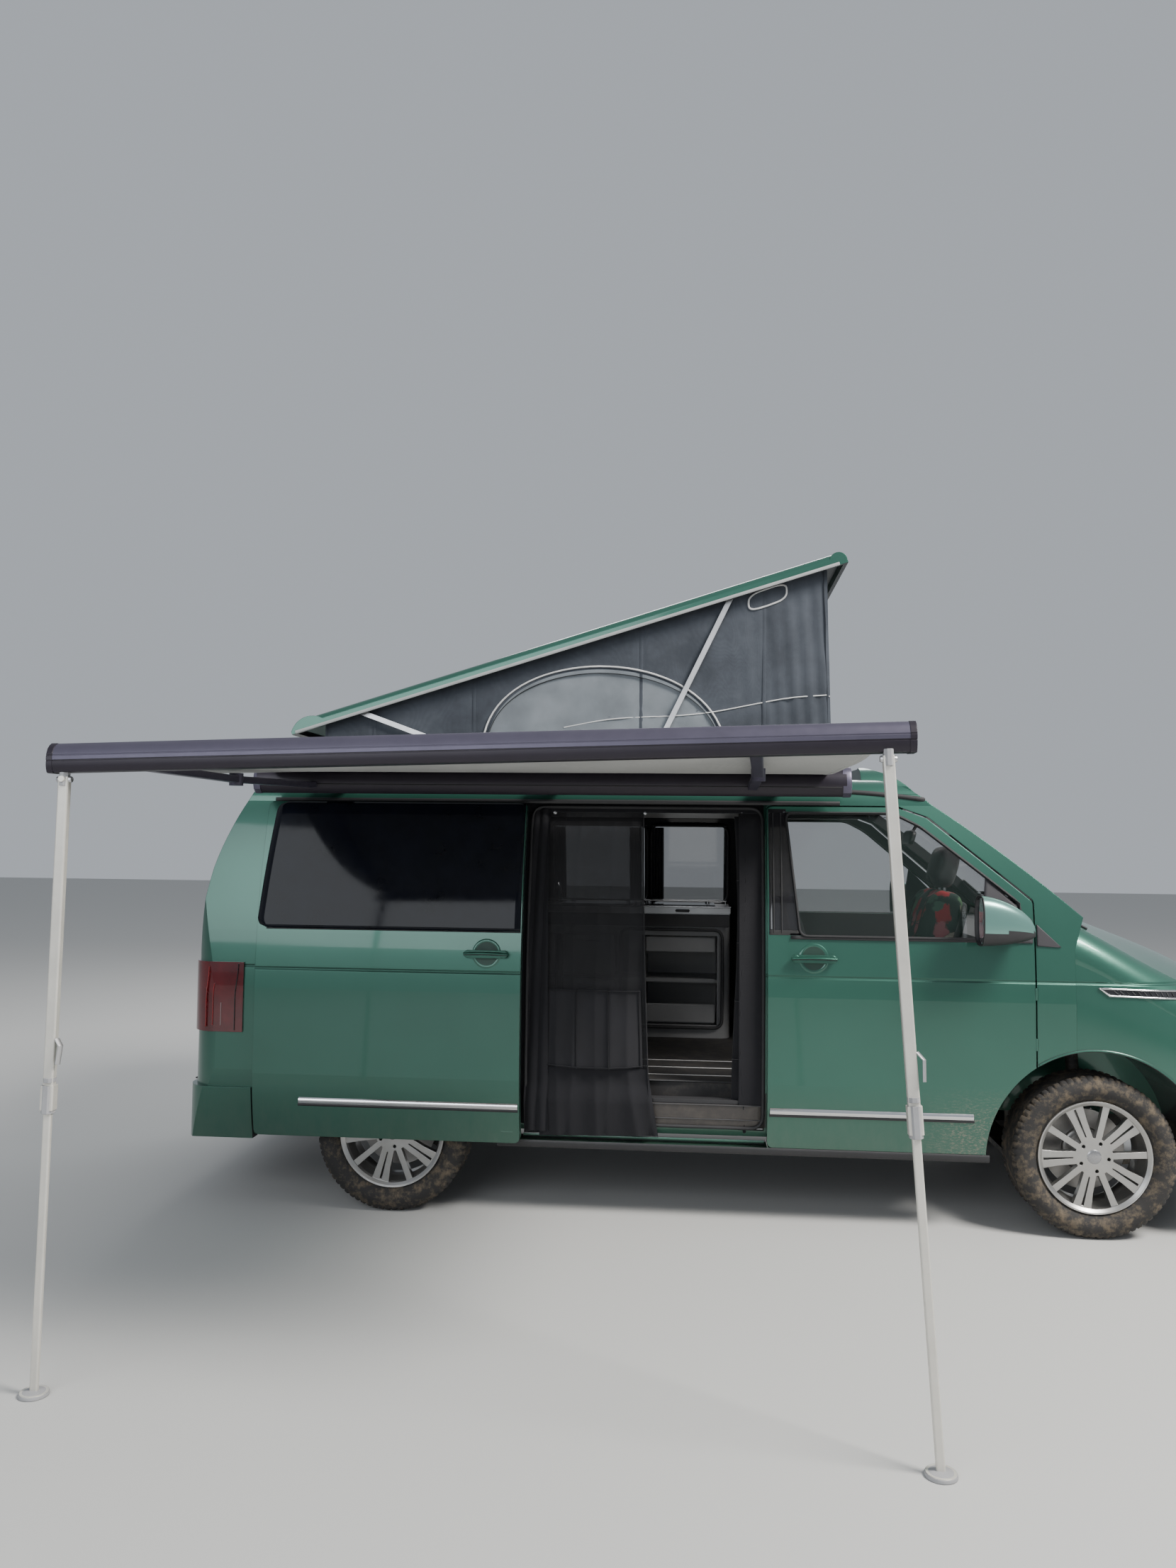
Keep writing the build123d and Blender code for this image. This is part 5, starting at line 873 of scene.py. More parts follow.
WHEEL_BODIES = {("front", RIGHT): "wheel_front_right", ("front", LEFT): "wheel_front_left",
                ("rear", RIGHT): "wheel_rear_right", ("rear", LEFT): "wheel_rear_left"}


def tyre(axle, x, hand):
    """A tyre with a blocked tread, sipes at the shoulder, a rim protector and raised sidewall rings."""
    side = SIDE_NAME[hand]
    centre = wheel_axis(x, hand)
    n = 72
    rows = [(0.2225, 0.087), (0.236, 0.0905), (0.246, 0.1015), (0.262, 0.111), (0.279, 0.1168),
            (0.296, 0.1155), (0.306, 0.1118), (0.312, 0.1095), (0.3225, 0.104), (0.333, 0.0925),
            (0.3368, 0.08), (0.3375, 0.058), (0.3378, 0.051), (0.3378, 0.022), (0.3378, 0.016)]
    profile = rows + [(r, -w) for r, w in reversed(rows)]
    axis = Vector((0, hand, 0))
    verts, faces = [], []
    m = len(profile)
    count = n * 4
    for i in range(count):
        a = 2 * math.pi * i / count
        cell = i % 4
        for r, w in profile:
            drop = 0.0
            shoulder = abs(w) > 0.051 and r > 0.31
            groove = abs(abs(w) - 0.0545) < 0.0045 or abs(abs(w) - 0.019) < 0.0035
            phase = (cell + (2 if w < 0 else 0)) % 4
            if r > 0.33 and groove:
                drop = 0.008
            elif shoulder and phase == 0:
                drop = 0.006 if r > 0.325 else 0.0025
            elif r > 0.33 and phase == 0 and abs(w) < 0.05:
                drop = 0.003
            rr = r - drop
            d = Vector((math.cos(a), 0, math.sin(a)))
            verts.append(centre + d * rr + axis * w)
    for i in range(count):
        j = (i + 1) % count
        for k in range(m - 1):
            faces.append((i * m + k, j * m + k, j * m + k + 1, i * m + k + 1))
    o = obj_from(f"tread_{axle}_{side}", verts, faces, TYRE, WHEEL_BODIES[(axle, hand)], "tyre_rubber", 0.5)
    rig.replaces(o, f"tyre_{axle}_{side}")
    return o


def wheel_trim(axle, x, hand):
    """Blank centre cap, five bolts in their wells drawn as near-black discs of painted shade, the brake disc's face,
    the rim's lip and the valve.
    """
    side = SIDE_NAME[hand]
    body = WHEEL_BODIES[(axle, hand)]
    axis = Vector((0, hand, 0))
    cap = lathe([(0.0, 0.0895), (0.02, 0.089), (0.029, 0.0865), (0.033, 0.0825), (0.0335, 0.078)],
                wheel_axis(x, hand), axis, 40)
    piece(f"cap_{axle}_{side}", cap, CAP, "alloy", body=body, smooth_angle=0.7)
    parts = []
    for k in range(5):
        a = math.radians(-8 + 72 * k)
        c = wheel_axis(x, hand) + Vector((-hand * math.cos(a) * 0.056, 0, math.sin(a) * 0.056))
        face = cast(f"rim_{axle}_{side}", c + axis * 0.3, -axis)
        rise = (face - c).dot(axis) - 0.0862 if face else 0.0
        c = c + axis * rise
        hexa = [(0.0, 0.0905), (0.0055, 0.0905), (0.0092, 0.089), (0.0095, 0.0845)]
        parts.append(lathe(hexa, c, axis, 6))
        parts.append(lathe([(0.0, 0.0870), (0.0150, 0.0874), (0.0165, 0.0870), (0.0170, 0.0852)], c, axis,
                           24))
    piece(f"bolts_{axle}_{side}", joined(parts), BOLT_WELL_SHADE, "alloy", body=body, smooth_angle=0.5)
    ring = lathe([(0.168, -0.0515), (0.13, -0.0512), (0.095, -0.0514), (0.092, -0.045), (0.085, -0.04),
                  (0.07, -0.039)], wheel_axis(x, hand), axis, 60)
    piece(f"brake_face_{axle}_{side}", ring, DISC, "cast_metal", body=body, smooth_angle=0.7)
    lip = lathe([(0.2295, 0.0995), (0.2325, 0.1012), (0.2335, 0.0995), (0.2338, 0.0955)],
                wheel_axis(x, hand), axis, 72)
    piece(f"rim_lip_{axle}_{side}", lip, ALLOY, "alloy", body=body, smooth_angle=0.7)
    valve = lathe([(0.0, 0.03), (0.0042, 0.029), (0.0045, 0.002), (0.006, 0.0)], wheel_axis(x, hand)
                  + Vector((-hand * math.cos(math.radians(94)) * 0.2, 0, math.sin(math.radians(94)) * 0.2))
                  + axis * 0.06, axis, 12)
    piece(f"valve_{axle}_{side}", valve, BLACK, body=body, smooth_angle=0.6)


CAP = plain("cap_silver", (0.30, 0.30, 0.31), 0.25, metal=0.8, coat=0.3)
# The bolts and the flat discs round them are near-black, standing in for the shade down in the bolt wells: painted
# shade.
BOLT_WELL_SHADE = plain("bolt_well_painted_shade", (0.012, 0.012, 0.012), 0.6, vary=0.05)
for axle, x in (("front", 0.0), ("rear", -WHEELBASE)):
    for hand, side in SIDES:
        tyre(axle, x, hand)
        wheel_trim(axle, x, hand)
        dress(f"rim_{axle}_{side}", ALLOY, 0.0025, 2, slot="alloy")

# Tent of the lifting roof
TENT_FOOT = 1.895
TENT_REAR = -3.440
LID_SLOPE = math.tan(LID_ANGLE)
CEILING = LID_REAR[1] + 0.0407 / math.cos(LID_ANGLE)


def tent_top(x):
    """Height of the tent under the lid."""
    return CEILING + (x - LID_REAR[0]) * LID_SLOPE - 0.003


def tent_front(v):
    """x of the tent's front edge, from the foot to the top."""
    return -1.048 - 0.026 * v


SEAMS = (-1.36, -1.93, -2.72, -3.2)


def side_fold(x, z, v, hand):
    """How far the side canvas stands in from its plane: slack folds, pleats near the front, pulled seams."""
    d = 0.006 + 0.005 * noise.noise(Vector((x * 2.1, hand * 3.0, z * 2.6)))
    slack = math.sin(math.pi * clamp(v))
    d += 0.007 * slack * noise.noise(Vector((x * 6.5 + z * 2.2, hand * 1.7, z * 3.3)))
    near = smooth(-1.62, -1.1, x)
    d += near * 0.011 * (0.5 + 0.5 * math.sin(x * 92 + z * 7.0)) * (1 - 0.5 * v)
    for s in SEAMS:
        d += 0.004 * math.exp(-((x - s) / 0.012) ** 2)
    d += 0.005 * math.exp(-((z - (2.173 + (x + 2.292) * 0.12)) / 0.012) ** 2)
    return d


def tent_side(hand):
    """One side wall of the tent."""
    def at(u, v):
        xf = tent_front(v)
        x = TENT_REAR + (xf - TENT_REAR) * u
        z = TENT_FOOT + (tent_top(x) - TENT_FOOT) * v
        d = side_fold(x, z, v, hand)
        return P(x, hand * (TENT_HALF - d), z)
    return grid(150, 44, at)


def squash_tent(o):
    """Fold a piece down with the lifting roof."""
    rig.squash(o, "roof_link", axis=(0, 0, 1), anchor=tuple(P(-2.2, 0, TENT_FOOT)), keep=0.07)


walls = [tent_side(RIGHT), tent_side(LEFT)]


def tent_end(front):
    """The front or rear wall of the tent."""
    def at(u, v):
        y = -0.6135 + 1.227 * u
        if front:
            x = tent_front(v)
            z = TENT_FOOT + (tent_top(x) - TENT_FOOT) * v
            edge = 1 - abs(2 * u - 1)
            d = 0.012 * math.sin(y * 46) * (1 - v) * smooth(0.0, 0.25,
                                                            edge) + 0.012 * noise.noise(Vector((y * 3.2,
                    5.0, z * 3)))
            return P(x - 0.012 - abs(d) * 0.8, y, z)
        x = TENT_REAR
        z = TENT_FOOT + (tent_top(x) - TENT_FOOT) * v
        return P(x + 0.012 + 0.006 * noise.noise(Vector((y * 4, 2.0, z * 5))), y, z)
    return grid(90, 40, at)


walls += [tent_end(True), tent_end(False)]
tent = piece("tent_canvas", joined(walls), TENT, "tent_cloth", smooth_angle=1.2)
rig.replaces(tent, "roof_tent")
area_tent = sum(p.area for p in tent.data.polygons)
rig.sheet(tent, flat=(7.2, 1.1), held="stretched", rests_on=["roof_lid", "roof_frame"],
         area=round(area_tent, 2))
squash_tent(tent)


def on_tent(x, z, hand=RIGHT, out=0.0):
    """A point on the tent's side wall."""
    v = (z - TENT_FOOT) / (tent_top(x) - TENT_FOOT)
    return P(x, hand * (TENT_HALF - side_fold(x, z, v, hand) + out), z)


def arch_pts(cx, z0, half, top, n=40, lean=0.0):
    """An arch-shaped outline on the tent, from the left foot over the top to the right foot."""
    pts = []
    for i in range(n + 1):
        a = math.pi * (1 - i / n)
        pts.append((cx + half * math.cos(a) + lean * math.sin(a), z0 + (top - z0) * math.sin(a) ** 0.8
                    if math.sin(a) > 0 else z0))
    return pts


for hand, tag in SIDES:
    edge = arch_pts(-2.105, 2.0, 0.575, 2.458, lean=-0.02)
    pipe = tube([on_tent(x, z, hand, 0.0035) for x, z in edge], 0.0045, 6)
    o = piece(f"window_piping_{tag}", pipe, PIPING, "tent_cloth", smooth_angle=0.6)
    squash_tent(o)
    tape = tube([on_tent(x * 0.965 - 0.0737, (z - 2.0) * 0.93 + 2.0, hand, 0.0025) for x, z in edge], 0.009,
                6, flat=(0.010, 0.0012))
    o = piece(f"window_zip_{tag}", tape, RUBBER, "tent_cloth", smooth_angle=0.6)
    squash_tent(o)

    def net_at(u, v, hand=hand):
        i = u * 40
        k = min(int(i), 39)
        x0, z0 = edge[k]
        x1, z1 = edge[k + 1]
        t = i - k
        x = x0 + (x1 - x0) * t
        z = z0 + (z1 - z0) * t
        cz = 2.0 + (z - 2.0) * v
        return on_tent(-2.105 + (x + 2.105) * 0.97, 2.0 + (cz - 2.0) * 0.97, hand, 0.0018)

    o = piece(f"window_net_{tag}", grid(60, 14, net_at), WINDOW_NET, "tent_cloth", smooth_angle=1.2)
    area_net = sum(p.area for p in o.data.polygons)
    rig.sheet(o, flat=(1.15, 0.46), held="stretched", rests_on=["tent_canvas"], area=round(area_net, 3))
    squash_tent(o)
    # Slanted rounded vent near the front top
    vent = []
    for i in range(36):
        a = 2 * math.pi * i / 36
        ex = 0.088 * (abs(math.cos(a)) ** 0.55) * (1 if math.cos(a) > 0 else -1)
        ez = 0.04 * (abs(math.sin(a)) ** 0.7) * (1 if math.sin(a) > 0 else -1)
        vent.append((-1.346 + ex, 2.78 + ez + ex * 0.34))
    ring = tube([on_tent(x, z, hand, 0.0035) for x, z in vent], 0.0045, 6, closed=True)
    o = piece(f"vent_piping_{tag}", ring, PIPING, "tent_cloth", smooth_angle=0.6)
    squash_tent(o)
    # Seams as folded-over strips
    strips = []
    for s in SEAMS:
        pts = [on_tent(s, 1.9 + (tent_top(s) - 1.905) * k / 14, hand, 0.003) for k in range(15)]
        strips.append(tube(pts, 0.01, 6, flat=(0.0012, 0.008)))
    o = piece(f"tent_seams_{tag}", joined(strips), TENT, "tent_cloth", smooth_angle=0.6)
    squash_tent(o)
    # Thin elastic drawn across the slack canvas
    cord_pts = []
    for k in range(25):
        t = k / 24
        x = -2.292 + t * (2.292 - 1.075)
        z = 2.170 + 0.147 * t + 0.012 * math.sin(t * 9)
        cord_pts.append(on_tent(x, z, hand, 0.0035))
    o = piece(f"tent_elastic_{tag}", tube(cord_pts, 0.003, 6), PIPING, "tent_cloth", smooth_angle=0.6)
    squash_tent(o)

front_cord = [P(tent_front((2.317 - TENT_FOOT) / (tent_top(-1.06) - TENT_FOOT)) - 0.004,
                -0.61 + 1.22 * k / 20, 2.317 - 0.01 * math.sin(math.pi * k / 20)) for k in range(21)]
o = piece("tent_elastic_front", tube(front_cord, 0.003, 6), PIPING, "tent_cloth", smooth_angle=0.6)
squash_tent(o)

# Awning
RAIL_SLOPE = math.atan2(0.070, 2.470)


def rail_z(x):
    """Height of the awning's lead rail."""
    return 1.930 - (-1.085 - x) * math.tan(RAIL_SLOPE)


def canopy_at(u, v):
    """A point of the canopy: u from rear to front, v from the case to the rail."""
    x = -3.510 + 2.38 * u
    y0, z0 = -1.0465, 1.930
    y1, z1 = -2.7285, rail_z(x) + 0.0225
    y = y0 + (y1 - y0) * v
    z = z0 + (z1 - z0) * v
    sag = 0.016 * 4 * v * (1 - v)
    sag += 0.010 * math.sin(math.pi * v) * (noise.noise(Vector((x * 1.4, y * 1.1, 0.3))))
    sag += 0.0035 * math.sin(math.pi * v) * math.sin(x * 11 + y * 5)
    rear_dip = 0.012 * math.exp(-(u / 0.05) ** 2) * v * (1 - v) * 4
    front_dip = 0.012 * math.exp(-((1 - u) / 0.05) ** 2) * v * (1 - v) * 4
    sag += rear_dip + front_dip
    return P(x, y, z - sag)


canopy = piece("canopy_cloth", grid(110, 60, canopy_at), CANOPY, "awning_cloth", smooth_angle=1.2)
canopy_area = sum(p.area for p in canopy.data.polygons)
thicken(canopy, 0.0016)
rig.replaces(canopy, "awning_canopy")
hems = []
for u in (0.0, 1.0):
    hems.append(tube([canopy_at(u, k / 30) for k in range(31)], 0.01, 6, flat=(0.011, 0.0024)))
hems.append(tube([canopy_at(k / 50, 0.985) for k in range(51)], 0.01, 6, flat=(0.010, 0.0022)))
piece("canopy_hems", joined(hems), CANOPY, "awning_cloth", smooth_angle=0.6)
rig.sheet(canopy, flat=(2.38, 1.69), held="stretched", rests_on=["awning_case", "awning_rail"],
         area=round(canopy_area, 3))

# Lead rail: dark body with a silver upper face, grooves and end caps
rail_dir = Vector((-math.cos(RAIL_SLOPE), 0, -math.sin(RAIL_SLOPE)))
start = P(-1.085, -2.760, 1.930)
sec = [(-0.031, -0.044), (0.018, -0.044), (0.0235, -0.0415), (0.0275, -0.032), (0.0295, -0.022),
       (0.0298, -0.012), (0.0285, -0.0105), (0.0285, -0.0085), (0.0302, -0.007), (0.0302, 0.004),
       (0.0285, 0.0055), (0.0285, 0.0075), (0.0292, 0.009), (0.0225, 0.026), (0.0125, 0.0365),
       (0.002, 0.0425), (-0.012, 0.042), (-0.026, 0.036), (-0.031, 0.031)]


def rail_band(name, pts, a, b, material, extra=0.0, close=False):
    """A length of the lead rail with a section of (out, up) points."""
    verts, faces = [], []
    for t in (a, (a + b) / 2, b):
        for w, h in pts:
            verts.append(start + rail_dir * t + Vector((0, -1, 0)) * (w * (1 + extra))
                         + Vector((0, 0, 1)) * (h * (1 + extra)))
    m = len(pts)
    last = m if close else m - 1
    for r in range(2):
        for k in range(last):
            k2 = (k + 1) % m
            faces.append((r * m + k, r * m + k2, (r + 1) * m + k2, (r + 1) * m + k))
    if close:
        faces.append(tuple(range(m - 1, -1, -1)))
        faces.append(tuple(range(2 * m, 3 * m)))
    return obj_from(name, verts, faces, material, "van_body", "awning_shell", 0.5)


lower = sec[:9] + [(-0.031, -0.007)]
upper = [(-0.031, -0.0065)] + sec[8:]
o = rail_band("rail_lower", lower, 0.004, 2.466, AWN_DARK, close=True)
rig.replaces(o, "awning_rail")
rail_band("rail_upper", upper, 0.004, 2.466, AWN_SILVER, close=True)
for a, b, tag in ((-0.012, 0.006, "front"), (2.464, 2.482, "rear")):
    rail_band(f"rail_cap_{tag}", sec, a, b, AWN_DARK, extra=0.035, close=True)

# Awning case with its end caps
o = dress("awning_case", AWN_DARK, 0.004, 3, slot="awning_shell")
CASE_SEC = [(0.898, 1.857), (1.030, 1.835), (1.052, 1.852), (1.060, 1.875), (1.056, 1.908), (1.048, 1.935),
            (1.030, 1.955), (0.996, 1.968), (0.958, 1.968), (0.898, 1.940)]


def case_cap(x0, x1, grow, tag):
    """An end cap of the awning case, rounded towards its outer face."""
    cy = sum(p[0] for p in CASE_SEC) / len(CASE_SEC)
    cz = sum(p[1] for p in CASE_SEC) / len(CASE_SEC)
    rings = []
    for t, k in ((0, 1.0), (0.1, 1.0), (0.75, 1.0), (0.93, 0.965), (1.0, 0.88)):
        rings.append([P(x0 + (x1 - x0) * t, -(cy + (y - cy) * (grow * k)), cz + (z - cz) * (grow * k))
                      for y, z in CASE_SEC])
    m = len(CASE_SEC)
    verts = [p for r in rings for p in r]
    faces = [(r * m + k, r * m + (k + 1) % m, (r + 1) * m + (k + 1) % m, (r + 1) * m + k)
             for r in range(len(rings) - 1) for k in range(m)]
    faces.append(tuple(range(m)))
    faces.append(tuple(range((len(rings) - 1) * m, len(rings) * m)))
    obj_from(f"case_cap_{tag}", verts, faces, AWN_SILVER, "van_body", "awning_shell", 0.5)


case_cap(-1.055, -1.018, 1.03, "front")
case_cap(-3.585, -3.618, 1.03, "rear")
lines = [tube([P(-3.58 + 2.52 * k, -y, z) for k in (0, 1)], 0.0022, 6) for y,
         z in ((1.0605, 1.874), (1.0565, 1.905))]
piece("case_grooves", joined(lines), RUBBER, "awning_shell", smooth_angle=0.6)

# Folding arms and legs get rounded edges, joints and clamps
dress("awning_arms", AWN_SILVER, 0.003, 2, slot="awning_metal")
dress("awning_legs", AWN_LEG, 0.0025, 2, slot="awning_metal")
LEGS = (((-3.522, -2.762, 1.806), (-3.587, -2.700, 0.0)), ((-1.150, -2.778, 1.876), (-1.031, -2.850, 0.0)))
for tag, (top, foot) in zip(("rear", "front"), LEGS):
    def along(t, top=top, foot=foot):
        return P(*(f + (q - f) * t for q, f in zip(top, foot)))
    a = (along(1) - along(0)).normalized()
    parts = [tube([along(0.455), along(0.5)], 0.024, 8, flat=(0.0235, 0.019))]
    parts.append(tube([along(0.505), along(0.512)], 0.024, 8, flat=(0.0215, 0.0175)))
    piece(f"leg_collar_{tag}", joined(parts), GREY_PLASTIC, "awning_metal", smooth_angle=0.5)
    lever = [along(0.575) + Vector((0.018, -0.004, 0)), along(0.565) + Vector((0.034, -0.012, 0)),
             along(0.535) + Vector((0.030, -0.016, 0))]
    piece(f"leg_lever_{tag}", tube(lever, 0.006, 8, flat=(0.009, 0.004)), STEEL, "awning_metal",
          smooth_angle=0.6)
    pinv = lathe([(0.0, 0.0235), (0.008, 0.023), (0.0095, 0.02), (0.0095, -0.02), (0.008, -0.023),
                  (0.0, -0.0235)], along(0.995), (1, 0, 0), 20)
    piece(f"leg_hinge_{tag}", pinv, STEEL, "awning_metal", smooth_angle=0.6)
    head = tube([along(0.985), along(1.0) + Vector((0, 0, 0.018))], 0.012, 8, flat=(0.0195, 0.0145))
    piece(f"leg_head_{tag}", head, GREY_PLASTIC, "awning_metal", smooth_angle=0.5)
    pad = lathe([(0.0, 0.016), (0.018, 0.0155), (0.03, 0.0125), (0.0415, 0.010), (0.043, 0.004),
                 (0.0425, 0.001), (0.0, 0.001)], P(foot[0], foot[1], 0), (0, 0, 1), 36)
    piece(f"leg_foot_{tag}", pad, GREY_PLASTIC, "awning_metal", smooth_angle=0.6)

# Fly screen
def screen_y(z):
    """How far out the fly screen hangs at a height."""
    return side_y(z) - 0.0485 + 0.034 * (1 - smooth(0.50, 0.60, z))


def screen_at(u, v):
    """A point of the fly screen: u from rear to front, v from top to foot."""
    z = SCREEN_TOP - (SCREEN_TOP - SCREEN_FOOT) * v
    right = -1.906 + 0.045 * v ** 1.5
    x = SCREEN_REAR + (right - SCREEN_REAR) * u
    fold = 0.008 * math.sin(u * 21 + 1.2 * v) * (0.35 + 0.65 * v) + 0.010 * noise.noise(Vector((x * 3, 2.0,
            z * 1.6))) * (0.3 + v)
    fold += 0.008 * smooth(0.82, 1.0, u) * math.sin(z * 9.0) * v
    return P(x, -(screen_y(z) - 0.012 - abs(fold)), z)


net = piece("screen_net", grid(90, 110, screen_at), NET, "screen_mesh", smooth_angle=1.4)
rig.replaces(net, "fly_screen")
net_area = sum(p.area for p in net.data.polygons)
hem_parts = []
for pts in ([screen_at(1.0, k / 60) for k in range(61)], [screen_at(k / 40, 1.0) for k in range(41)],
            [screen_at(k / 40, 0.0) for k in range(41)], [screen_at(0.0, k / 60) for k in range(61)]):
    hem_parts.append(tube(pts, 0.01, 6, flat=(0.013, 0.0022)))
piece("screen_hems", joined(hem_parts), CLOTH_BLACK, "screen_mesh", smooth_angle=0.6)
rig.sheet(net, flat=(0.56, 1.44), held="hung", rests_on=["body_side_right"], area=round(net_area, 3))
# The free half is tied back as a narrow bundle beside the front post
bundle = []
for k in range(50):
    t = k / 49
    z = SCREEN_TOP - 1.40 * t
    bundle.append(P(-1.462 + 0.012 * math.sin(t * 7), -(side_y(z) - 0.066), z))
bv, bf = tube(bundle, 0.02, 14, flat=(0.019, 0.008))
bv = [v + Vector((0, 0.003 * math.sin(i * 2.4), 0)) for i, v in enumerate(bv)]
obj_from("screen_bundle", bv, bf, CLOTH_BLACK, "van_body", "screen_mesh", 1.0)
studs = [lathe([(0.0, 0.004), (0.006, 0.0035), (0.0085, 0.001), (0.009, 0.0)],
               P(x, -(side_y(z) - 0.051), z), (0, -1, 0), 18) for x, z in ((-2.309, 1.766), (-1.467, 1.766),
        (-1.9, 1.766), (-2.405, 1.2), (-2.405, 0.8))]
piece("screen_studs", joined(studs), STEEL, "screen_mesh", smooth_angle=0.7)

# Body trim
def skin(x, z, hand, names, lift=0.0):
    """The outermost point of some CAD nodes beside a place on the van's side."""
    best = None
    for n in names:
        place = cast(n, P(x, hand * 1.5, z), Vector((0, -hand, 0)))
        if place and (best is None or hand * (place.y - best.y) > 0):
            best = place
    if best is None:
        return P(x, hand * side_y(z), z)
    best.y += hand * lift
    return best


def round_poly(pts, r, steps=6):
    """An outline with its corners rounded."""
    out = []
    n = len(pts)
    for i, p in enumerate(pts):
        p = Vector(p)
        a = Vector(pts[i - 1]) - p
        c = Vector(pts[(i + 1) % n]) - p
        rr = min(r, a.length * 0.45, c.length * 0.45)
        s = p + a.normalized() * rr
        e = p + c.normalized() * rr
        for k in range(steps + 1):
            t = k / steps
            out.append((1 - t) ** 2 * s + 2 * t * (1 - t) * p + t * t * e)
    return out


def dense(pts, step=0.06):
    """A closed outline with more points along it."""
    out = []
    n = len(pts)
    for i, p in enumerate(pts):
        q = pts[(i + 1) % n]
        k = max(1, int((Vector(q) - Vector(p)).length / step))
        for j in range(k):
            out.append(Vector(p).lerp(Vector(q), j / k))
    return out


def seal(name, outline, width, proud, hand, body, material, shift=(0, 0), closed=True,
         slot="black_plastic"):
    """A rounded rubber or plastic moulding that follows an outline on the body side."""
    pts = dense(outline)
    path = [P(p.x + shift[0], hand * (side_y(p.y) + proud * 0.3 + shift[1]), p.y) for p in pts]
    return piece(name, tube(path, width / 2, 8, closed=closed, flat=(width / 2, proud)), material, slot,
                 body=body)


def patch(name, x0, x1, z0, z1, lift, hand, body, material, shift=(0, 0), nu=14, nv=18,
          slot="black_plastic", thick=0.002, form=None):
    """A thin sheet on the body side, over a rectangle or a form of its own."""
    def at(u, v):
        x = x0 + (x1 - x0) * u
        z = z0 + (z1 - z0) * v
        if form:
            x, z = form(u, v)
        return P(x + shift[0], hand * (side_y(z) + lift + shift[1]), z)
    o = piece(name, grid(nu, nv, at), material, slot, body=body, smooth_angle=0.8)
    thicken(o, thick)
    return o


DOOR_WINDOW = [(-0.300, 1.240), (-0.300, 1.392), (-0.700, 1.716), (-0.810, 1.772), (-1.279, 1.772),
               (-1.222, 1.240)]
for hand, tag in SIDES:
    body = f"door_{tag}_body"
    seal(f"door_window_seal_{tag}", round_poly(DOOR_WINDOW, 0.035), 0.022, 0.006, hand, body, RUBBER)
    for x in (-1.300, -1.334):
        pts = [P(x, hand * (side_y(1.25 + 0.52 * k / 12) + 0.0042), 1.25 + 0.52 * k / 12)
               for k in range(13)]
        piece(f"door_guide_{tag}_{int(-x * 1000)}", tube(pts, 0.004, 6, flat=(0.0045, 0.003)), RUBBER,
              body=body, smooth_angle=0.6)
    patch(f"waist_seal_{tag}", -1.262, -0.305, 1.226, 1.242, 0.004, hand, body, RUBBER, nv=4, nu=30,
          thick=0.006)
    sb = side_band(-1.349, -0.502, 0.479, 0.508, 0.0085, hand)
    piece(f"door_bright_strip_{tag}", sb, CHROME, "body_paint", body=body)
    sb = side_band(-1.352, -0.498, 0.470, 0.4835, 0.004, hand)
    piece(f"door_strip_base_{tag}", sb, BLACK, body=body)

piece("slider_bright_strip", side_band(-2.336, -1.372, 0.479, 0.508, 0.0085, RIGHT, SLIDE), CHROME,
      "body_paint")
piece("slider_strip_base", side_band(-2.34, -1.372, 0.470, 0.4835, 0.004, RIGHT, SLIDE), BLACK)
piece("left_bright_strip", side_band(-2.50, -1.372, 0.482, 0.507, 0.0075, LEFT), CHROME, "body_paint")
piece("left_strip_base", side_band(-2.504, -1.372, 0.470, 0.4835, 0.004, LEFT), BLACK)
for hand, tag in SIDES:
    piece(f"rear_bright_strip_{tag}", side_band(-3.62, -3.50, 0.482, 0.507, 0.0075, hand), CHROME,
          "body_paint")
    piece(f"sill_skirt_{tag}", side_band(-2.53, -0.43, 0.300, 0.332, 0.006, hand, rows=7), BLACK)
for tag, x0, x1, z0, z1 in (("a", -1.500, -1.915, 1.260, 1.760), ("b", -1.965, -2.500, 1.260, 1.760),
                            ("c", -2.660, -3.540, 1.250, 1.765)):
    lean = 0.06 if x1 < -3 else 0
    seal(f"left_window_seal_{tag}", round_poly([(x0, z0), (x0, z1), (x1 + lean, z1), (x1 - lean, z0)],
                                               0.05), 0.02, 0.005, LEFT, "van_body", RUBBER)
seal("right_window_seal", round_poly([(-2.680, 1.250), (-2.680, 1.765), (-3.48, 1.765), (-3.60, 1.250)],
                                     0.05), 0.02, 0.005, RIGHT, "van_body", RUBBER)

# Gutter strips beside the roof
for hand, tag in SIDES:
    gut = [P(x, hand * 0.8125, 1.815) for x in [-3.60 + 2.56 * k / 30 for k in range(31)]]
    piece(f"gutter_{tag}", tube(gut, 0.006, 8, flat=(0.007, 0.010)), BLACK, smooth_angle=0.8)
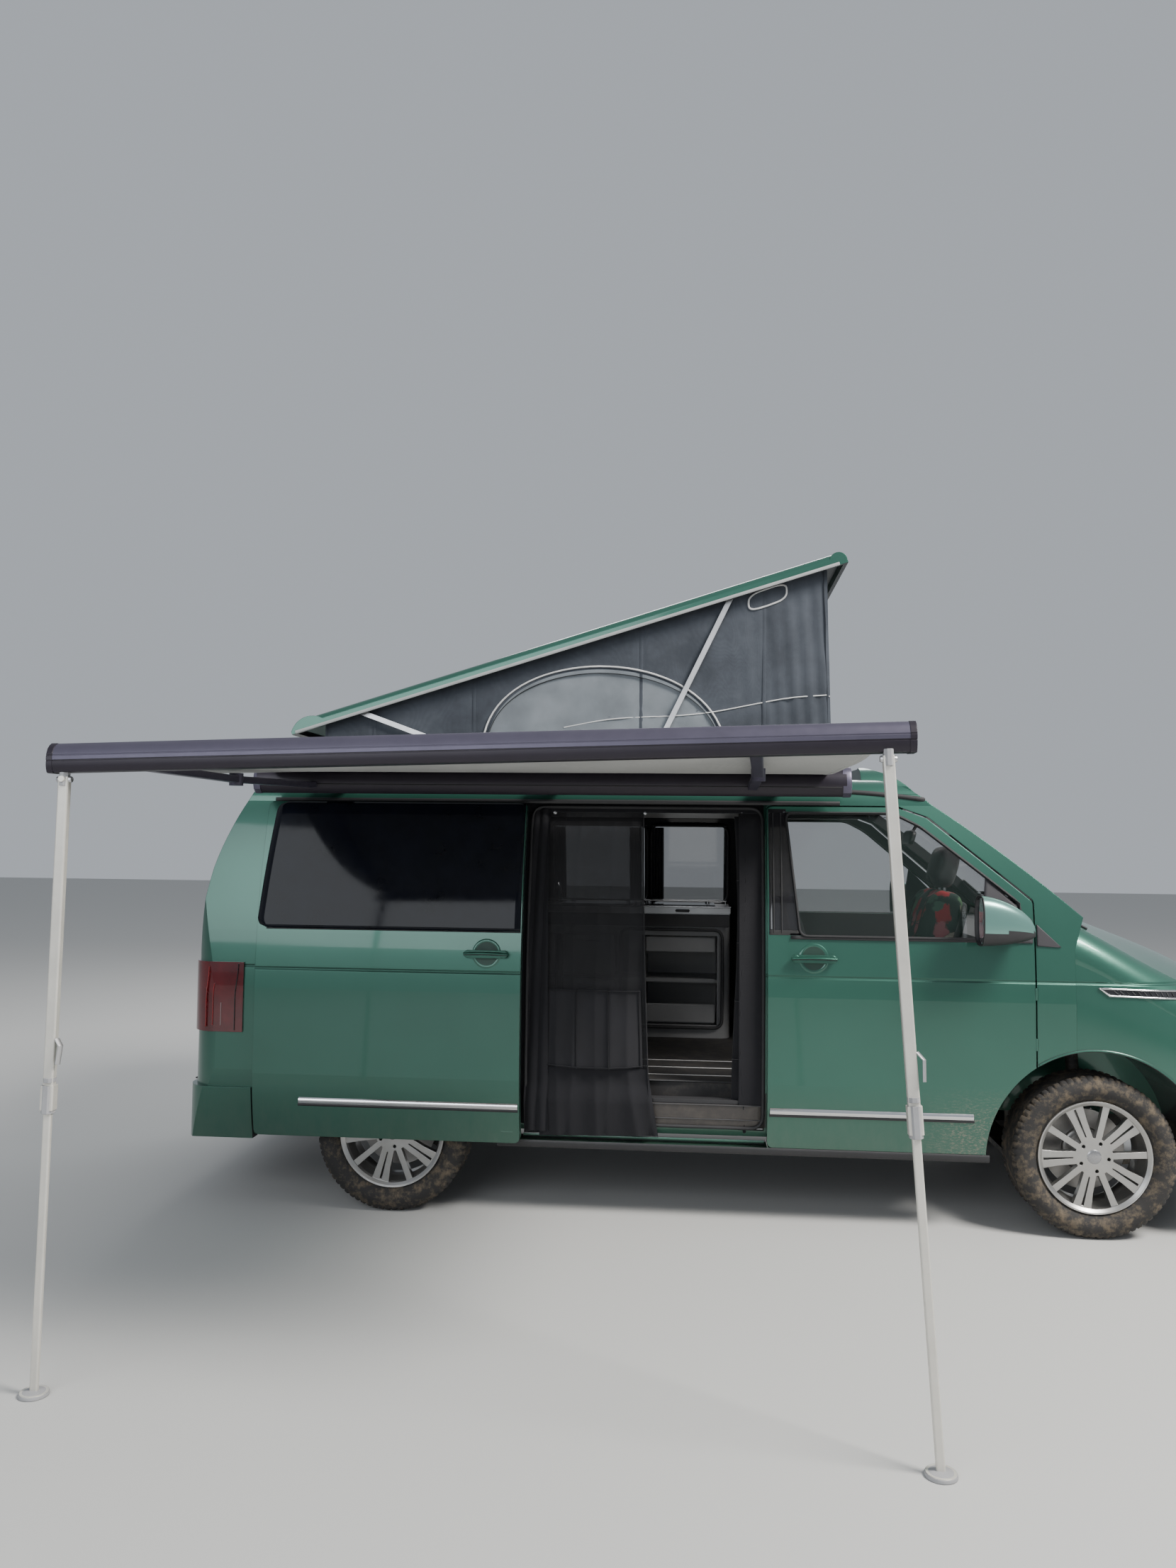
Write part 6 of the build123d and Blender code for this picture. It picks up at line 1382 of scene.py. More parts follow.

# Door handles: a round recess behind each grip, its dish darkened as painted shade
def handle_trim(name, x, hand, body, shift=(0, 0)):
    """Ring, dish darkened as painted shade, and grip of a door handle."""
    z = 1.146
    y = side_y(z)
    c = P(x + shift[0], hand * (y + shift[1]), z)
    def settle(form):
        return [v + Vector((0, hand * (side_y(v.z) - y), 0)) for v in form[0]], form[1]

    ring = settle(lathe([(0.048, 0.0006), (0.053, 0.0022), (0.0565, 0.0026), (0.060, 0.0020),
                         (0.064, 0.0004)], c, (0, hand, 0), 48))
    piece(f"{name}_recess", ring, PAINT_PLAIN, "body_paint", body=body, smooth_angle=0.5)
    dish = settle(lathe([(0.0, 0.0010), (0.02, 0.0010), (0.040, 0.0012), (0.050, 0.0016)], c, (0, hand, 0),
                        40))
    piece(f"{name}_shadow", dish, RECESS_SHADE, "body_paint", body=body, smooth_angle=0.8)
    bar = []
    for k in range(21):
        t = k / 20
        bx = x + 0.093 - 0.186 * t
        bow = 0.012 * math.sin(math.pi * t)
        bar.append(P(bx + shift[0], hand * (y + 0.022 + bow + shift[1]), z + 0.004 * math.sin(math.pi * t)))
    piece(f"{name}_grip", tube(bar, 0.015, 10, flat=(0.0145, 0.008)), PAINT_PLAIN, "body_paint", body=body)


handle_trim("door_handle_right", -1.165, RIGHT, "door_right_body")
handle_trim("door_handle_left", -1.165, LEFT, "door_left_body")
handle_trim("slider_handle", -1.516, RIGHT, "van_body", SLIDE)

# Door mirrors
def mirror_housing(hand, tag):
    """Door mirror: two-tone shell, its green painted lighter than the body's as painted light, bezel, glass and arm."""
    body = f"door_{tag}_body"
    xr, xf = -0.498, -0.277
    y0, y1 = 0.986, 1.1475
    z0, z1 = 1.223, 1.429
    cy, cz = (y0 + y1) / 2, (z0 + z1) / 2
    hy, hz = (y1 - y0) / 2, (z1 - z0) / 2

    def rim(a, k):
        c, s = math.cos(a), math.sin(a)
        e = 0.62
        yy = hy * abs(c) ** e * (1 if c >= 0 else -1)
        zz = hz * abs(s) ** e * (1 if s >= 0 else -1)
        return yy * k, zz * k

    rows, turns = 14, 44
    verts, faces = [], []
    for i in range(rows):
        t = i / (rows - 1)
        k = math.cos(t * math.pi / 2 * 0.985) ** 0.62 if i else 1.0
        x = xr + (xf - xr) * math.sin(t * math.pi / 2) ** 1.1
        for j in range(turns):
            yy, zz = rim(2 * math.pi * j / turns, k)
            zz = z0 - cz + (zz + cz - z0) * (1 - 0.52 * t ** 1.6)
            verts.append(P(x, hand * (cy + yy - 0.02 * t), cz + zz))
    for i in range(rows - 1):
        for j in range(turns):
            j2 = (j + 1) % turns
            faces.append((i * turns + j, i * turns + j2, (i + 1) * turns + j2, (i + 1) * turns + j))
    faces.append(tuple((rows - 1) * turns + j for j in range(turns)))
    shell = obj_from(f"mirror_shell_{tag}", verts, faces, MIRROR_LIT_PAINT, body, "body_paint", 0.9)
    shell.data.materials.append(BLACK)
    for p in shell.data.polygons:
        if p.center.z < z0 + 0.062:
            p.material_index = 1
    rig.replaces(shell, f"mirror_{tag}")
    bez, bf = [], []
    for k, dx in (((1.0, 0.0), (1.01, -0.004), (0.97, -0.0065), (0.93, -0.004), (0.915, 0.004))):
        for j in range(turns):
            yy, zz = rim(2 * math.pi * j / turns, k)
            bez.append(P(xr + dx, hand * (cy + yy), cz + zz))
    for i in range(4):
        for j in range(turns):
            j2 = (j + 1) % turns
            bf.append((i * turns + j, i * turns + j2, (i + 1) * turns + j2, (i + 1) * turns + j))
    obj_from(f"mirror_bezel_{tag}", bez, bf, BLACK, body, "black_plastic", 0.8)
    gl = [P(xr + 0.003, hand * (cy + rim(2 * math.pi * j / turns, 0.92)[0]),
            cz + rim(2 * math.pi * j / turns, 0.92)[1]) for j in range(turns)]
    obj_from(f"mirror_glass_{tag}", gl, [tuple(range(turns))], MIRROR_GLASS, body, "body_paint", 0.8)
    arm = [P(-0.335, hand * 0.928, 1.262), P(-0.345, hand * 0.955, 1.262), P(-0.352, hand * 0.985, 1.268),
           P(-0.36, hand * 1.02, 1.275)]
    piece(f"mirror_arm_{tag}", tube(arm, 0.03, 12, flat=(0.036, 0.021)), BLACK, body=body)


for hand, tag in SIDES:
    mirror_housing(hand, tag)

# Flush dark glass over the whole upper part of the sliding door
def flush_band(u, v):
    """The sliding door's dark glass, with a slanted rear edge and rounded corners."""
    z = 1.243 + 0.560 * v
    rear = -3.600 + 0.044 * v
    r = 0.045
    d = min(v, 1 - v) * 0.560
    if d < r:
        rear += r - math.sqrt(max(r * r - (r - d) ** 2, 0))
    return -2.4245 + (rear + 2.4245) * u, z


patch("slider_flush_glass", 0, 0, 0, 0, 0.0035, RIGHT, "van_body", PRIVACY_GLOSS, (0, 0.076), 40, 44,
      "dark_glass", 0.003, flush_band)
rim = [P(flush_band(u, 0)[0], -(side_y(1.243) + 0.0795), 1.2395) for u in [k / 30 for k in range(31)]]
piece("slider_glass_lip", tube(rim, 0.003, 6, flat=(0.004, 0.003)), RUBBER, smooth_angle=0.6)

# Black frames round the cab windows: wide behind the glass, narrow above and below it
for hand, tag in SIDES:
    body = f"door_{tag}_body"

    def post(u, v):
        z = 1.243 + 0.545 * v
        edge = -1.218 - 0.0575 * (z - 1.24) / 0.532
        return -1.3535 + (edge + 1.3535) * u, z

    patch(f"door_post_black_{tag}", 0, 0, 0, 0, 0.0008, hand, body, GLOSS_BLACK, (0, 0), 10, 22,
          "black_plastic", 0.002, post)
    frame_line = [Vector(p) for p in ((-1.279, 1.774), (-0.815, 1.774), (-0.702, 1.718), (-0.300, 1.3935),
                                      (-0.300, 1.30))]
    fine = []
    for a, c in zip(frame_line, frame_line[1:]):
        k = max(2, int((c - a).length / 0.05))
        fine += [a.lerp(c, j / k) for j in range(k)]
    fine.append(frame_line[-1])
    pts = [P(p.x, hand * (side_y(p.y) + 0.0005), p.y) for p in fine]
    piece(f"door_frame_black_{tag}", tube(pts, 0.01, 8, flat=(0.016, 0.0035)), BLACK, body=body)

    # Mirror corner: a dark triangle over the door's front corner and the wing, in two pieces
    for name, quad, owner, names in (("sail_door", ((-0.438, 1.503), (-0.2525, 1.3225), (-0.47, 1.2265),
                                                    (-0.2525, 1.2265)), body, [f"door_{tag}"]),
                                     ("sail_wing", ((-0.2365, 1.3075), (-0.138, 1.2125), (-0.2365, 1.2155),
                                                    (-0.148, 1.2115)), "van_body",
                                      [f"wing_{tag}", f"body_side_{tag}"])):
        def sheet_at(u, v, quad=quad, names=names):
            (ax, az), (bx, bz), (cx, cz), (dx, dz) = quad
            x = (ax + (bx - ax) * u) * (1 - v) + (cx + (dx - cx) * u) * v
            z = (az + (bz - az) * u) * (1 - v) + (cz + (dz - cz) * u) * v
            p = skin(x, z, hand, names, 0.0035)
            edge = P(x, hand * (side_y(z) + 0.0035), z)
            return p if hand * (p.y - edge.y) > 0 else edge
        o = piece(f"{name}_{tag}", grid(16, 16, sheet_at), SAIL, body=owner)
        thicken(o, 0.004)

# Doorway: seal, step edges, floor tracks and the ribs of the step
DOOR_X0, DOOR_X1 = -2.415, -1.372
ring = round_poly([(DOOR_X0 + 0.006, 0.405), (DOOR_X0 + 0.006, 1.792), (DOOR_X1 - 0.004, 1.792),
                   (DOOR_X1 - 0.004, 0.405)], 0.06)
pts = [P(p.x, -(side_y(p.y) - 0.043), p.y) for p in dense(ring)]
piece("doorway_seal", tube(pts, 0.009, 8, closed=True, flat=(0.010, 0.008)), RUBBER)
for k, (y, z) in enumerate(((0.852, 0.402), (0.7625, 0.576))):
    line = [P(x, -y, z) for x in (-2.405, -1.9, -1.378)]
    piece(f"step_nose_{k}", tube(line, 0.004, 8, flat=(0.010, 0.003)), PIPING if k == 0 else TRIM_GREY,
          "floor_covering", smooth_angle=0.8)
for k, y in enumerate((0.60, 0.42, 0.24)):
    v1, f1 = cuboid(P(-2.3, -y - 0.006, 0.5702), P(-1.45, -y + 0.006, 0.5722), 0.0006)
    obj_from(f"floor_track_{k}", v1, f1, PIPING, "van_body", "floor_covering")
for k in range(9):
    y = 0.775 + 0.008 * k
    v1, f1 = cuboid(P(-2.38, -y - 0.0015, 0.392), P(-1.40, -y + 0.0015, 0.3945), 0.0006)
    obj_from(f"step_rib_{k}", v1, f1, BLACK, "van_body", "floor_covering")


def organiser(u, v):
    """The hanging pockets on the front post."""
    z = 1.755 - 1.32 * v
    x = -1.500 + 0.10 * u + 0.012 * math.sin(v * 5)
    puffs = 0.016 * abs(math.sin(v * 11.5)) ** 0.6 * math.sin(math.pi * u) ** 0.7
    return P(x, -(side_y(z) - 0.075 + puffs + 0.004 * noise.noise(Vector((x * 14, 3, z * 9)))), z)


org = piece("post_organiser", grid(14, 90, organiser), CLOTH_BLACK, "screen_mesh", smooth_angle=1.2)
thicken(org, 0.003, 1)
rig.sheet(org, flat=(0.13, 1.32), held="hung", rests_on=["body_side_right"], area=round(0.12 * 1.36, 3))
strips = []
for z in (1.47, 1.2, 0.95, 0.7):
    strips.append(tube([organiser(u, (1.755 - z) / 1.32) + Vector((0, -0.004, 0))
                        for u in [k / 8 for k in range(9)]], 0.004, 6, flat=(0.006, 0.0015)))
piece("organiser_bindings", joined(strips), TRIM_GREY, "screen_mesh", smooth_angle=0.6)

# Screen door: an opaque gathered edge, a pocket panel and a heavy hem panel over the net
def gathered(u, v):
    """The gathered edge of the fly screen."""
    z = 1.782 - 1.41 * v
    x = SCREEN_REAR + 0.085 * u * (1 + 0.25 * v)
    out = screen_y(z) - 0.002 + 0.012 * abs(math.sin(u * 7 + v * 3)) + 0.004 * math.sin(v * 17 + u * 3)
    return P(x, -out, z)


gv = piece("screen_gathered_edge", grid(30, 90, gathered), CLOTH_BLACK, "screen_mesh", smooth_angle=1.4)
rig.sheet(gv, flat=(0.16, 1.42), held="hung", rests_on=["body_side_right"], area=0.2)


def hem_panel(u, v):
    """The heavy hem panel of the fly screen."""
    uu = 0.12 + 0.88 * u
    vv = 0.80 + 0.20 * v
    p = screen_at(uu, vv)
    return p + Vector((0.035 * smooth(0.6, 1, u) * v, -0.008 - 0.012 * abs(math.sin(u * 9 + v)) * v,
                       -0.012 * v * (1 - u)))


hp = piece("screen_hem_panel", grid(70, 26, hem_panel), CLOTH_BLACK, "screen_mesh", smooth_angle=1.2)
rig.sheet(hp, flat=(0.52, 0.30), held="hung", rests_on=["fly_screen"], area=0.155)


def pocket_panel(u, v):
    """The pocket panel of the fly screen."""
    p = screen_at(0.16 + 0.80 * u, 0.56 + 0.235 * v)
    sag = 0.022 * math.sin(math.pi * u) ** 0.6 * smooth(0, 0.6, v) * (0.6 + 0.4 * abs(math.sin(u * 6.3)))
    return p + Vector((0, -0.008 - sag, -0.01 * v * math.sin(math.pi * u)))


pk = piece("screen_pockets", grid(70, 34, pocket_panel), POCKET, "screen_mesh", smooth_angle=1.2)
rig.sheet(pk, flat=(0.48, 0.42), held="hung", rests_on=["fly_screen"], area=0.19)
seams = [tube([pocket_panel(u, v / 12) + Vector((0, -0.003, 0)) for v in range(13)], 0.003, 6,
              flat=(0.004, 0.0012)) for u in (0.02, 0.33, 0.66, 0.98)]
seams.append(tube([pocket_panel(k / 30, 0.02) + Vector((0, -0.003, 0)) for k in range(31)], 0.006, 6,
                  flat=(0.008, 0.0014)))
seams.append(tube([pocket_panel(k / 30, 0.98) + Vector((0, -0.003, 0)) for k in range(31)], 0.004, 6,
                  flat=(0.005, 0.0014)))
piece("screen_pocket_seams", joined(seams), CLOTH_BLACK, "screen_mesh", smooth_angle=0.6)

# Side panes: the far ones are lighter seen from inside, the near rear one is dark
src = NODES["side_glass"]
panes = link(bpy.data.objects.new("side_panes", src.data.copy()))
panes.data.materials.clear()
panes.data.materials.append(PRIVACY)
panes.data.materials.append(TINTED)
for p in panes.data.polygons:
    p.material_index = 1 if p.center.y > CENTRE else 0
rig.ride(panes, "van_body")
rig.slot(panes, "dark_glass")
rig.replaces(panes, "side_glass")

# Window surrounds, curtain rails and curtains inside the far wall, seen through the doorway
for tag, x0, x1 in (("a", -1.500, -1.915), ("b", -1.965, -2.500)):
    ring = dense(round_poly([(x0 + 0.02, 1.285), (x0 + 0.02, 1.745), (x1 - 0.02, 1.745),
                             (x1 - 0.02, 1.285)], 0.06))
    pts = [P(p.x, side_y(p.y) - 0.062, p.y) for p in ring]
    piece(f"inner_surround_{tag}", tube(pts, 0.02, 8, closed=True, flat=(0.022, 0.008)), BLACK)
    rail = [P(x, side_y(1.735) - 0.075, 1.735) for x in (x0 + 0.01, (x0 + x1) / 2, x1 - 0.01)]
    piece(f"curtain_rail_{tag}", tube(rail, 0.006, 8), TRIM_GREY)


def curtain(x0, x1):
    """A gathered curtain between two places."""
    def at(u, v):
        z = 1.725 - 0.42 * v
        x = x0 + (x1 - x0) * u
        return P(x, side_y(z) - 0.076 + 0.008 * math.sin(u * 26 + 0.6 * math.sin(v * 3)), z)
    return at


for tag, x0, x1 in (("a", -1.925, -1.855), ("b", -1.985, -2.055), ("c", -2.43, -2.505)):
    c = piece(f"curtain_{tag}", grid(36, 30, curtain(x0, x1)), CURTAIN, "seat_fabric", smooth_angle=1.4)
    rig.sheet(c, flat=(0.14, 0.42), held="gathered", rests_on=["body_side_left"])

# Kitchen front
face = 0.4385


def kit(name, x0, x1, y0, y1, z0, z1, mat, ch=0.004, slot="cabinet_board"):
    """A chamfered board of the kitchen."""
    return piece(name, cuboid(P(min(x0, x1), min(y0, y1), z0), P(max(x0, x1), max(y0, y1), z1), ch), mat,
                 slot, smooth_angle=0.5)


kit("worktop_edge", -1.478, -3.05, face - 0.016, face, 1.245, 1.286, WORKTOP_RAIL, 0.005)
kit("worktop_lip", -1.474, -3.05, face - 0.022, face - 0.012, 1.282, 1.290, CHROME_SOFT, 0.002)
kit("worktop_latch", -1.70, -1.78, face - 0.024, face - 0.014, 1.256, 1.272, TRIM_GREY, 0.004)
kit("kitchen_shadow_band", -1.485, -3.045, face - 0.010, face - 0.001, 1.176, 1.243, TRIM_GREY, 0.002)
ring = dense(round_poly([(-1.522, 0.628), (-1.522, 1.160), (-2.08, 1.160), (-2.08, 0.628)], 0.05), 0.03)
piece("cupboard_frame", tube([P(p.x, face - 0.008, p.y) for p in ring], 0.012, 8, closed=True,
                             flat=(0.014, 0.009)), TRIM_GREY, "cabinet_board")
kit("drawer_top", -1.56, -2.05, face + 0.012, face + 0.03, 1.035, 1.118, BOARD, 0.004)
kit("shelf_lip_mid", -1.56, -2.05, face + 0.008, face + 0.028, 0.868, 0.892, BOARD, 0.004)
kit("basket_front", -1.56, -2.05, face + 0.006, face + 0.024, 0.650, 0.752, BOARD, 0.006)
for x in (-1.95, -2.42):
    kit(f"kitchen_divider_edge_{int(-x * 100)}", x - 0.012, x + 0.012, face - 0.006, face - 0.0005, 0.64,
        1.126, TRIM_GREY, 0.002)
for k, (x0, x1) in enumerate(((-2.11, -2.40), (-2.44, -2.72), (-2.75, -2.96))):
    kit(f"drawer_front_{k}a", x0, x1, face - 0.010, face - 0.0005, 0.90, 1.13, BOARD, 0.005)
    kit(f"drawer_front_{k}b", x0, x1, face - 0.010, face - 0.0005, 0.645, 0.885, BOARD, 0.005)
    for z in (1.09, 0.85):
        pts = [P(x0 + (x1 - x0) * t, face - 0.012 - 0.010 * math.sin(math.pi * (t - 0.3) / 0.4), z)
               for t in (0.3, 0.38, 0.5, 0.62, 0.7)]
        piece(f"drawer_pull_{k}_{int(z * 100)}", tube(pts, 0.004, 8), CHROME_SOFT, "steel_bar")
# Glass lids over the hob and sink, tap and a small rail
kit("hob_lid", -1.56, -1.98, 0.50, 0.80, 1.2845, 1.292, GLOSS_BLACK, 0.003)
kit("sink_lid", -2.02, -2.42, 0.50, 0.80, 1.2845, 1.292, GLOSS_BLACK, 0.003)
for k, x in enumerate((-1.60, -1.94, -2.06, -2.38)):
    hv = lathe([(0, 0.014), (0.011, 0.013), (0.014, 0.009), (0.014, 0.0)], P(x, 0.79, 1.292), (0, 0, 1), 20)
    piece(f"lid_hinge_{k}", hv, CHROME_SOFT, "steel_bar", smooth_angle=0.6)
tap = [P(-2.46, 0.76, 1.285), P(-2.46, 0.76, 1.37), P(-2.46, 0.735, 1.395), P(-2.46, 0.68, 1.395),
       P(-2.46, 0.655, 1.375)]
piece("tap", tube(tap, 0.009, 12), CHROME_SOFT, "steel_bar", smooth_angle=1.0)
pts = [P(x, 0.452, 1.318) for x in (-1.50, -2.0, -2.5, -2.99)]
piece("worktop_rail", tube(pts, 0.005, 10), CHROME_SOFT, "steel_bar", smooth_angle=1.0)
for k, x in enumerate((-1.505, -2.0, -2.5, -2.985)):
    piece(f"worktop_rail_post_{k}", tube([P(x, 0.452, 1.285), P(x, 0.452, 1.318)], 0.004, 8), CHROME_SOFT,
          "steel_bar", smooth_angle=1.0)

# Wing side strip: a bright outline round a dark ribbed inlay, left blank
for hand, tag in SIDES:
    top = [skin(x, z, hand, [f"wing_{tag}"], 0.004) for x, z in [(0.010 + 0.40 * t, 1.046 - 0.010 * t)
            for t in [k / 16 for k in range(17)]]]
    low = [skin(x, z, hand, [f"wing_{tag}"], 0.004) for x, z in [(0.052 + 0.358 * t, 1.016 - 0.010 * t)
            for t in [k / 16 for k in range(17)]]]
    loop = top + low[::-1]
    piece(f"wing_strip_rim_{tag}", tube(loop, 0.004, 8, closed=True, flat=(0.0042, 0.0042)), CHROME,
          "body_paint")
    verts = []
    for a, c in zip(top, low):
        verts += [a - Vector((0, hand * 0.002, 0)), c - Vector((0, hand * 0.002, 0))]
    faces = [(2 * i, 2 * i + 2, 2 * i + 3, 2 * i + 1) for i in range(16)]
    obj_from(f"wing_strip_inlay_{tag}", verts, faces, GLOSS_BLACK, "van_body", "black_plastic", 0.9)
    rows = []
    for t in [0.16 + 0.05 * k for k in range(16)]:
        i = min(int(t * 16), 15)
        a, c = top[i], low[i]
        rows.append(tube([a.lerp(c, 0.25), a.lerp(c, 0.75)], 0.0015, 6))
    piece(f"wing_strip_ribs_{tag}", joined(rows), TRIM_GREY)

# Dark strip beside the fixed cap
for hand, tag in SIDES:
    pts = []
    for k in range(26):
        t = k / 25
        x = -1.03 + 0.365 * t
        z = 1.868 - 0.034 * t ** 1.6
        pts.append(skin(x, z, hand, ["roof_cap", "roof_frame", f"body_side_{tag}"], 0.001))
    piece(f"cap_seal_{tag}", tube(pts, 0.012, 8, flat=(0.011, 0.011)), RUBBER)

# Doorway linings over the recessed frame: sill riser, front post, rear post and header
for tag, x0, x1, z0, z1, mat in (("riser", -2.415, -1.372, 0.402, 0.5055, STEP_BROWN),
                                 ("post_front", -1.482, -1.371, 0.395, 1.80, CLOTH_BLACK),
                                 ("post_rear", -2.46, -2.395, 0.395, 1.80, CLOTH_BLACK),
                                 ("header", -2.46, -1.371, 1.768, 1.812, CLOTH_BLACK)):
    patch(f"doorway_{tag}", x0, x1, z0, z1, -0.0475, RIGHT, "van_body", mat, (0, 0), 26, 14,
          "black_plastic", 0.003)
for z, w in ((0.404, 0.004), (0.440, 0.002), (0.503, 0.003)):
    line = [P(x, -(side_y(z) - 0.0445), z) for x in (-2.41, -2.1, -1.8, -1.376)]
    piece(f"riser_edge_{int(z * 1000)}", tube(line, w, 6, flat=(w, 0.0022)), WORKTOP_RAIL if z < 0.41
          else TRIM_GREY, "floor_covering", smooth_angle=0.8)

# Sill: a body-coloured ledge with a dark joint above it
piece("sill_ledge", side_band(-2.42, -1.37, 0.334, 0.352, 0.004, RIGHT, (0, -0.045)), PAINT_PLAIN,
      "body_paint")
for hand, tag in SIDES:
    for ax, name in ((0.0, "front"), (-WHEELBASE, "rear")):
        pts = []
        owner = {"front": [f"wing_{tag}", f"door_{tag}", f"body_side_{tag}"], "rear": [f"body_side_{tag}",
                "rear_bumper"]}[name]
        for k in range(49):
            ang = math.radians(6 + 168 * k / 48)
            x, z = ax + ARCH_LIP * math.cos(ang), WHEEL_Z + ARCH_LIP * math.sin(ang)
            if z < 0.36:
                continue
            pts.append(skin(x, z, hand, owner, -0.001))
        split = [p for p in pts if name == "rear" or p.x > AXLE - 0.24]
        piece(f"arch_lip_{name}_{tag}", tube(split, 0.006, 8, flat=(0.006, 0.006)), PAINT_PLAIN,
              "body_paint")

# Lid: pale lower trim all round and a dark front cap
LID_COS = math.cos(LID_ANGLE)
LID_SIN = math.sin(LID_ANGLE)


def on_lid(a, y, upz):
    """A point a along the lid from its rear edge, y across and upz above its lower face."""
    return P(LID_REAR[0] + a * LID_COS - upz * LID_SIN, y, LID_REAR[1] + a * LID_SIN + upz * LID_COS)


for hand, tag in SIDES:
    pts = [on_lid(0.02 + 2.66 * k / 40, hand * 0.6735, 0.006) for k in range(41)]
    piece(f"lid_trim_{tag}", tube(pts, 0.006, 8, flat=(0.004, 0.008)), TRIM_PALE, body="roof_lid_body")
pts = []
for k in range(27):
    start = on_lid(2.95, -0.65 + 1.3 * k / 26, 0.022)
    place = cast("roof_lid", start, Vector((-LID_COS, 0, -LID_SIN)))
    if place:
        pts.append(place + Vector((LID_COS, 0, LID_SIN)) * 0.0004)
piece("lid_front_cap", tube(pts, 0.012, 8, flat=(0.0016, 0.012)), BLACK, body="roof_lid_body")
pts = [on_lid(-0.0015, y, 0.006) for y in [-0.65 + 1.3 * k / 20 for k in range(21)]]
piece("lid_rear_trim", tube(pts, 0.006, 8, flat=(0.004, 0.006)), TRIM_PALE, body="roof_lid_body")
for hand in (RIGHT, LEFT):
    pts = [on_lid(0.5 + 1.9 * k / 20, hand * 0.52, 0.0658) for k in range(21)]
    piece(f"lid_rib_{'r' if hand < 0 else 'l'}", tube(pts, 0.01, 8, flat=(0.010, 0.004)), PAINT_PLAIN,
          "body_paint", body="roof_lid_body", smooth_angle=1.0)
# Cushions
def floral():
    """A dark woven cover printed with red, cream and leaf-green blooms."""
    m, nt, b = nodes_of("floral_cover")
    cells = new(nt, "ShaderNodeTexVoronoi")
    cells.inputs["Scale"].default_value = 13
    warp = noise_tex(nt, 30, 3, 0.6)
    co = new(nt, "ShaderNodeTexCoord")
    add = new(nt, "ShaderNodeVectorMath", operation="MULTIPLY_ADD")
    add.inputs[1].default_value = (0.05, 0.05, 0.05)
    nt.links.new(warp.outputs["Color"], add.inputs[0])
    nt.links.new(co.outputs["Object"], add.inputs[2])
    nt.links.new(add.outputs[0], cells.inputs["Vector"])
    pick = new(nt, "ShaderNodeSeparateColor")
    nt.links.new(cells.outputs["Color"], pick.inputs[0])
    hue = ramp(nt, pick.outputs[0], ((0.0, (0.42, 0.035, 0.045)), (0.3, (0.10, 0.20, 0.10)),
                                     (0.5, (0.55, 0.50, 0.40)), (0.62, (0.06, 0.13, 0.09)),
                                     (0.8, (0.45, 0.14, 0.16))))
    hue.color_ramp.interpolation = "CONSTANT"
    flower = ramp(nt, cells.outputs["Distance"], ((0.40, (1, 1, 1)), (0.52, (0, 0, 0))))
    col = mix_rgb(nt, flower.outputs["Color"], (0.022, 0.045, 0.036), hue.outputs["Color"])
    nt.links.new(col, b.inputs["Base Color"])
    b.inputs["Roughness"].default_value = 0.9
    weave = noise_tex(nt, 500, 2, 0.5)
    bump(nt, b, weave.outputs["Fac"], 0.3, 0.001)
    return m


FLORAL = floral()
MATTRESS = woven("mattress_ticking", (0.23, 0.235, 0.24), thread=420, strength=0.3, stain=0.1)
SEAT_SEAM = woven("seam_thread", (0.012, 0.012, 0.014), thread=700, strength=0.2)


def loaf(c, u, v, w, size, bolster=0.0, edge=0.30, crown=0.0, n=14):
    """A closed cushion form: a round-edged box with raised side bolsters and a crown towards w."""
    u, v, w = Vector(u).normalized(), Vector(v).normalized(), Vector(w).normalized()
    verts, faces, index = [], [], {}

    def point(a, b_, c_):
        key = (round(a, 5), round(b_, 5), round(c_, 5))
        if key not in index:
            p = [a, b_, c_]
            k = sum(abs(q) ** (2 / edge) for q in p) ** (edge / 2)
            p = [q / k for q in p]
            lift = bolster * smooth(0.5, 0.92, abs(p[0])) * (1 if p[2] > 0 else 0) * clamp(p[2] * 2)
            lift += crown * (1 - p[0] ** 2) * (1 - p[1] ** 2) * (1 if p[2] > 0 else 0)
            index[key] = len(verts)
            place = c + u * p[0] * size[0] / 2 + v * p[1] * size[1] / 2
            verts.append(place + w * (p[2] * size[2] / 2 + lift))
        return index[key]

    for axis in range(3):
        for sign in (-1, 1):
            for i in range(n):
                for j in range(n):
                    quad = []
                    for di, dj in ((0, 0), (1, 0), (1, 1), (0, 1)):
                        s = math.tan((2 * (i + di) / n - 1) * math.pi / 4)
                        t = math.tan((2 * (j + dj) / n - 1) * math.pi / 4)
                        q = [0, 0, 0]
                        q[axis] = sign
                        q[(axis + 1) % 3] = s
                        q[(axis + 2) % 3] = t
                        quad.append(point(*q))
                    faces.append(tuple(quad if sign > 0 else quad[::-1]))
    return verts, faces


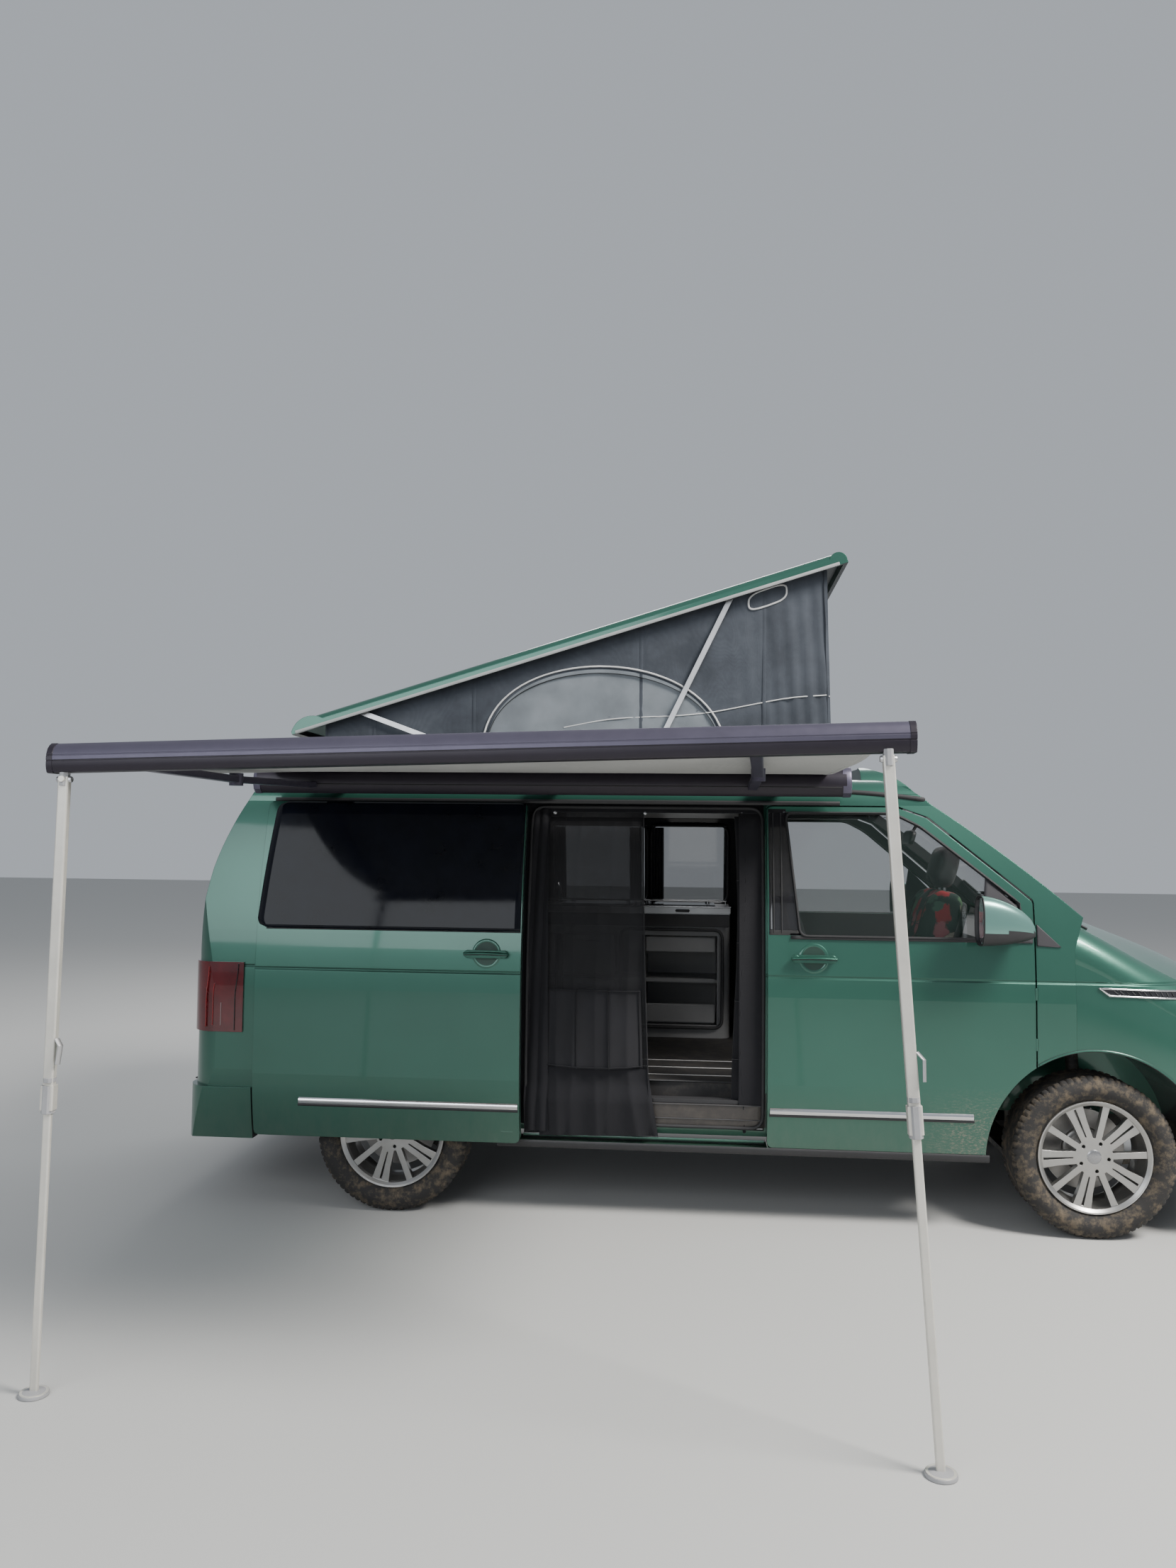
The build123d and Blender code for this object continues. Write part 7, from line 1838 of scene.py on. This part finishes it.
def stuffed(name, form, material, cap, voxel=0.013, fill=0.7, slot="seat_fabric"):
    """The form under light cloth pressure, kept within cap of where it started."""
    o = piece(name, form, material, slot, smooth_angle=1.6)
    add_mod(o, "REMESH", mode="VOXEL", voxel_size=voxel, use_smooth_shade=True)
    bake(o)
    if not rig.quick():
        start = [v.co.copy() for v in o.data.vertices]
        cl = add_mod(o, "CLOTH")
        cl.settings.quality = 4
        cl.settings.use_pressure = True
        cl.settings.uniform_pressure_force = 4
        cl.settings.tension_stiffness = 12
        cl.settings.compression_stiffness = 12
        cl.settings.bending_stiffness = 1.5
        cl.settings.effector_weights.gravity = 0
        cl.point_cache.frame_start = 1
        cl.point_cache.frame_end = 20
        sc = bpy.context.scene
        for f in range(1, 21):
            sc.frame_set(f)
        bake(o)
        sc.frame_set(1)
        for v, s in zip(o.data.vertices, start):
            d = v.co - s
            ripple = 0.0012 * noise.noise(s * 16)
            if d.length > cap:
                d = d.normalized() * cap
            v.co = s + d + v.normal * ripple
    add_mod(o, "SMOOTH", factor=0.5, iterations=2)
    bake(o)
    for p in o.data.polygons:
        p.use_smooth = True
    o.data.materials.clear()
    o.data.materials.append(material)
    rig.padded(o, fill)
    return o


# How much deeper than its own share a seam lies in the cloth
SINK = 0.0005


def seam_on(name, target, points, push, radius, material):
    """A seam on a cushion: each point is dropped along push until it meets the cloth."""
    push = Vector(push).normalized()
    inv = target.matrix_world.inverted()
    turn = inv.to_3x3()
    path = []
    for p in points:
        ok, place, _, _ = target.ray_cast(inv @ (p - push * 0.4), (turn @ push).normalized(), distance=0.8)
        if ok:
            path.append(target.matrix_world @ place - push * (radius * 0.3 - SINK))
    if len(path) > 3:
        piece(name, tube(path, radius, 6), material, "seat_fabric")


def cab_seat(tag, x, y, f, cover):
    """A cab seat that faces ahead (f = 1) or back (f = -1)."""
    across = Vector((0, 1, 0))
    ahead = Vector((f, 0, 0.10)).normalized()
    lift = Vector((-0.10 * f, 0, 1)).normalized()
    base = stuffed(f"{tag}_seat_base", loaf(P(x + f * 0.015, y, 0.842), across, ahead, lift,
                                            (0.51, 0.53, 0.135), 0.024, 0.34, 0.012), cover, 0.014)
    lean = Vector((-0.155 * f, 0, 0.57)).normalized()
    face = Vector((0.57 * f, 0, 0.155)).normalized()
    back = stuffed(f"{tag}_seat_back", loaf(P(x - f * 0.288, y, 1.150), across, lean, face,
                                            (0.495, 0.60, 0.135), 0.028, 0.36, 0.010), cover, 0.014)
    stuffed(f"{tag}_headrest", loaf(P(x - f * 0.363, y, 1.535), across, lean, face, (0.262, 0.185, 0.095),
                                    0.0, 0.42, 0.006), cover if cover is SEAT else SEAT_EDGE, 0.007, 0.006)
    for k, s in enumerate((-1, 1)):
        stuffed(f"{tag}_armrest_{k}", loaf(P(x - f * 0.055, y + s * 0.279, 1.056), (0, 1, 0), (f, 0, 0.02),
                                           (0, 0, 1), (0.056, 0.345, 0.055), 0, 0.5), SEAT_EDGE, 0.004,
                0.006)
        post = [P(x - f * 0.355, y + s * 0.06, 1.40), P(x - f * 0.36, y + s * 0.06, 1.48)]
        piece(f"{tag}_post_{k}", tube(post, 0.0065, 10), STEEL, "steel_bar")
        seam_on(f"{tag}_seam_base_{k}", base, [P(x + f * (-0.20 + 0.44 * i / 24), y + s * 0.152, 0.9)
                                               for i in range(25)], (0, 0, -1), 0.0026, SEAT_SEAM)
        seam_on(f"{tag}_seam_back_{k}", back, [P(x - f * 0.288, y + s * (0.150 + 0.012 * math.sin(i / 4)),
                                                 0.93 + 0.45 * i / 24) for i in range(25)], -face, 0.0026,
                SEAT_SEAM)
    for k, z in enumerate((1.03, 1.26)):
        seam_on(f"{tag}_seam_cross_{k}", back, [P(x - f * 0.288, y + 0.3 * (i / 20 - 0.5), z)
                                                for i in range(21)], -face, 0.0022, SEAT_SEAM)
    seam_on(f"{tag}_seam_thigh", base, [P(x + f * 0.10, y + 0.3 * (i / 20 - 0.5), 0.9) for i in range(21)],
            (0, 0, -1), 0.0022, SEAT_SEAM)
    edge = []
    for i in range(64):
        a = 2 * math.pi * i / 64
        c, s = math.cos(a), math.sin(a)
        e = 0.34
        px = abs(c) ** e * (1 if c > 0 else -1) * 0.2560
        py = abs(s) ** e * (1 if s > 0 else -1) * 0.2650
        edge.append(P(x + f * 0.015, y, 0.842) + across * px + ahead * py)
    piece(f"{tag}_piping_base", tube(edge, 0.0035, 6, closed=True), SEAT_SEAM, "seat_fabric")
    plinth = cuboid(P(x - 0.2, y - 0.19, 0.572), P(x + 0.2, y + 0.19, 0.735), 0.012)
    piece(f"{tag}_plinth", plinth, BLACK, smooth_angle=0.6)
    tray = cuboid(P(x - 0.24, y - 0.235, 0.735), P(x + 0.24, y + 0.235, 0.782), 0.015)
    piece(f"{tag}_seat_pan", tray, BLACK, smooth_angle=0.6)
    shell = loaf(P(x - f * 0.352, y, 1.13), across, lean, face, (0.45, 0.52, 0.05), 0, 0.3, 0, 10)
    piece(f"{tag}_back_shell", shell, BLACK)
    lever = [P(x - f * 0.2, y - 0.262, 0.80), P(x - f * 0.05, y - 0.266, 0.805),
             P(x + f * 0.02, y - 0.262, 0.80)]
    piece(f"{tag}_lever", tube(lever, 0.008, 8, flat=(0.011, 0.005)), BLACK)
    return base


cab_seat("driver", -0.900, 0.430, 1, SEAT)
guest_seat = cab_seat("passenger", -0.880, -0.430, -1, FLORAL)
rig.replaces(guest_seat, "cab_seats")

# Bench: two seat cushions, one in the floral cover, and two back cushions, on a box with drawers
for k, (ya, yb) in enumerate(((-0.635, -0.158), (-0.150, 0.326))):
    w = yb - ya
    cy = (ya + yb) / 2
    seat = stuffed(f"bench_seat_{k}", loaf(P(-2.775, cy, 0.940), (0, 1, 0), (1, 0, 0), (0, 0, 1),
                                           (w, 0.52, 0.145), 0.006, 0.3, 0.012), FLORAL if k == 0 else SEAT,
                   0.014)
    lean = Vector((-0.13, 0, 0.51)).normalized()
    face = Vector((0.51, 0, 0.13)).normalized()
    back = stuffed(f"bench_back_{k}", loaf(P(-3.132, cy, 1.255), (0, 1, 0), lean, face, (w, 0.545, 0.125),
                                           0.01, 0.3, 0.01), SEAT, 0.014)
    for i, yy in enumerate((cy - w * 0.3, cy + w * 0.3)):
        seam_on(f"bench_seam_{k}{i}", seat, [P(-2.775 + 0.46 * (j / 20 - 0.5), yy, 1.0) for j in range(21)],
                (0, 0, -1), 0.0026, SEAT_SEAM)
        seam_on(f"bench_back_seam_{k}{i}", back, [P(-3.132, yy, 1.03 + 0.44 * j / 20) for j in range(21)],
                -face, 0.0026, SEAT_SEAM)
box = [P(-3.175, -0.632, 0.572), P(-2.53, 0.323, 0.872)]
bench_box = piece("bench_box", cuboid(box[0], box[1], 0.01), BOARD, "seat_fabric", smooth_angle=0.6)
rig.replaces(bench_box, "rear_bench")
for k in range(2):
    front = cuboid(P(-2.532, -0.60 + 0.475 * k, 0.60), P(-2.526, -0.155 + 0.475 * k, 0.855), 0.003)
    piece(f"bench_drawer_{k}", front, BOARD, "cabinet_board", smooth_angle=0.6)
    pull = cuboid(P(-2.527, -0.43 + 0.475 * k, 0.815), P(-2.5225, -0.33 + 0.475 * k, 0.83), 0.002)
    piece(f"bench_pull_{k}", pull, BLACK, smooth_angle=0.6)

# Roof bed: two mattress pads over the board
for k, (xa, xb) in enumerate(((-3.196, -2.252), (-2.246, -1.304))):
    pad = stuffed(f"bed_pad_{k}", loaf(P((xa + xb) / 2, 0, 1.820), (0, 1, 0), (1, 0, 0), (0, 0, 1),
                                       (1.19, xb - xa, 0.055), 0, 0.22, 0.008, 18), MATTRESS, 0.010, 0.016,
                  0.8)
    for j in range(3):
        yy = -0.3 + 0.3 * j
        seam_on(f"bed_seam_{k}{j}", pad, [P(xa + 0.05 + (xb - xa - 0.1) * i / 20, yy, 1.9)
                                          for i in range(21)], (0, 0, -1), 0.003, TRIM_GREY)
board = piece("bed_board", cuboid(P(-3.198, -0.598, 1.777), P(-1.302, 0.598, 1.797), 0.004), BOARD,
              "seat_fabric", smooth_angle=0.6)
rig.replaces(board, "roof_bed")


# Front, rear and cab details
def hit(names, origin, direction, lift=0.0):
    """The nearest point where a ray meets some CAD nodes."""
    best = None
    direction = Vector(direction).normalized()
    for n in names:
        place = cast(n, origin, direction)
        if place and (best is None or (place - origin).length < (best - origin).length):
            best = place
    return None if best is None else best - direction * lift


def facing(names, y, z, front, lift=0.0):
    """The surface point met from ahead (or from behind) at a place in the front view."""
    return hit(names, P(2.0 if front else -5.5, y, z), (-1 if front else 1, 0, 0), lift)


def line_on(name, pairs, names, front, radius, material, lift=0.001, flat=None, closed=False,
            slot="black_plastic", body="van_body"):
    """A strip laid on the nodes that a front or rear view shows."""
    pts = [facing(names, y, z, front, lift) for y, z in pairs]
    pts = [p for p in pts if p is not None]
    if len(pts) > 2:
        piece(name, tube(pts, radius, 8, flat=flat, closed=closed), material, slot, body)


def span(a, b, n):
    """n values from a to b."""
    return [a + (b - a) * i / (n - 1) for i in range(n)]


for hand, tag in SIDES:
    for k, (yy, zz, r) in enumerate(((0.585, 0.812, 0.043), (0.705, 0.820, 0.043))):
        c = facing(["headlamps"], hand * yy, zz, True, 0.0)
        if c is None:
            continue
        ring = lathe([(0.0, -0.001), (r * 0.55, 0.0025), (r * 0.72, 0.0012), (r * 0.78, 0.004), (r, 0.005),
                      (r * 1.08, 0.0), (r * 1.1, -0.006)], c, (1, 0, 0), 40)
        piece(f"lamp_unit_{tag}_{k}", ring, LAMP_INNER, "lamp_glass", smooth_angle=0.6)
        eye = lathe([(0.0, 0.008), (r * 0.3, 0.0065), (r * 0.5, 0.001)], c, (1, 0, 0), 32)
        piece(f"lamp_eye_{tag}_{k}", eye, CHROME, "lamp_glass")
    line_on(f"day_light_{tag}", [(hand * y, 0.742 + 0.035 * smooth(0.62, 0.86, y)) for y in span(0.50, 0.86,
            26)], ["headlamps"], True, 0.007, DAYLIGHT, 0.001, (0.008, 0.004), slot="lamp_glass")
    line_on(f"lamp_brow_{tag}", [(hand * y, 0.872 + 0.02 * smooth(0.5, 0.8, y)) for y in span(0.50, 0.84,
            26)], ["headlamps"], True, 0.006, CHROME_SOFT, 0.001, (0.005, 0.003), slot="lamp_glass")
    c = facing(["front_bumper"], hand * 0.70, 0.415, True, 0.0)
    if c is not None:
        fog = lathe([(0.0, 0.002), (0.03, 0.004), (0.040, 0.002), (0.043, 0.007), (0.050, 0.008),
                     (0.056, 0.0), (0.058, -0.02)], c, (1, -hand * 0.25, 0), 36)
        piece(f"fog_lamp_{tag}", fog, LAMP_INNER, "lamp_glass", smooth_angle=0.6)
        eye = lathe([(0.0, 0.010), (0.02, 0.008), (0.034, 0.003)], c, (1, -hand * 0.25, 0), 32)
        piece(f"fog_eye_{tag}", eye, CHROME, "lamp_glass")

for k, z in enumerate((0.7675, 0.812, 0.850, 0.888, 0.926)):
    line_on(f"grille_bar_{k}", [(y, z) for y in span(-0.450, 0.450, 41)], ["grille"], True, 0.007, CHROME
            if k in (0, 1) else GLOSS_BLACK, 0.002, (0.006, 0.006))
line_on("bonnet_edge_seal", [(y, 0.968) for y in span(-0.46, 0.46, 41)], ["grille", "bonnet"], True, 0.004,
        RUBBER, 0.0)


def behind(y, back, z):
    """A point set back from the bumper's face."""
    p = facing(["front_bumper"], y, 0.487, True, 0.0)
    return Vector((p.x - back, p.y, z))


for name, half, low, high, slats in (("lower", 0.476, 0.337, 0.463, (0.352, 0.376, 0.400, 0.424, 0.448)),
                                     ("upper", 0.258, 0.507, 0.613, (0.527, 0.547, 0.567, 0.587))):
    def back_wall(u, v, half=half, low=low, high=high):
        return behind(-half + 2 * half * u, 0.062, low + (high - low) * v)
    wall = piece(f"intake_back_{name}", grid(30, 4, back_wall), BLACK)
    thicken(wall, 0.003)
    for k, z in enumerate(slats):
        pts = [behind(y, 0.030, z) for y in span(-half, half, 31)]
        piece(f"intake_slat_{name}_{k}", tube(pts, 0.006, 8, flat=(0.0045, 0.012)), GLOSS_BLACK)
    for k in range(int(half / 0.06) * 2 + 1):
        y = -half + 0.03 + k * (2 * half - 0.06) / (int(half / 0.06) * 2)
        pts = [behind(y, 0.034, z) for z in (low, (low + high) / 2, high)]
        piece(f"intake_rib_{name}_{k}", tube(pts, 0.003, 6), BLACK)
line_on("front_lip", [(y, 0.272) for y in span(-0.86, 0.86, 60)], ["front_bumper"], True, 0.012, BLACK, 0.0,
        (0.017, 0.006))


def number_board(name, z, front, names, wide=0.52, tall=0.112):
    """A blank number plate on its holder."""
    c = facing(names, 0, 0.487 if front else z, front, 0.0)
    c.z = z
    s = 1 if front else -1
    lo, hi = c + Vector((-0.004 * s, -wide / 2 - 0.006, -tall / 2 - 0.006)), c + Vector((0.006 * s,
            wide / 2 + 0.006, tall / 2 + 0.006))
    a = Vector((min(lo.x, hi.x), lo.y, lo.z))
    b = Vector((max(lo.x, hi.x), hi.y, hi.z))
    owner = "van_body" if front else "tailgate_body"
    piece(f"{name}_holder", cuboid(a, b, 0.003), BLACK, body=owner, smooth_angle=0.6)
    lo, hi = c + Vector((0.006 * s, -wide / 2, -tall / 2)), c + Vector((0.0085 * s, wide / 2, tall / 2))
    a = Vector((min(lo.x, hi.x), lo.y, lo.z))
    b = Vector((max(lo.x, hi.x), hi.y, hi.z))
    piece(f"{name}_blank", cuboid(a, b, 0.0012), PLATE, "alloy", body=owner, smooth_angle=0.6)


number_board("front_plate", 0.545, True, ["front_bumper"])
number_board("rear_plate", 0.925, False, ["tailgate"])

# Tailgate: plate light bar, grip, high brake lamp, wiper and glass seal; then the rear lamps and bumper
TG = "tailgate_body"
line_on("plate_light_bar", [(y, 1.022) for y in span(-0.31, 0.31, 21)], ["tailgate"], False, 0.012,
        PAINT_PLAIN, 0.004, (0.017, 0.010), slot="body_paint", body=TG)
line_on("gate_grip", [(y, 1.000) for y in span(-0.16, 0.16, 15)], ["tailgate"], False, 0.008, BLACK, 0.004,
        (0.008, 0.008), body=TG)
line_on("high_brake_lamp", [(y, 1.815) for y in span(-0.17, 0.17, 15)], ["tailgate"], False, 0.008, RED,
        0.001, (0.009, 0.004), slot="lamp_red", body=TG)
pivot = facing(["tailgate"], 0.0, 1.235, False, 0.0)
if pivot is not None:
    boss = lathe([(0.0, 0.026), (0.014, 0.024), (0.020, 0.014), (0.024, 0.0)], pivot, (-1, 0, 0), 28)
    piece("rear_wiper_boss", boss, BLACK, body=TG, smooth_angle=0.7)
    arm = [pivot + Vector((-0.022, 0, 0.0)), pivot + Vector((-0.030, 0.10, 0.028))]
    tip = facing(["tailgate_glass", "tailgate"], 0.36, 1.300, False, 0.016)
    arm += [tip.lerp(arm[-1], 0.5) + Vector((-0.004, 0, 0)), tip]
    piece("rear_wiper_arm", tube(arm, 0.007, 8, flat=(0.008, 0.005)), BLACK, body=TG)
    blade = [facing(["tailgate_glass", "tailgate"], y, 1.285 + 0.03 * (y - 0.12) / 0.45, False, 0.009)
             for y in span(0.12, 0.57, 20)]
    piece("rear_wiper_blade", tube([p for p in blade if p], 0.006, 8, flat=(0.0045, 0.009)), RUBBER,
          body=TG)
outline = round_poly([(-0.628, 1.282), (-0.598, 1.760), (0.598, 1.760), (0.628, 1.282)], 0.05)
line_on("gate_glass_seal", [(p.x, p.y) for p in dense(outline, 0.03)], ["tailgate_glass", "tailgate"],
        False, 0.008, RUBBER, 0.0005, (0.010, 0.004), True, body=TG)
for hand, tag in SIDES:
    line_on(f"rear_reflector_{tag}", [(hand * y, 0.372) for y in span(0.60, 0.76, 12)], ["rear_bumper"],
            False, 0.010, RED, 0.0005, (0.014, 0.004), slot="lamp_red")
    for k, (xa, za, zb, mat, half) in enumerate(((-3.845, 0.792, 1.060, TUBE_RED, 0.009),
                                                 (-3.812, 0.800, 0.985, TUBE_RED, 0.006),
                                                 (-3.775, 0.800, 0.900, TUBE_CLEAR, 0.004),
                                                 (-3.712, 0.780, 1.072, GLOSS_BLACK, 0.006))):
        pts = [skin(xa + 0.012 * smooth(0.92, 1.06, z), z, hand, ["tail_lamps"], 0.0006)
               for z in span(za, zb, 20)]
        piece(f"lamp_tube_{tag}_{k}", tube(pts, half, 6, flat=(half, 0.002)), mat, "lamp_red")
line_on("rear_step_pad", [(y, 0.512) for y in span(-0.70, 0.70, 41)], ["rear_bumper"], False, 0.010, BLACK,
        0.0, (0.014, 0.005))
line_on("rear_lower_lip", [(y, 0.318) for y in span(-0.80, 0.80, 50)], ["rear_bumper"], False, 0.012, BLACK,
        0.0, (0.020, 0.005))


# Windscreen: dark printed border and inner mirror
def on_screen(y, z, lift=0.001):
    """A point on the windscreen."""
    return facing(["windscreen"], y, z, True, lift)


for name, pairs, w in (("lower", [(y, 1.372 + 0.004 * (y / 0.7) ** 2) for y in span(-0.70, 0.70, 41)],
                        0.022), ("upper", [(y, 1.790) for y in span(-0.62, 0.62, 31)], 0.016)):
    pts = [on_screen(y, z) for y, z in pairs]
    pts = [p for p in pts if p is not None]
    if len(pts) > 3:
        piece(f"screen_border_{name}", tube(pts, w, 8, flat=(w, 0.0015)), GLOSS_BLACK)
mirror = loaf(P(-0.595, 0.0, 1.675), (0, 1, 0), (0.25, 0, 1), (1, 0, -0.25), (0.235, 0.072, 0.03), 0, 0.4,
              0, 8)
piece("inner_mirror", mirror, BLACK)
stalk = [P(-0.585, 0, 1.69), P(-0.560, 0, 1.735)]
piece("inner_mirror_stalk", tube(stalk, 0.008, 8), BLACK)

# Dashboard furniture
hood = loaf(P(-0.352, 0.43, 1.262), (0, 1, 0), (1, 0, 0.25), (-0.2, 0, 1), (0.36, 0.21, 0.075), 0, 0.5, 0,
            12)
piece("binnacle_hood", hood, DASH)
panel = cuboid(P(-0.447, -0.125, 1.075), P(-0.424, 0.125, 1.225), 0.006)
piece("centre_display", panel, GLOSS_BLACK, smooth_angle=0.6)
vents = []
for yy in (-0.70, -0.50, 0.165, 0.70):
    for j in range(5):
        vents.append(cuboid(P(-0.436, yy - 0.045, 1.135 + 0.012 * j),
                            P(-0.428, yy + 0.045, 1.1395 + 0.012 * j), 0.001))
piece("air_vents", joined(vents), BLACK, smooth_angle=0.6)
line = [P(-0.4335, y, 1.065) for y in span(-0.78, 0.78, 20)]
piece("dash_trim_line", tube(line, 0.004, 6), CHROME_SOFT)
lever = [P(-0.44, 0.02, 0.98), P(-0.475, 0.02, 1.02), P(-0.49, 0.02, 1.055)]
piece("gear_stalk", tube(lever, 0.008, 10), STEEL, "steel_bar")
knob = loaf(P(-0.493, 0.02, 1.075), (1, 0, 0), (0, 1, 0), (0, 0, 1), (0.045, 0.042, 0.055), 0, 0.7, 0, 8)
piece("gear_knob", knob, BLACK)

# Steering wheel: stitched grip, blank boss and two stalks
WHEEL_TILT = math.radians(28)
GRIP_R = 0.185
STITCH_R = 0.1735
GRIP_POINTS = 72
hub = P(-0.500, 0.430, 1.190)
wn = Vector((-math.cos(WHEEL_TILT), 0, math.sin(WHEEL_TILT)))
wu = Vector((0, 1, 0))
wv = wn.cross(wu).normalized()


def round_grip(radius, proud=0.0):
    """A ring of points about the steering wheel's hub."""
    turns = [2 * math.pi * i / GRIP_POINTS for i in range(GRIP_POINTS)]
    return [hub + wn * proud + wu * radius * math.cos(a) + wv * radius * math.sin(a) for a in turns]


piece("wheel_grip", tube(round_grip(GRIP_R), 0.0162, 12, closed=True), LEATHER)
piece("wheel_stitch", tube(round_grip(STITCH_R, 0.011), 0.0016, 6, closed=True), TRIM_GREY)
boss = lathe([(0.0, 0.034), (0.03, 0.033), (0.055, 0.028), (0.066, 0.018), (0.068, -0.016)], hub, wn, 40)
piece("wheel_boss", boss, DASH)
for s in (-1, 1):
    stalk = [hub - wn * 0.06 + wu * s * 0.03, hub - wn * 0.05 + wu * s * 0.12, hub - wn * 0.045
             + wu * s * 0.165]
    piece(f"column_stalk_{s + 1}", tube(stalk, 0.006, 8, flat=(0.008, 0.005)), BLACK)

# Cowl: dark corner pieces at the foot of the windscreen
for hand, tag in SIDES:
    pts = []
    for k in range(14):
        t = k / 13
        p = hit(["windscreen", "cowl", f"body_side_{tag}", f"wing_{tag}", "bonnet"],
                P(-0.165 + 0.19 * t, hand * (0.735 + 0.02 * t), 2.4), (0, 0, -1), 0.003)
        if p is not None:
            pts.append(p)
    if len(pts) > 3:
        piece(f"cowl_corner_{tag}", tube(pts, 0.012, 8, flat=(0.018, 0.006)), BLACK)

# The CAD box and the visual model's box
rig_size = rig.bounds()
json.dump({"cad": [list(map(float, c)) for c in CAD_BOX], "scene": [list(map(float, c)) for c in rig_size]},
          open("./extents.json", "w"))
